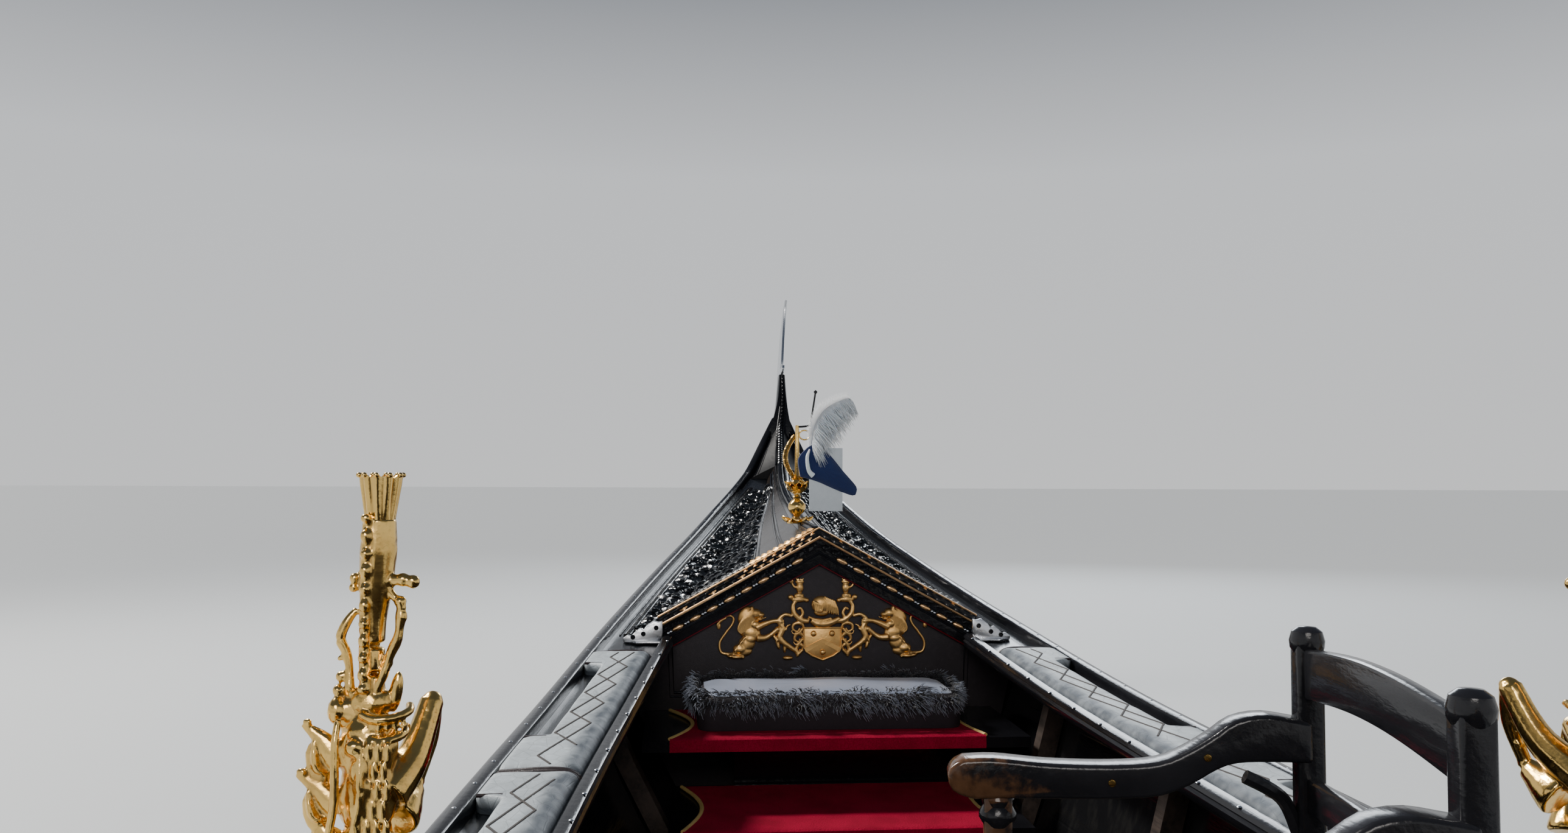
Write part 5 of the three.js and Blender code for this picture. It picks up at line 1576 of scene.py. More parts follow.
rows = [
    (0, 0.0), (0.001, 0.004), (0.002, 0.03), (-0.001, 0.05), (-0.006, 0.066), (-0.016, 0.078),
    (-0.034, 0.084), (-0.06, 0.087), (-0.09, 0.0885), (-0.118, 0.089)
]
pouf.skin(
    [pouf_ring(grow, POUF_LOW + high, corner=max(0.006, POUF_CORNER + grow * 0.3)) for grow, high in rows]
)
cushion = pouf.piece("satin_pouf", [SATIN, POUF_SIDE], "fringe", ["pouf"], smooth=60)
for face in cushion.data.polygons:
    face.material_index = int(face.center.z < POUF_LOW + 0.074)
for v in cushion.data.vertices:
    if v.co.z > POUF_LOW + 0.07:
        v.co.z += 0.0035 * noise.noise((v.co.x * 7, v.co.y * 7, 1.0))


STRAND_ROWS = 4
STRAND_GAP = 0.00042


def strand_shape(bend):
    """A strand of fringe, 1 long: it stands out and falls over."""
    shape = Form()
    points = [
        (t, 0.16 * sin(6 * t + bend), -bend * t * t * 0.75 + 0.22 * t)
        for t in np.linspace(0, 1, STRAND_ROWS)
    ]
    shape.sweep(points, circle_section(0.042, 3), scale=[1.0, 1.15, 1.0, 0.3])
    return shape.mesh


def make_fringe():
    """Tufts of yarn all round the pouf's upper edge, over its side."""
    form = Form()
    outline = pouf_ring(-0.01, POUF_LOW + 0.068)
    middle = Vector((sum(POUF_ENDS) / 2, sum(POUF_SIDES) / 2, 0))
    kinds = [[], [], [], []]
    for i, p in enumerate(outline):
        q = outline[(i + 1) % len(outline)]
        gap = hypot(q[0] - p[0], q[1] - p[1])
        for _ in range(max(1, int(gap / STRAND_GAP))):
            t = random.random()
            here = Vector((lerp(p[0], q[0], t), lerp(p[1], q[1], t), 0))
            out = here - middle
            out = Vector(
                (
                    out.x * 2.2 if abs(out.x) > 0.1 else out.x * 0.2,
                    out.y * 0.35 if abs(out.y) < 0.27 else out.y * 1.4, 0
                )
            ).normalized()
            level = random.random() ** 0.8
            tuft = noise.noise((here.x * 24, here.y * 24, 4.0))
            here += out * (0.01 * sin(pi * level) + 0.003)
            here.z = POUF_LOW + lerp(0.046, 0.088, level)
            twist = random.uniform(-0.5, 0.5) + 1.5 * tuft
            flat = Vector(
                (out.x * cos(twist) - out.y * sin(twist), out.x * sin(twist) + out.y * cos(twist), 0)
            )
            rise = lerp(-0.9, 0.85, level) + random.uniform(-0.25, 0.25) + 0.7 * tuft
            length = random.uniform(0.018, 0.03) * (1 + 0.6 * tuft)
            kinds[random.randrange(4)].append(facing(here, flat + Vector((0, 0, rise)), (0, 0, 1), length))
    strands = [strand_shape(bend) for bend in (0.3, 0.6, 0.9, 1.2)]
    points = len(strands[0].verts)
    for shape, places in zip(strands, kinds):
        form.repeat(shape, places)
    made = form.piece("yarn_fringe", FRINGE, "fringe", smooth=180)
    # the tip attribute places the painted highlight at the strands' tips
    per_point(made, "tip", lambda i, place: (i % points) * STRAND_ROWS // points / (STRAND_ROWS - 1))
    for v in made.data.vertices:
        v.co.x = min(v.co.x, 2.838)
        v.co.z = max(v.co.z, POUF_LOW + 0.001)


make_fringe()


# Brass seahorses
def horse_rod(form, points, radius, scale=None, wide=1.0, sides=10):
    form.rod(
        [(x * 0.001, y * 0.001, h * 0.001) for x, y, h in points], radius * 0.001, sides, scale, wide=wide
    )


def horse_lump(form, x, y, h, a, b, c, turn=(0, 0, 0), detail=2):
    form.blob((x * 0.001, y * 0.001, h * 0.001), (a * 0.001, b * 0.001, c * 0.001), turn, detail)


def horse_leg(form, hip, points, radius, hoof, axis, grow):
    """A bent foreleg with a knee, a spur and a flared hoof."""
    horse_rod(form, [hip, *points[:2]], radius, [1.6, 1.35, 1.1, 0.95, 0.85])
    horse_lump(form, *points[1], 12, 11, 10)
    horse_rod(form, points[1:], radius * 0.62, [1.2, 1.0, 0.85, 0.8])
    horse_lump(form, *points[-1], 9, 9, 7)
    spur = points[-2]
    horse_lump(form, spur[0] - 6, spur[1] + 4, spur[2] - 22, 7, 6, 4)
    profile = [
        (0, -0.004), (0.009, -0.002), (0.012, 0.006), (0.0165, 0.016), (0.0195, 0.025), (0.02, 0.029),
        (0.0185, 0.031), (0, 0.031)
    ]
    form.lathe([(r * grow, a * grow) for r, a in profile], [c * 0.001 for c in hoof], axis, 28)


def make_horse(side):
    """A rearing seahorse under a ribbed column with a fluted cup, in millimetres from its foot."""
    x, base = (1.0, 0.468) if side == PORT else (0.939, 0.4672)
    y = 0.781 if side == PORT else -(edge(x, STARBOARD) - 0.049)
    place = Matrix.Translation((x, y, base)) @ Matrix.Diagonal((1, side, 1, 1))
    body = Form(place)
    lift = 0 if side == PORT else 12
    horse_rod(
        body, [(0, -3, 436), (0, -2, 405), (0, 0, 360), (0, 2, 320), (0, 2, 285), (0, 2, 235)], 13,
        [1.25, 1.45, 1.3, 1.0, 0.95, 1.0, 1.3]
    )
    for row in (
        (0, -2, 404, 17, 19, 34), (14, 0, 398, 15, 12, 20, (0, 30, 0)), (27, 2, 378, 11, 9, 14, (0, 40, 0))
    ):
        horse_lump(body, *row)
    horse_rod(
        body, [(-12, 6, 440), (-13, 7, 400), (-13, 7, 350), (-13, 7, 300), (-14, 5, 262)], 5.5,
        [1.0, 1.1, 1.0]
    )
    for k, h in enumerate((437, 419, 401, 384, 366, 349, 331, 314, 297, 280, 266)):
        horse_lump(body, -18, 7, h, 5.5, 5.5, 7 if k % 2 else 5)
    horse_rod(
        body, [(0, 18, 344), (-2, 27, 332), (-4, 33, 315), (-4, 27, 301), (-6, 23, 284), (-8, 22, 264)],
        5.0, [0.7, 1.0, 1.1, 1.0, 0.8, 1.1]
    )
    for y1, h, r in (
        (20, 376, 5.5), (21, 366, 5.0), (33, 295, 3), (31, 277, 6), (34, 263, 6), (22, 262, 5.5)
    ):
        horse_lump(body, -5, y1, h, r, r, r)
    horse_rod(
        body,
        [
            (-4, -12, 384), (-5, -13, 366), (-6, -20, 356), (-6, -27, 346), (-6, -26, 330), (-6, -24, 315),
            (-6, -18, 301), (-8, -12, 282), (-10, -5, 262)
        ],
        5.0, [0.7, 1.1, 0.7, 1.25, 0.9, 1.2, 0.9, 1.1, 0.8]
    )
    for y1, h, r in (
        (-12, 372, 6), (-28, 374, 7.5), (-38, 372, 7.5), (-26, 352, 6.5), (-27, 336, 6.5), (-15, 290, 5.5)
    ):
        horse_lump(body, -6, y1, h, r, r, r)
    horse_rod(body, [(-3, -8, 372), (-6, -26, 374), (-6, -42, 371)], 6)
    for row in (
        (0, -22, 260, 6, 7, 22, (8, 0, 0)), (0, 3, 250, 19, 22, 18), (2, 22, 240, 18, 22, 20),
        (-6, 34, 243, 13, 10, 15)
    ):
        horse_lump(body, *row)
    for dz, width in ((241, 1.0), (220, 0.9)):
        horse_rod(
            body,
            [
                (-18, 8, dz), (-25, -8, dz - 4), (-20, -26, dz - 3), (-4, -36 * width, dz),
                (14, -33 * width, dz + 3)
            ],
            4.6
        )
    for k in range(6):
        a = k / 5
        horse_lump(body, -24 + 14 * abs(a - 0.35), lerp(4, -34, a), 229, 3.2, 3.0, 6)
    for row in ((0, 4, 205, 30, 30, 44), (-2, 3, 158, 33, 30, 46), (-6, 2, 112, 30, 26, 34)):
        horse_lump(body, *row)
    for row in range(5):
        for k in range(4):
            horse_lump(
                body, -29 - row * 0.6, -22 + 9.5 * k + 4 * (row % 2), 205 - 19 * row, 3.8, 4.2, 12,
                (0, -6, 0)
            )
    horse_lump(body, -27, 12, 210, 8, 9, 9)
    horse_rod(
        body,
        [(-22, 29, 236), (-28, 30, 217), (-31, 29, 193), (-31, 29, 157), (-27, 34, 128), (-22, 38, 104)],
        4.4, [0.8, 1.1, 0.9]
    )
    horse_rod(body, [(-29, 5, 205), (-34, 4, 180), (-34, 4, 157), (-31, 12, 124)], 4.2, [0.8, 1.1, 0.8])
    for root, bend, tip, size in (
        ((-8, 28, 190), (-10, 46, 214), (-12, 64, 231), 9),
        ((-8, 28, 145), (-10, 48, 166), (-12, 69, 182), 9),
        ((-8, 26, 108), (-10, 44, 124), (-12, 60, 140), 8),
    ):
        horse_rod(
            body, [root, bend, tip, (tip[0] - 4, tip[1] - 7, tip[2] + 3)], size,
            [1.5, 1.5, 1.0, 0.55, 0.35], wide=0.8
        )
        horse_lump(body, bend[0], bend[1] + 4, bend[2] - 22, 7, 13, 24, (-14, 0, 0))
        horse_rod(
            body,
            [
                (root[0] - 4, root[1] + 10, root[2] - 6), (bend[0] - 8, bend[1] + 4, bend[2] - 26),
                (tip[0] - 4, tip[1] - 10, tip[2] - 16)
            ],
            3.4, [0.7, 1.1, 0.5]
        )
    reach = 0 if side == PORT else 10
    inner = [
        (30 + reach, -33 - reach, 187 + lift), (58 + reach, -47 - reach, 241 + lift),
        (62 + reach, -45 - reach, 200 + lift), (54 + reach, -33 - reach, 156 + lift)
    ]
    horse_leg(
        body, (2, -14, 158), inner, 15, (52 + reach, -30 - reach, 150 + lift), (-0.8, 0.3, -0.52), 1.32
    )
    outer = [(44, 20, 178), (84, 30, 206), (88, 24, 168), (78, 18, 132)]
    horse_leg(body, (6, 14, 150), outer, 15, (76, 17, 126), (-0.3, -0.2, -0.9), 1.2)
    horse_rod(
        body,
        [
            (-6, 0, 120), (-24, 0, 84), (-28, 2, 52), (-8, 4, 26), (24, 4, 22), (50, 4, 36), (52, 4, 58),
            (36, 4, 68), (26, 4, 56)
        ],
        21, [1.3, 1.25, 1.1, 1.0, 0.85, 0.7, 0.55, 0.4, 0.25]
    )
    for k in range(7):
        horse_lump(body, -44 + 10 * max(0, k - 3) * 0.8, 3, 96 - 13 * k, 6, 5, 8, (0, 20, 0))
    body.lathe(
        [
            (0, FIT), (0.04, FIT), (0.041, 0.004), (0.037, 0.008), (0.034, 0.009), (0.03, 0.016),
            (0.022, 0.024), (0.018, 0.036), (0, 0.04)
        ],
        (-0.004, 0, 0), steps=32
    )
    horse = body.piece("brass_horse_" + SIDE_NAME[side], BRASS, "brass", ["seahorse_" + SIDE_NAME[side]])
    melt(horse, 0.0019, 1, 0.45)

    cup = Form(place)
    cup.lathe(
        [
            (0, 0.424), (0.0135, 0.424), (0.015, 0.436), (0.0158, 0.444), (0.0175, 0.458), (0.0195, 0.471),
            (0.0205, 0.479), (0.019, 0.479), (0.0165, 0.462), (0.013, 0.45), (0, 0.447)
        ],
        (0, -0.003, 0), steps=72
    )
    cup.mesh.verts.ensure_lookup_table()
    centre = Vector((x, y - 0.003 * side, 0))
    for v in cup.mesh.verts:
        flat = Vector((v.co.x - centre.x, v.co.y - centre.y, 0))
        h = v.co.z - base
        if flat.length > 0.01 and h > 0.43:
            angle = atan2(flat.y, flat.x)
            petal = abs(cos(angle * 5))
            grow = 1 + (0.16 * petal - 0.1) * min(1, (h - 0.43) / 0.02)
            v.co.x, v.co.y = centre.x + flat.x * grow, centre.y + flat.y * grow
            if h > 0.475:
                v.co.z += 0.0045 * petal - 0.002
    for k in range(10):
        a = pi * k / 5
        cup.blob((0.0215 * cos(a), -0.003 + 0.0215 * sin(a), 0.4805), (0.0032, 0.0032, 0.0028), detail=2)
    cup.piece("brass_cup_" + SIDE_NAME[side], BRASS, "brass")


for side in SIDE_NAME:
    make_horse(side)


# Stand on the foredeck with a cap, a plume and a blank card
STAND = Vector((3.3, 0.125, max(ridge_top(3.266), ridge_top(3.334)) + FIT))


def make_stand():
    """A turned brass vase with leaves, a twisted loop and a thin rod."""
    form = Form()
    form.lathe(
        [
            (0, 0), (0.03, 0), (0.031, 0.004), (0.026, 0.008), (0.014, 0.012), (0.009, 0.02),
            (0.012, 0.026), (0.022, 0.034), (0.0265, 0.046), (0.0255, 0.056), (0.018, 0.066), (0.01, 0.072),
            (0.013, 0.078), (0.009, 0.084), (0.008, 0.1), (0.015, 0.108), (0.019, 0.118), (0.014, 0.13),
            (0.007, 0.14), (0.0055, 0.29), (0, 0.292)
        ],
        STAND, steps=32
    )
    leaves = []
    for row, (count, high, reach, tilt, size) in enumerate(
        (
            (7, 0.006, 0.01, 0.25, 0.04), (8, 0.092, 0.008, 0.9, 0.034), (8, 0.112, 0.01, 0.35, 0.03),
            (6, 0.126, 0.006, 1.4, 0.028)
        )
    ):
        for k in range(count):
            a = 2 * pi * (k + 0.5 * (row % 2)) / count
            out = Vector((cos(a), sin(a), 0))
            here = Vector((STAND.x, STAND.y, STAND.z + high)) + out * reach
            leaves.append(facing(here, out + Vector((0, 0, tilt)), (0, 0, 1), size))
    form.repeat(leaf_shape(3, 0.7), leaves)
    for k in range(9):
        a = 0.7 * k
        form.blob(
            (STAND.x - 0.014 * cos(a), STAND.y + 0.016 * sin(a), STAND.z + 0.088 + 0.005 * k), 0.006,
            detail=2
        )
    for turn in range(3):
        path = []
        for k in range(90):
            a = k * 0.75 + turn * 2.1
            y = 0.004 + 0.03 * sin(pi * k / 89) + 0.006 * sin(a)
            z = lerp(0.13, 0.262, k / 89)
            path.append((STAND.x + 0.012 + 0.005 * cos(a), STAND.y + y, STAND.z + z))
        form.sweep(path, circle_section(0.0026, 6))
    ring = [
        (STAND.x, STAND.y - 0.022 + 0.016 * cos(a), STAND.z + 0.262 + 0.014 * sin(a))
        for a in np.linspace(0, 2 * pi, 25)[:-1]
    ]
    form.sweep(ring, circle_section(0.0022, 6), up=(1, 0, 0), closed=True)
    form.finish = 1
    rod = [
        (STAND.x, STAND.y, STAND.z + 0.286), (3.296, 0.09, 1.098), (3.293, 0.084, 1.115),
        (3.291, 0.0715, 1.196)
    ]
    form.rod(rod, 0.0028, 8)
    form.blob((3.291, 0.0712, 1.198), 0.0058)
    form.piece("brass_stand", [BRASS, LACQUER], "brass", ["flower_stand"])


CAP_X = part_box("card")[0][0] + 0.0045


def make_cap():
    """A folded felt cap: two flaps, pinched along the crown and spread at the open end."""
    outline = [
        (0.119, 0.947), (0.124, 0.975), (0.124, 1.0), (0.103, 1.026), (0.086, 1.037), (0.068, 1.04),
        (0.034, 1.008), (-0.004, 0.962), (-0.041, 0.92), (-0.044, 0.905), (-0.037, 0.893), (-0.004, 0.903),
        (0.03, 0.917), (0.062, 0.931), (0.092, 0.941)
    ]
    form = Form()
    smooth = along([(0, y, z) for y, z in outline] + [(0, *outline[0])], 64)[:-1]
    middle = Vector((0, 0.055, 0.965))
    for front, bulge in ((CAP_X - 0.006, -0.011), (CAP_X - 0.006, 0.036)):
        rings = []
        for scale in (1.0, 0.985, 0.92, 0.75, 0.5, 0.25, 0.05):
            puff = bulge * (1 - scale * scale) ** 0.6
            rings.append(
                [
                    (
                        front + puff + 0.0012 * noise.noise((p.y * 30, p.z * 30, bulge)),
                        lerp(middle.y, p.y, scale), lerp(middle.z, p.z, scale)
                    )
                    for p in smooth
                ]
            )
        form.skin(rings, caps=False)
    bmesh.ops.remove_doubles(form.mesh, verts=form.mesh.verts, dist=0.0002)
    bmesh.ops.holes_fill(form.mesh, edges=form.mesh.edges, sides=0)
    seam = [(CAP_X - 0.0062, p.y, p.z) for p in smooth]
    form.sweep(seam, circle_section(0.0022, 6), up=(1, 0, 0), closed=True)
    form.finish = 1
    quill = [
        (CAP_X - 0.014, 0.094, 1.026), (CAP_X - 0.018, 0.101, 1.005), (CAP_X - 0.021, 0.101, 0.985),
        (CAP_X - 0.021, 0.096, 0.962), (CAP_X - 0.019, 0.084, 0.949)
    ]
    form.rod(quill, 0.0055, 8, [0.4, 0.9, 1.0, 1.1, 1.5])
    form.piece("felt_cap", [FELT, PLUME], "blue_felt", ["cap"], smooth=60)


def make_plume():
    """A curved quill with barbs that fall to one side."""
    form = Form()
    spine = along(
        [
            (3.249, 0.087, 1.022), (3.246, 0.086, 1.06), (3.244, 0.078, 1.1), (3.243, 0.054, 1.139),
            (3.243, 0.02, 1.163), (3.243, -0.018, 1.178), (3.243, -0.034, 1.168)
        ],
        90
    )
    form.sweep(spine, circle_section(0.0016, 6), up=(1, 0, 0), scale=list(np.linspace(1, 0.3, 90)))
    barb = Form()
    points = [(t, 0.16 * t * t, -0.42 * t * t * t - 0.16 * t * t) for t in np.linspace(0, 1, 5)]
    barb.sweep(points, [(-0.022, -0.003), (0.022, -0.003), (0.0, 0.008)], scale=[0.5, 1.1, 1.0, 0.7, 0.15])
    places = []
    for i, here in enumerate(spine[2:], 2):
        t = i / 89
        ahead = (spine[min(89, i + 1)] - spine[i - 1]).normalized()
        full = 0.064 * sin(pi * (0.14 + 0.78 * t)) ** 0.7 + 0.01
        for k in range(15):
            spread = lerp(-0.42, 0.42, k / 14) + random.uniform(-0.08, 0.08)
            wave = 0.25 * sin(i * 0.5 + k)
            out = Vector((spread, -0.15, -0.95)) + ahead * (0.45 + wave)
            places.append(facing(here, out, (-1, 0.3 * spread, 0.5), full * random.uniform(0.85, 1.25)))
        for k in range(6):
            out = Vector((lerp(-0.4, 0.4, k / 5), 0.55, 0.35)) + ahead * 0.7
            places.append(facing(here, out, (-1, 0, 0.5), full * random.uniform(0.25, 0.38)))
    form.repeat(barb.mesh, places)
    form.piece("plume", PLUME, "white_feather", ["feather"], smooth=180)


def make_card():
    """A blank card with two pins."""
    form = Form()
    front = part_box("card")[0][0]
    form.box((front, -0.0045, 0.8455), (front + 0.0016, 0.094, 1.0305), 0.0006, 1)
    for y, z in ((0.088, 0.852), (0.002, 0.852)):
        form.blob((front - 0.0004, y, z), (0.0008, 0.0022, 0.0022), detail=1)
    form.piece("blank_card", CARD, "white_card", ["card"])


make_stand()
make_cap()
make_plume()
make_card()


# Armchair
CHAIR_PLACE = Matrix.Translation((0.886, -0.011, FLOOR_Z)) @ Matrix.Rotation(radians(-10.8), 4, "Z")
CHAIR_HALF = 0.2
CHAIR_DEPTH = 0.19
SEAT = 0.43
ARM = 0.704
BACK = 0.862
POST_HIGH = BACK - 0.018


def armchair_arm(form, sign):
    """An arm that swoops down from the back post and ends in a round nose."""
    upper = [
        (-0.19, ARM + 0.053), (-0.172, ARM + 0.056), (-0.138, ARM + 0.06), (-0.106, ARM + 0.053),
        (-0.082, ARM + 0.036), (-0.053, ARM + 0.018), (-0.022, ARM + 0.005), (0.03, ARM), (0.1, ARM),
        (0.16, ARM + 0.004), (0.196, ARM + 0.002)
    ]
    lower = [
        (-0.19, ARM + 0.008), (-0.151, ARM + 0.008), (-0.11, ARM + 0.006), (-0.086, ARM - 0.002),
        (-0.058, ARM - 0.019), (-0.023, ARM - 0.033), (0.03, ARM - 0.038), (0.1, ARM - 0.04),
        (0.15, ARM - 0.041), (0.182, ARM - 0.043)
    ]
    nose = [(0.205, ARM - 0.036), (0.213, ARM - 0.022), (0.211, ARM - 0.007)]
    parts = [(lower, 34), ([lower[-1], *nose, upper[-1]], 9), (upper, 34)]
    below, end, above = (along([(a, b, 0) for a, b in rows], count) for rows, count in parts)
    rows = [(p.x, p.y) for p in below + end[1:-1] + above[::-1]]
    place = Matrix.Translation((sign * CHAIR_HALF - 0.02, 0, 0)) @ CROSSWISE
    form.slab(rows, 0.04, place, 0.0055, 3)


def make_armchair():
    """The chair in its own place, with y towards its front edge; the arms' ends are rubbed to the wood."""
    form = Form(CHAIR_PLACE)
    for sign in (-1, 1):
        x = sign * CHAIR_HALF
        post = bmesh.new()
        matrix = Matrix.Translation((x, -CHAIR_DEPTH, POST_HIGH / 2)) @ Matrix.Diagonal(
            (0.03, 0.03, POST_HIGH, 1)
        )
        bmesh.ops.create_cube(post, size=1, matrix=matrix)
        for z in (BACK - 0.06, 0.3):
            parts = post.verts[:] + post.edges[:] + post.faces[:]
            bmesh.ops.bisect_plane(post, geom=parts, plane_co=(0, 0, z), plane_no=(0, 0, 1))
        round_edges(post, 0.005, 3)
        form.join(post)
        form.lathe(
            [
                (0, BACK - 0.03), (0.015, BACK - 0.03), (0.0185, BACK - 0.024), (0.0192, BACK - 0.016),
                (0.0165, BACK - 0.006), (0.01, BACK - 0.001), (0, BACK)
            ],
            (x, -CHAIR_DEPTH, 0), steps=28
        )
        form.box(
            (x - 0.015, CHAIR_DEPTH - 0.05, 0), (x + 0.015, CHAIR_DEPTH - 0.018, ARM - 0.036), 0.004, 3
        )
        form.lathe(
            [
                (0, ARM - 0.075), (0.016, ARM - 0.075), (0.0215, ARM - 0.066), (0.0215, ARM - 0.06),
                (0.0165, ARM - 0.052), (0.019, ARM - 0.044), (0.0165, ARM - 0.038), (0, ARM - 0.037)
            ],
            (x, CHAIR_DEPTH - 0.034, 0), steps=24
        )
        form.box((x - 0.011, -CHAIR_DEPTH, 0.15), (x + 0.011, CHAIR_DEPTH - 0.04, 0.176), 0.004, 2)
        armchair_arm(form, sign)
        curve = [
            (x, -CHAIR_DEPTH + 0.012, ARM - 0.075), (x, -CHAIR_DEPTH + 0.03, ARM - 0.035),
            (x, -CHAIR_DEPTH + 0.07, ARM - 0.012)
        ]
        form.rod(curve, 0.008, 8)
        form.box(
            (x - 0.013, -CHAIR_DEPTH + 0.004, SEAT - 0.046), (x + 0.013, CHAIR_DEPTH - 0.024, SEAT - 0.002),
            0.004, 2
        )

    def rail(low, high, arch, thick, y):
        count = 21
        rows = [
            (lerp(-CHAIR_HALF, CHAIR_HALF, t), low + arch * sin(pi * t)) for t in np.linspace(0, 1, count)
        ]
        rows += [
            (lerp(CHAIR_HALF, -CHAIR_HALF, t), high + arch * sin(pi * t)) for t in np.linspace(0, 1, count)
        ]
        matrix = Matrix.Translation((0, y + thick / 2, 0)) @ LENGTHWISE
        form.slab(rows, thick, matrix, 0.004, 2)

    rail(BACK - 0.082, BACK - 0.026, 0.013, 0.017, -CHAIR_DEPTH)
    rail(BACK - 0.208, BACK - 0.168, 0.008, 0.014, -CHAIR_DEPTH)
    rail(SEAT - 0.048, SEAT - 0.002, 0.0, 0.022, -CHAIR_DEPTH + 0.011)
    rail(SEAT - 0.048, SEAT - 0.002, 0.0, 0.022, CHAIR_DEPTH - 0.034)
    form.box((-CHAIR_HALF, -0.012, 0.152), (CHAIR_HALF, 0.012, 0.174), 0.004, 2)
    for k in range(5):
        u = -0.12 + 0.06 * k
        form.lathe(
            [
                (0, SEAT), (0.007, SEAT), (0.009, SEAT + 0.07), (0.0065, SEAT + 0.1), (0.01, SEAT + 0.12),
                (0.0065, SEAT + 0.14), (0.008, SEAT + 0.2), (0.007, BACK - 0.2), (0, BACK - 0.2)
            ],
            (u, -CHAIR_DEPTH, 0), steps=14
        )
    form.box(
        (-CHAIR_HALF + 0.006, -CHAIR_DEPTH + 0.012, SEAT - 0.034),
        (CHAIR_HALF - 0.006, CHAIR_DEPTH - 0.034, SEAT - 0.017), 0.002, 1
    )
    form.finish = 1
    for y, z in ((0.03, ARM - 0.019), (-0.075, ARM + 0.012)):
        for sign in (-1, 1):
            form.lathe(
                [(0, 0), (0.0045, 0), (0.004, 0.0012), (0, 0.0018)], (sign * CHAIR_HALF - 0.0205, y, z),
                (-1, 0, 0), 14
            )
    chair = form.piece("black_armchair", [ARMCHAIR_LACQUER, BRASS], "worn_lacquer", ["armchair"])
    inverse = CHAIR_PLACE.inverted()

    def rubbed(i, place):
        """Worn most at the hand ends of the arms."""
        p = inverse @ place
        return 0.42 * clip((p.y - 0.05) / 0.12) if p.z > ARM - 0.046 else 0

    per_point(chair, "rubbed", rubbed)


# Cushions: swollen by a cloth simulation, then given their piping and buttons
SWELL_FRAMES = 20
SWELL_PRESSURE = 4


def swell(made, cap, voxel):
    """Swells a closed form like a filled cover, and keeps each point within a cap of its start."""
    remesh = made.modifiers.new("even", "REMESH")
    remesh.mode = "VOXEL"
    remesh.voxel_size = voxel
    keep_modifiers(made)
    count = len(made.data.vertices)
    start = np.empty(count * 3)
    made.data.vertices.foreach_get("co", start)
    cloth = made.modifiers.new("cover", "CLOTH")
    leather = cloth.settings
    leather.use_pressure = True
    leather.uniform_pressure_force = SWELL_PRESSURE
    leather.effector_weights.gravity = 0
    leather.quality = 4
    leather.mass = 0.3
    leather.tension_stiffness = 20
    leather.compression_stiffness = 12
    leather.bending_stiffness = 0.6
    cloth.point_cache.frame_start = 1
    cloth.point_cache.frame_end = SWELL_FRAMES
    scene = bpy.context.scene
    for step in range(1, SWELL_FRAMES + 1):
        scene.frame_set(step)
    keep_modifiers(made)
    scene.frame_set(1)
    moved = np.empty(count * 3)
    made.data.vertices.foreach_get("co", moved)
    shift = (moved - start).reshape(-1, 3)
    size = np.linalg.norm(shift, axis=1, keepdims=True)
    shift *= np.minimum(1, cap / np.maximum(size, 1e-9))
    made.data.vertices.foreach_set("co", (start.reshape(-1, 3) + shift).ravel())
    made.data.update()
    finer = made.modifiers.new("finer", "SUBSURF")
    finer.levels = finer.render_levels = 1
    keep_modifiers(made)
    made.data.shade_smooth()


def cushion_block(form, low, high, inset=0.007):
    """A soft block whose sides pull in between its corners."""
    low, high = Vector(low), Vector(high)
    middle, size = (low + high) / 2, (high - low) / 2
    shape = soft_cube(11)
    for v in shape.verts:
        x, y, z = v.co
        px = copysign(size.x - inset * (1 - y * y), x) * abs(x)
        py = copysign(size.y - inset * (1 - x * x), y) * abs(y)
        rim = max(abs(x), abs(y)) ** 6
        pz = z * (size.z * (1 - 0.25 * rim))
        v.co = Vector((px, py, pz)) + middle
    round_edges(shape, 0.006, 2, 0.9)
    form.join(shape)


BUTTON_DEPTH = 0.01
BUTTON_REACH = 0.02


def press_buttons(made, wells, inverse, middle):
    """Draws a cushion's top in at its buttons."""
    for v in made.data.vertices:
        p = inverse @ v.co
        if p.z < middle:
            continue
        for well in wells:
            gap = hypot(p.x - well.x, p.y - well.y)
            p.z -= BUTTON_DEPTH * exp(-((gap / BUTTON_REACH) ** 2))
        v.co = inverse.inverted() @ p
    made.data.update()


def seat_cushions():
    """The three loose seat cushions, each with piping and buttons."""
    rows = [
        # name, node, low, high, place, cap, voxel, buttons fore and aft, buttons across
        (
            "armchair_seat", "armchair_cushion",
            (-0.168, -0.152, SEAT - 0.0156), (0.168, 0.124, SEAT + 0.024),
            CHAIR_PLACE, 0.007, 0.008, (-0.0672, 0.0672), (-0.0692, 0.0412),
        ),
        (
            "bench_seat", "bench_cushion", (-0.594, -0.328, 0.256), (-0.172, 0.614, 0.332),
            Matrix.Identity(4), 0.012, 0.0105, (-0.49, -0.38, -0.27), spaced(-0.24, 0.53, 0.128),
        ),
        (
            "stool_seat", "stool_cushion", (0.634, 0.224, 0.226), (0.886, 0.476, 0.268),
            Matrix.Identity(4), 0.008, 0.008, (0.76,), (0.35,),
        ),
    ]
    for name, node, low, high, place, cap, voxel, ahead, across in rows:
        form = Form(place)
        cushion_block(form, low, high)
        made = form.piece(name, CUSHION_LEATHER, "black_leather", [node], smooth=180)
        swell(made, cap, voxel)
        inverse = place.inverted()
        middle = (Vector(low) + Vector(high)) / 2
        wells = [Vector((x, y, 0)) for x in ahead for y in across]
        press_buttons(made, wells, inverse, middle.z)
        bottom = low[2] - 0.0035
        for v in made.data.vertices:
            p = inverse @ v.co
            p.z = max(p.z, bottom)
            v.co = place @ p
        made.data.update()
        trim_cushion(name, made, low, high, place, wells, inverse)


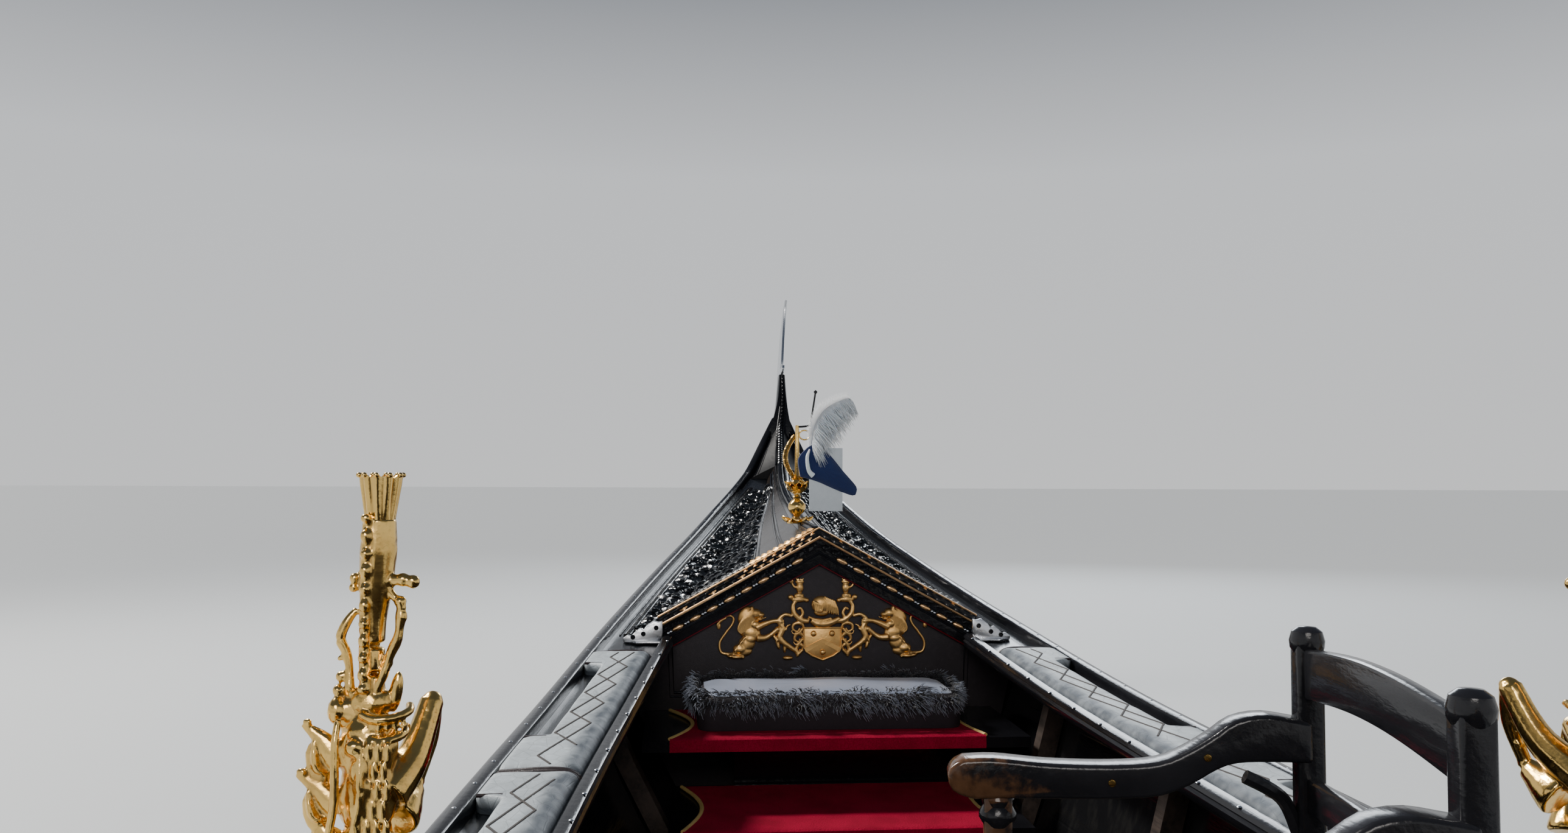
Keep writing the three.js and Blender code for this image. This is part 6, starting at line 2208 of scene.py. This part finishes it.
def trim_cushion(name, made, low, high, place, wells, inverse):
    """Piping round a cushion's seams, where its leather reaches farthest, and its buttons."""
    form = Form(place)
    middle = (Vector(low) + Vector(high)) / 2
    for height in (low[2] + 0.006, high[2] - 0.004):
        rows = [inverse @ v.co for v in made.data.vertices]
        rows = [(atan2(p.y - middle.y, p.x - middle.x), p) for p in rows if abs(p.z - height) < 0.004]
        ring = []
        for k in range(72):
            a = pi * k / 36 - pi
            close = [p for b, p in rows if abs((a - b + pi) % (2 * pi) - pi) < 0.06]
            if close:
                far = max(close, key=lambda p: (p.x - middle.x) ** 2 + (p.y - middle.y) ** 2)
                ring.append((far.x, far.y, height))
        form.sweep(ring, 0.0036, closed=True)
    top = {}
    for v in made.data.vertices:
        p = inverse @ v.co
        for i, well in enumerate(wells):
            if hypot(p.x - well.x, p.y - well.y) < 0.008 and p.z > middle.z:
                top[i] = max(top.get(i, -9), p.z)
    for i, height in top.items():
        form.blob((wells[i].x, wells[i].y, height), (0.009, 0.009, 0.004), detail=2)
    form.piece(name + "_piping", PIPING, "black_leather")


make_armchair()
seat_cushions()


# Main seat: bench front, carved back with its padded rest
BENCH_MIDDLE = 0.143
BENCH_HALF = 0.49
BENCH_TOP = 0.25
BENCH_BACK = -0.64
LEAN = 0.16


def back_point(u, height, out=0.0):
    """A point on the seat back's front face: u to port of its middle."""
    return Vector((BENCH_BACK + 0.022 - LEAN * (height - BENCH_TOP) + out, BENCH_MIDDLE + u, height))


def back_outline():
    rows = [
        (-0.49, 0.2504), (-0.49, 0.45), (-0.488, 0.6), (-0.47, 0.668), (-0.43, 0.7), (-0.37, 0.712),
        (-0.3, 0.722), (-0.24, 0.742), (-0.18, 0.792), (-0.13, 0.848), (-0.07, 0.886), (0, 0.9)
    ]
    half = along([(0, u, z) for u, z in rows], 75)
    return [(p.y, p.z) for p in half] + [(-p.y, p.z) for p in half[-2::-1]]


def make_seat_back():
    """The carved board behind the main seat, with its padded and buttoned rest."""
    form = Form()
    rows = back_outline()
    rings = []
    for depth, shrink in ((0.0, 0.994), (0.004, 1.0), (0.024, 1.0), (0.028, 0.994)):
        ring = []
        for u, z in rows:
            high = BENCH_TOP + FIT + (z - BENCH_TOP) * (shrink if z > 0.3 else 1)
            p = back_point(u * shrink, high)
            ring.append((p.x - 0.028 + depth, p.y, p.z))
        rings.append(ring)
    form.skin(rings)
    leaves, scrolls, shell = [], [], []
    for sign in (-1, 1):
        for u, z, turn, size in (
            (0.05, 0.79, 80, 0.1), (0.11, 0.755, 20, 0.1), (0.17, 0.715, -10, 0.09), (0.25, 0.69, -5, 0.1),
            (0.33, 0.675, -8, 0.09), (0.41, 0.65, -25, 0.09), (0.09, 0.8, 40, 0.08),
            (0.15, 0.765, 10, 0.07), (0.455, 0.59, -80, 0.09), (0.455, 0.49, -88, 0.09),
            (0.455, 0.39, -88, 0.09)
        ):
            a = radians(turn)
            ahead = Vector((-LEAN * sin(a), sign * cos(a), sin(a)))
            leaves.append(
                facing(
                    back_point(sign * u * 0.955, z - 0.022, 0.001), ahead, (1, 0, LEAN), size * 0.74,
                    (1, 1, 0.8)
                )
            )
        for u, z, size in (
            (0.075, 0.715, 0.07), (0.15, 0.7, 0.055), (0.235, 0.685, 0.045), (0.21, 0.735, 0.05),
            (0.3, 0.695, 0.05), (0.385, 0.675, 0.05), (0.455, 0.645, 0.05)
        ):
            scrolls.append(facing(back_point(sign * u, z, 0.001), (0, sign, 0.2), (1, 0, LEAN), size))
    for k in range(9):
        a = radians(20 + 17.5 * k)
        ahead = Vector((-LEAN * sin(a), cos(a), sin(a)))
        shell.append(facing(back_point(0, 0.8, 0.002) + ahead * 0.012, ahead, (1, 0, LEAN), 0.055))
    form.repeat(leaf_shape(3, 0.3), leaves)
    form.repeat(scroll_shape(), scrolls)
    for grow, out, radius in ((0.985, -0.0285, 0.005), (0.93, -0.0285, 0.003)):
        line = [
            back_point(u * grow, BENCH_TOP + (z - BENCH_TOP) * (grow + 0.005), out)
            for u, z in rows
            if z > 0.28
        ]
        form.sweep(line, radius, up=(1, 0, 0))
    rear = []
    for sign in (-1, 1):
        for k in range(7):
            a = radians(8 + 24 * k)
            rear.append(
                facing(
                    back_point(sign * 0.012, 0.6, -0.0282), (LEAN * sin(a), sign * cos(a), sin(a)),
                    (-1, 0, -LEAN), 0.1 - 0.006 * k
                )
            )
        for u, z, turn in ((0.16, 0.58, 10), (0.25, 0.57, -15), (0.33, 0.54, -40), (0.38, 0.47, -75)):
            a = radians(turn)
            rear.append(
                facing(
                    back_point(sign * u, z, -0.0282), (LEAN * sin(a), sign * cos(a), sin(a)),
                    (-1, 0, -LEAN), 0.085
                )
            )
    form.repeat(leaf_shape(3, 0.3), rear)
    form.finish = 1
    form.repeat(leaf_shape(3, 0.3), shell)
    rim = [back_point(u * 0.972, BENCH_TOP + (z - BENCH_TOP) * 0.978, 0.002) for u, z in rows if z > 0.27]
    form.sweep(rim, 0.0045, up=(1, 0, 0))
    inner = [back_point(u * 0.925, BENCH_TOP + (z - BENCH_TOP) * 0.935, 0.001) for u, z in rows if z > 0.27]
    form.sweep(inner, circle_section(0.0022, 6), up=(1, 0, 0))
    form.blob(back_point(0, 0.81, 0.004), (0.01, 0.018, 0.018), detail=2)
    form.piece("carved_seat_back", [LACQUER, GILDING], "black_lacquer", ["seat_back"])

    low, high = (BENCH_BACK + 0.026, BENCH_MIDDLE - 0.452, 0.356), (
        BENCH_BACK + 0.078, BENCH_MIDDLE + 0.452, 0.634
    )
    pad = Form()
    shape = soft_cube(13)
    a, b = Vector(low), Vector(high)
    middle, size = (a + b) / 2, (b - a) / 2
    for v in shape.verts:
        x, y, z = v.co
        rim = max(abs(y), abs(z)) ** 5
        px = x * size.x * (1 - 0.45 * rim) - 0.45 * rim * size.x
        py = copysign(size.y - 0.01 * (1 - z * z), y) * abs(y)
        pz = copysign(size.z - 0.008 * (1 - y * y), z) * abs(z)
        p = Vector((px, py, pz)) + middle
        p.x -= LEAN * (p.z - BENCH_TOP)
        v.co = p
    pad.join(shape)
    rest = pad.piece("back_rest", CUSHION_LEATHER, "black_leather", ["back_cushion"], smooth=180)
    swell(rest, 0.01, 0.0105)
    studs = Form()
    wells = []
    for row in range(4):
        z = 0.395 + 0.066 * row
        for k in range(9 if row % 2 else 8):
            wells.append((BENCH_MIDDLE - 0.4 + (0.0 if row % 2 else 0.05) + 0.1 * k, z))
    for v in rest.data.vertices:
        face = v.co.x + LEAN * (v.co.z - BENCH_TOP)
        if face > middle.x:
            drop = sum(0.014 * exp(-(((v.co.y - y) ** 2 + (v.co.z - z) ** 2) / 0.018**2)) for y, z in wells)
            v.co.x -= drop
        else:
            v.co.x = max(v.co.x, BENCH_BACK + 0.0228 - LEAN * (v.co.z - BENCH_TOP))
    rest.data.update()
    faces = {}
    for v in rest.data.vertices:
        for i, (y, z) in enumerate(wells):
            if abs(v.co.y - y) < 0.007 and abs(v.co.z - z) < 0.007:
                faces[i] = max(faces.get(i, -9), v.co.x)
    for i, x in faces.items():
        studs.blob((x, wells[i][0], wells[i][1]), (0.004, 0.008, 0.008), detail=2)
    studs.piece("back_rest_buttons", PIPING, "black_leather")


def make_bench():
    """The bench keeps the model's box, dressed with a framed front and mouldings."""
    form = Form()
    front = -0.16
    places = []
    for u in (-0.24, 0.24):
        middle = BENCH_MIDDLE + u
        double_frame(form, front + 0.001, middle - 0.19, middle + 0.19, 0.02, 0.2)
        for k in range(8):
            a = pi * k / 4 + 0.3
            places.append(facing((front + 0.001, middle, 0.11), (0, cos(a), sin(a)), (1, 0, 0), 0.07))
    form.repeat(leaf_shape(3, 0.25), places)
    form.finish = 1
    form.sweep(
        [(front + 0.003, BENCH_MIDDLE + y, BENCH_TOP - 0.006) for y in (-BENCH_HALF, 0, BENCH_HALF)],
        circle_section(0.006, 10), up=(1, 0, 0)
    )
    form.piece("bench_front", [LACQUER, GILDING], "black_lacquer")


make_bench()
make_seat_back()


# Stool
def make_stool():
    """Four turned legs with stretchers under a square seat."""
    form = Form(Matrix.Translation((0.76, 0.35, FLOOR_Z)))
    for sx in (-1, 1):
        for sy in (-1, 1):
            x, y = sx * 0.12, sy * 0.12
            form.lathe(
                [
                    (0, 0), (0.013, 0), (0.016, 0.012), (0.011, 0.03), (0.013, 0.06), (0.0155, 0.11),
                    (0.012, 0.15), (0.016, 0.158), (0.012, 0.168), (0.0155, 0.2), (0.0155, 0.255),
                    (0, 0.256)
                ],
                (x, y, 0), steps=20
            )
            form.box((x - 0.0155, y - 0.0155, 0.2), (x + 0.0155, y + 0.0155, 0.262), 0.003, 2)
    form.box((-0.14, -0.14, 0.252), (0.14, 0.14, 0.3), 0.006, 3)
    for sy in (-1, 1):
        form.box((-0.12, sy * 0.12 - 0.008, 0.082), (0.12, sy * 0.12 + 0.008, 0.104), 0.003, 2)
    form.finish = 1
    for sy in (-1, 1):
        form.sweep([(t, sy * 0.1402, 0.262) for t in (-0.134, 0.134)], 0.0028)
        form.sweep([(sy * 0.1402, t, 0.262) for t in (-0.134, 0.134)], 0.0028)
    form.piece("turned_stool", [WORN, GILDING], "worn_lacquer", ["stool"])


make_stool()


# Prow iron, and the brackets at the gable's feet
def iron_edge(z):
    """How far ahead the stem's outer edge is at a height."""
    low, high = 4.7, 5.4
    for _ in range(30):
        middle = (low + high) / 2
        rise = (keel_line(middle + 0.005) - keel_line(middle - 0.005)) / 0.01
        if keel_line(middle) - 0.024 / hypot(rise, 1) < z:
            low = middle
        else:
            high = middle
    rise = (keel_line(low + 0.005) - keel_line(low - 0.005)) / 0.01
    return low + 0.024 * rise / hypot(rise, 1)


IRON_HALF = 0.006
IRON_LEAN = 0.075


def make_prow_iron():
    """The flat iron on the stem: six teeth, a curved blade that leans to starboard, and rivets."""
    back = [(iron_edge(z) + (0.003 if z > 1.34 else 0.0013), z) for z in spaced(0.56, 1.38, 0.041)]
    front = []
    for i in range(6):
        z = 0.905 + 0.076 * i
        x = iron_edge(z) + 0.046
        front += [
            (x, z), (x + 0.08, z + 0.001), (x + 0.09, z + 0.008), (x + 0.092, z + 0.019),
            (x + 0.09, z + 0.03), (x + 0.08, z + 0.037), (x + 0.006, z + 0.038)
        ]
    head = [
        (5.428, 1.402), (5.476, 1.386), (5.52, 1.388), (5.552, 1.41), (5.574, 1.446), (5.588, 1.49),
        (5.593, 1.54), (5.59, 1.6), (5.578, 1.656), (5.556, 1.702), (5.528, 1.74), (5.498, 1.767),
        (5.468, 1.784), (5.452, 1.789), (5.462, 1.764), (5.463, 1.735), (5.458, 1.69), (5.448, 1.64),
        (5.434, 1.598), (5.418, 1.56), (5.404, 1.528), (5.392, 1.497), (5.387, 1.47), (5.386, 1.452),
        (5.345, 1.458), (5.3, 1.462), (5.292, 1.447), (5.3, 1.432), (5.36, 1.42)
    ]
    low = [
        (iron_edge(z) + out, z)
        for z, out in ((0.56, 0.012), (0.63, 0.03), (0.7, 0.046), (0.77, 0.047), (0.84, 0.046))
    ]
    outline = low + front + head + back[:0:-1]
    form = Form()
    form.slab(outline, 2 * IRON_HALF, Matrix.Translation((0, IRON_HALF, 0)) @ LENGTHWISE, 0.0022, 2)
    for v in form.mesh.verts:
        v.co.y -= max(0, v.co.z - 1.4) * IRON_LEAN
    form.finish = 1
    rivets = []
    for side in SIDE_NAME:
        for z in spaced(0.62, 1.34, 0.09):
            rivets.append(facing((iron_edge(z) + 0.02, side * IRON_HALF, z), (0, 0, 1), (0, side, 0)))
    form.repeat(nail_head(0.0055, 0.5), rivets)
    form.piece("prow_comb", [STEEL, SILVER], "steel", ["prow_iron"])


def make_brackets():
    """A scalloped steel bracket at each foot of the gable."""
    for side, name in SIDE_NAME.items():
        at = GABLE_X - 0.052
        inner, outer = cover_edge(at, side) + 0.002, cover_edge(at, side) + 0.1
        foot = sheer(at + 0.012) - COVER_DROP + FIT
        rows = [
            (inner, foot), (outer, foot), (outer + 0.001, foot + 0.01), (outer - 0.012, foot + 0.019),
            (outer - 0.02, foot + 0.015), (outer - 0.03, foot + 0.026), (outer - 0.042, foot + 0.036),
            (outer - 0.05, foot + 0.03), (outer - 0.058, foot + 0.041), (inner + 0.022, foot + 0.054),
            (inner + 0.01, foot + 0.05), (inner, foot + 0.053)
        ]
        plate = Form()
        plate.slab(
            [(side * y, z) for y, z in rows], 0.012, Matrix.Translation((at, 0, 0)) @ CROSSWISE, 0.0022, 2
        )
        plate.slab(
            [
                (at - 0.03, side * (inner + 0.004)), (at + 0.01, side * (inner + 0.004)),
                (at + 0.01, side * (outer - 0.006)), (at - 0.008, side * (outer - 0.004)),
                (at - 0.016, side * (outer - 0.022)), (at - 0.03, side * (outer - 0.034)),
                (at - 0.024, side * (outer - 0.056))
            ],
            0.0045, Matrix.Translation((0, 0, foot)), 0.0012, 2
        )
        plate.finish = 1
        for y, z in (
            (outer - 0.024, foot + 0.013), (outer - 0.05, foot + 0.021), (inner + 0.016, foot + 0.036)
        ):
            plate.lathe(
                [(0, 0), (0.0062, 0), (0.006, 0.0016), (0.0046, 0.0022), (0.004, 0.0006), (0, 0.0004)],
                (at - 0.0002, side * y, z), (-1, 0, 0), 16
            )
        plate.piece("gable_bracket_" + name, [STEEL, LACQUER], "steel", ["bracket_" + name])


make_prow_iron()
make_brackets()


# Aft deck: mouldings and the rower's sloping stand
def aft_deck_point(x, side, share):
    """A point on the aft deck: share runs from the side deck, 0, to the middle, 1."""
    outer, inner = cover_edge(x, side) - FIT, side * mid_line(x) + FIT
    return (x, side * lerp(outer, inner, share), lerp(sheer(x) - DECK_DROP, sheer(x) + camber(x), share))


def make_aft_trim():
    form = Form()
    for side in SIDE_NAME:
        for share, radius in ((0.04, 0.0045), (0.1, 0.0025)):
            points = [aft_deck_point(x, side, share) for x in spaced(-4.95, -1.4, 0.07)]
            form.sweep([(x, y, z + radius * 0.3) for x, y, z in points], radius)
    for start, stop in ((-4.95, -4.1), (-3.25, -1.4)):
        form.sweep(
            [(x, mid_line(x), sheer(x) + camber(x) + 0.001) for x in spaced(start, stop, 0.07)], 0.009
        )
    double_frame(form, -1.3495, -0.3, 0.58, 0.05, 0.36)
    form.piece("aft_mouldings", LACQUER, "black_lacquer")


make_aft_trim()


def aft_deck_height(x, y):
    side = PORT if y > mid_line(x) else STARBOARD
    outer, inner = cover_edge(x, side) - FIT, side * mid_line(x) + FIT
    return aft_deck_point(x, side, (outer - side * y) / (outer - inner))[2]


def make_platform():
    """The rower's stand: five boards on three cross pieces, between two cheeks cut to the deck's slope."""
    form = Form()
    low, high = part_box("rowing_platform")
    foot = low[2] + 0.049
    slope = (high[2] - foot) / (high[0] - low[0])
    top = lambda x: high[2] - (x - low[0]) * slope
    count = 5
    wide = (high[1] - low[1]) / count
    for k in range(count):
        a, b = low[1] + wide * k + 0.0012, low[1] + wide * (k + 1) - 0.0012
        shape = [
            (low[0] + 0.001, top(low[0]) - 0.022), (high[0] - 0.001, top(high[0]) - 0.022),
            (high[0] - 0.001, top(high[0])), (low[0] + 0.001, top(low[0]))
        ]
        form.slab(shape, b - a, Matrix.Translation((0, b, 0)) @ LENGTHWISE, 0.0035, 3)
    form.finish = 1
    for y in (low[1] + 0.005, high[1] - 0.029):
        xs = spaced(low[0] + 0.012, high[0] - 0.012, 0.12)
        shape = [(x, aft_deck_height(x, y + 0.012) + 0.006) for x in xs] + [
            (x, top(x) - 0.0224) for x in xs[::-1]
        ]
        form.slab(shape, 0.024, Matrix.Translation((0, y + 0.024, 0)) @ LENGTHWISE, 0.002, 2)
    for x in (low[0] + 0.05, (low[0] + high[0]) / 2 - 0.02, high[0] - 0.09):
        z = top(x + 0.04) - 0.0225
        form.box((x, low[1] + 0.031, z - 0.018), (x + 0.04, high[1] - 0.031, z), 0.003, 2)
    form.finish = 2
    heads = []
    for k in range(count):
        y = low[1] + wide * (k + 0.5)
        for x in (low[0] + 0.07, (low[0] + high[0]) / 2, high[0] - 0.07):
            for off in (-0.017, 0.017):
                heads.append(facing((x, y + off, top(x) + 0.0001), (1, 0, -slope), (slope, 0, 1)))
    form.repeat(nail_head(0.0034, 0.35), heads)
    form.piece("sloping_stand", [PLATFORM, WORN, STEEL], "worn_lacquer", ["rowing_platform"])


make_platform()

# The forcola, carved from one block: the model's solid with every edge worn round
forcola = Form()
block = bmesh.new()
block.from_mesh(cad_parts["forcola"].data)
bmesh.ops.remove_doubles(block, verts=block.verts, dist=0.00001)
forcola.join(block)
crutch = forcola.piece("walnut_forcola", WALNUT, "walnut", ["forcola"])
melt(crutch, 0.003, 14, 0.35)

# The oar: a round loom with a turned grip, and a thin blade whose faces rise to a ridge
OAR_STATIONS = [
    # distance from the notch, half width, half thickness
    (-2.7595, 0.046, 0.0022),
    (-2.752, 0.062, 0.0038),
    (-2.735, 0.073, 0.0051),
    (-2.7, 0.079, 0.0059),
    (-2.3, 0.0708, 0.0085),
    (-1.9, 0.0612, 0.0108),
    (-1.6, 0.0455, 0.016),
    (-1.3, 0.03, 0.0216),
    (-1.1, 0.0262, 0.0228),
    (-0.9, 0.024, 0.0232),
    (-0.3, 0.023, 0.023),
    (0.3, 0.023, 0.023),
    (0.9, 0.0205, 0.0205),
    (1.262, 0.0184, 0.0184),
    (1.27, 0.0168, 0.0168),
    (1.34, 0.0164, 0.0164),
    (1.4, 0.016, 0.016),
    (1.412, 0.0166, 0.0166),
    (1.424, 0.0154, 0.0154),
    (1.4295, 0.009, 0.009),
]


def make_oar():
    """The oar is drawn along its own x axis, with its pivot in the forcola's notch at 0."""
    pivot = Matrix.Translation((-2.6, -0.371716, 0.926186))
    form = Form(pivot @ Matrix.Rotation(OAR_YAW, 4, "Z") @ Matrix.Rotation(OAR_TILT, 4, "Y"))
    rings = []
    for x, half, thick in OAR_STATIONS:
        ridge = float(np.interp(x, (-1.6, -1.1), (1, 0)))
        ring = []
        for k in range(28):
            c, s = cos(2 * pi * k / 28), sin(2 * pi * k / 28)
            rise = lerp(abs(s), 0.12 * abs(s) + 0.88 * (1 - abs(c) ** 1.25), ridge)
            ring.append((x, half * c, copysign(thick * rise, s)))
        rings.append(ring)
    form.skin(rings)
    form.piece("ridged_oar", OAR_WOOD, "oar_wood", ["oar"], "oar", 50)


make_oar()


# Model pieces whose shape stays
KEPT = (
    (LACQUER, "stem sternpost aft_bulkhead thwart thwart_riser step step_riser bench forcola_socket"),
    (DECK, "aft_deck_port aft_deck_starboard"),
    (FLOOR_PAINT, "frames floorboards"),
    (BOTTOM, "hull_bottom"),
    (BLACK_LEATHER, "end_panel"),
    (STEEL, "stern_iron"),
)
for finish, names in KEPT:
    for name in names.split():
        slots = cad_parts[name].data.materials
        if slots:
            slots[0] = finish
        else:
            slots.append(finish)


# Stage, light and camera
EYE = (-0.27, 0.473, 0.95)
EYE_TURNS = (-4.94, 2.79, 0.24)  # degrees to port, up, and of lean
SENSOR = 36.0
FOCAL_PIXELS = 1980
PHOTO_PIXELS = 2576
FLOOR_REACH = 90


def place_camera():
    """Stands at the photograph's place, with its angle and lens."""
    yaw, pitch, roll = (radians(a) for a in EYE_TURNS)
    ahead = Vector((cos(yaw) * cos(pitch), sin(yaw) * cos(pitch), sin(pitch)))
    level = Vector((sin(yaw), -cos(yaw), 0))
    top = level.cross(ahead)
    right = level * cos(roll) + top * sin(roll)
    up = top * cos(roll) - level * sin(roll)
    data = bpy.data.cameras.new("camera")
    data.sensor_width = SENSOR
    data.lens = SENSOR * FOCAL_PIXELS / PHOTO_PIXELS
    data.clip_start = 0.02
    data.clip_end = 500
    camera = linked("camera", data)
    camera.matrix_world = Matrix.Translation(EYE) @ Matrix((right, up, -ahead)).transposed().to_4x4()
    bpy.context.scene.camera = camera


def waterline():
    """The hull's outline at the floor's height, a little inside the planking's outer face."""
    rows = []
    for side, order in ((PORT, 1), (STARBOARD, -1)):
        half = []
        for x in spaced(-3.33, 3.33, 0.1):
            outwards, heights = zip(*side_section(x, side)[:PLANK_ROWS])
            half.append((x, side * (float(np.interp(0, heights, outwards)) - 0.006)))
        rows += half[::order]
    return rows


def lay_floor():
    floor = bmesh.new()
    rim = [
        floor.verts.new((FLOOR_REACH * a, FLOOR_REACH * b, 0))
        for a, b in ((-1, -1), (1, -1), (1, 1), (-1, 1))
    ]
    hole = [floor.verts.new((x, y, 0)) for x, y in waterline()]
    edges = []
    for loop in (rim, hole):
        edges += [floor.edges.new((loop[i], loop[(i + 1) % len(loop)])) for i in range(len(loop))]
    bmesh.ops.triangle_fill(floor, edges=edges, use_beauty=True, normal=(0, 0, 1))
    for face in floor.faces:
        if face.normal.z < 0:
            face.normal_flip()
    data = bpy.data.meshes.new("floor")
    floor.to_mesh(data)
    floor.free()
    made = linked("floor", data)
    data.materials.append(plain_finish("pale_floor", (0.62, 0.64, 0.65), 0.6))


def lamp(name, place, target, size, power, color):
    data = bpy.data.lights.new(name, "AREA")
    data.shape = "RECTANGLE"
    data.size, data.size_y = size
    data.energy = power
    data.color = color
    turn = (Vector(target) - Vector(place)).to_track_quat("-Z", "Y").to_matrix().to_4x4()
    linked(name, data).matrix_world = Matrix.Translation(place) @ turn


def light_studio():
    """A pale horizon under a darker ceiling, a soft sun from ahead and to port, and two broad lamps."""
    world = bpy.data.worlds.new("studio")
    bpy.context.scene.world = world
    world.use_nodes = True
    nodes, links = world.node_tree.nodes, world.node_tree.links
    place = nodes.new("ShaderNodeTexCoord")
    split = nodes.new("ShaderNodeSeparateXYZ")
    ramp = nodes.new("ShaderNodeValToRGB")
    stops = [
        (0, (0.86, 0.87, 0.88)), (0.24, (0.8, 0.82, 0.85)), (0.46, (0.1, 0.12, 0.16)),
        (1, (0.08, 0.1, 0.14))
    ]
    elements = ramp.color_ramp.elements
    while len(elements) < len(stops):
        elements.new(1.0)
    for element, (position, color) in zip(elements, stops):
        element.position = position
        element.color = (*color, 1.0)
    links.new(place.outputs["Generated"], split.inputs[0])
    links.new(split.outputs[2], ramp.inputs[0])
    links.new(ramp.outputs[0], nodes["Background"].inputs["Color"])
    nodes["Background"].inputs["Strength"].default_value = 0.9
    sun = bpy.data.lights.new("sun", "SUN")
    sun.energy = 3.4
    sun.angle = 0.12
    sun.color = (1.0, 0.97, 0.92)
    linked("sun", sun).matrix_world = Vector((3.0, 4.2, 6.0)).to_track_quat("Z", "Y").to_matrix().to_4x4()
    lamp("back", (-2.6, 0.9, 2.6), (2.8, 0.1, 0.6), (2.0, 1.2), 62, (1.0, 0.95, 0.9))
    lamp("key", (6.0, 5.0, 5.5), (2.0, 0.2, 0.4), (2.0, 2.0), 300, (1.0, 0.97, 0.92))
    lamp("rim", (11.0, -3.0, 4.5), (3.0, 0, 0.6), (4.0, 2.5), 240, (0.88, 0.94, 1.0))


place_camera()
lay_floor()
light_studio()
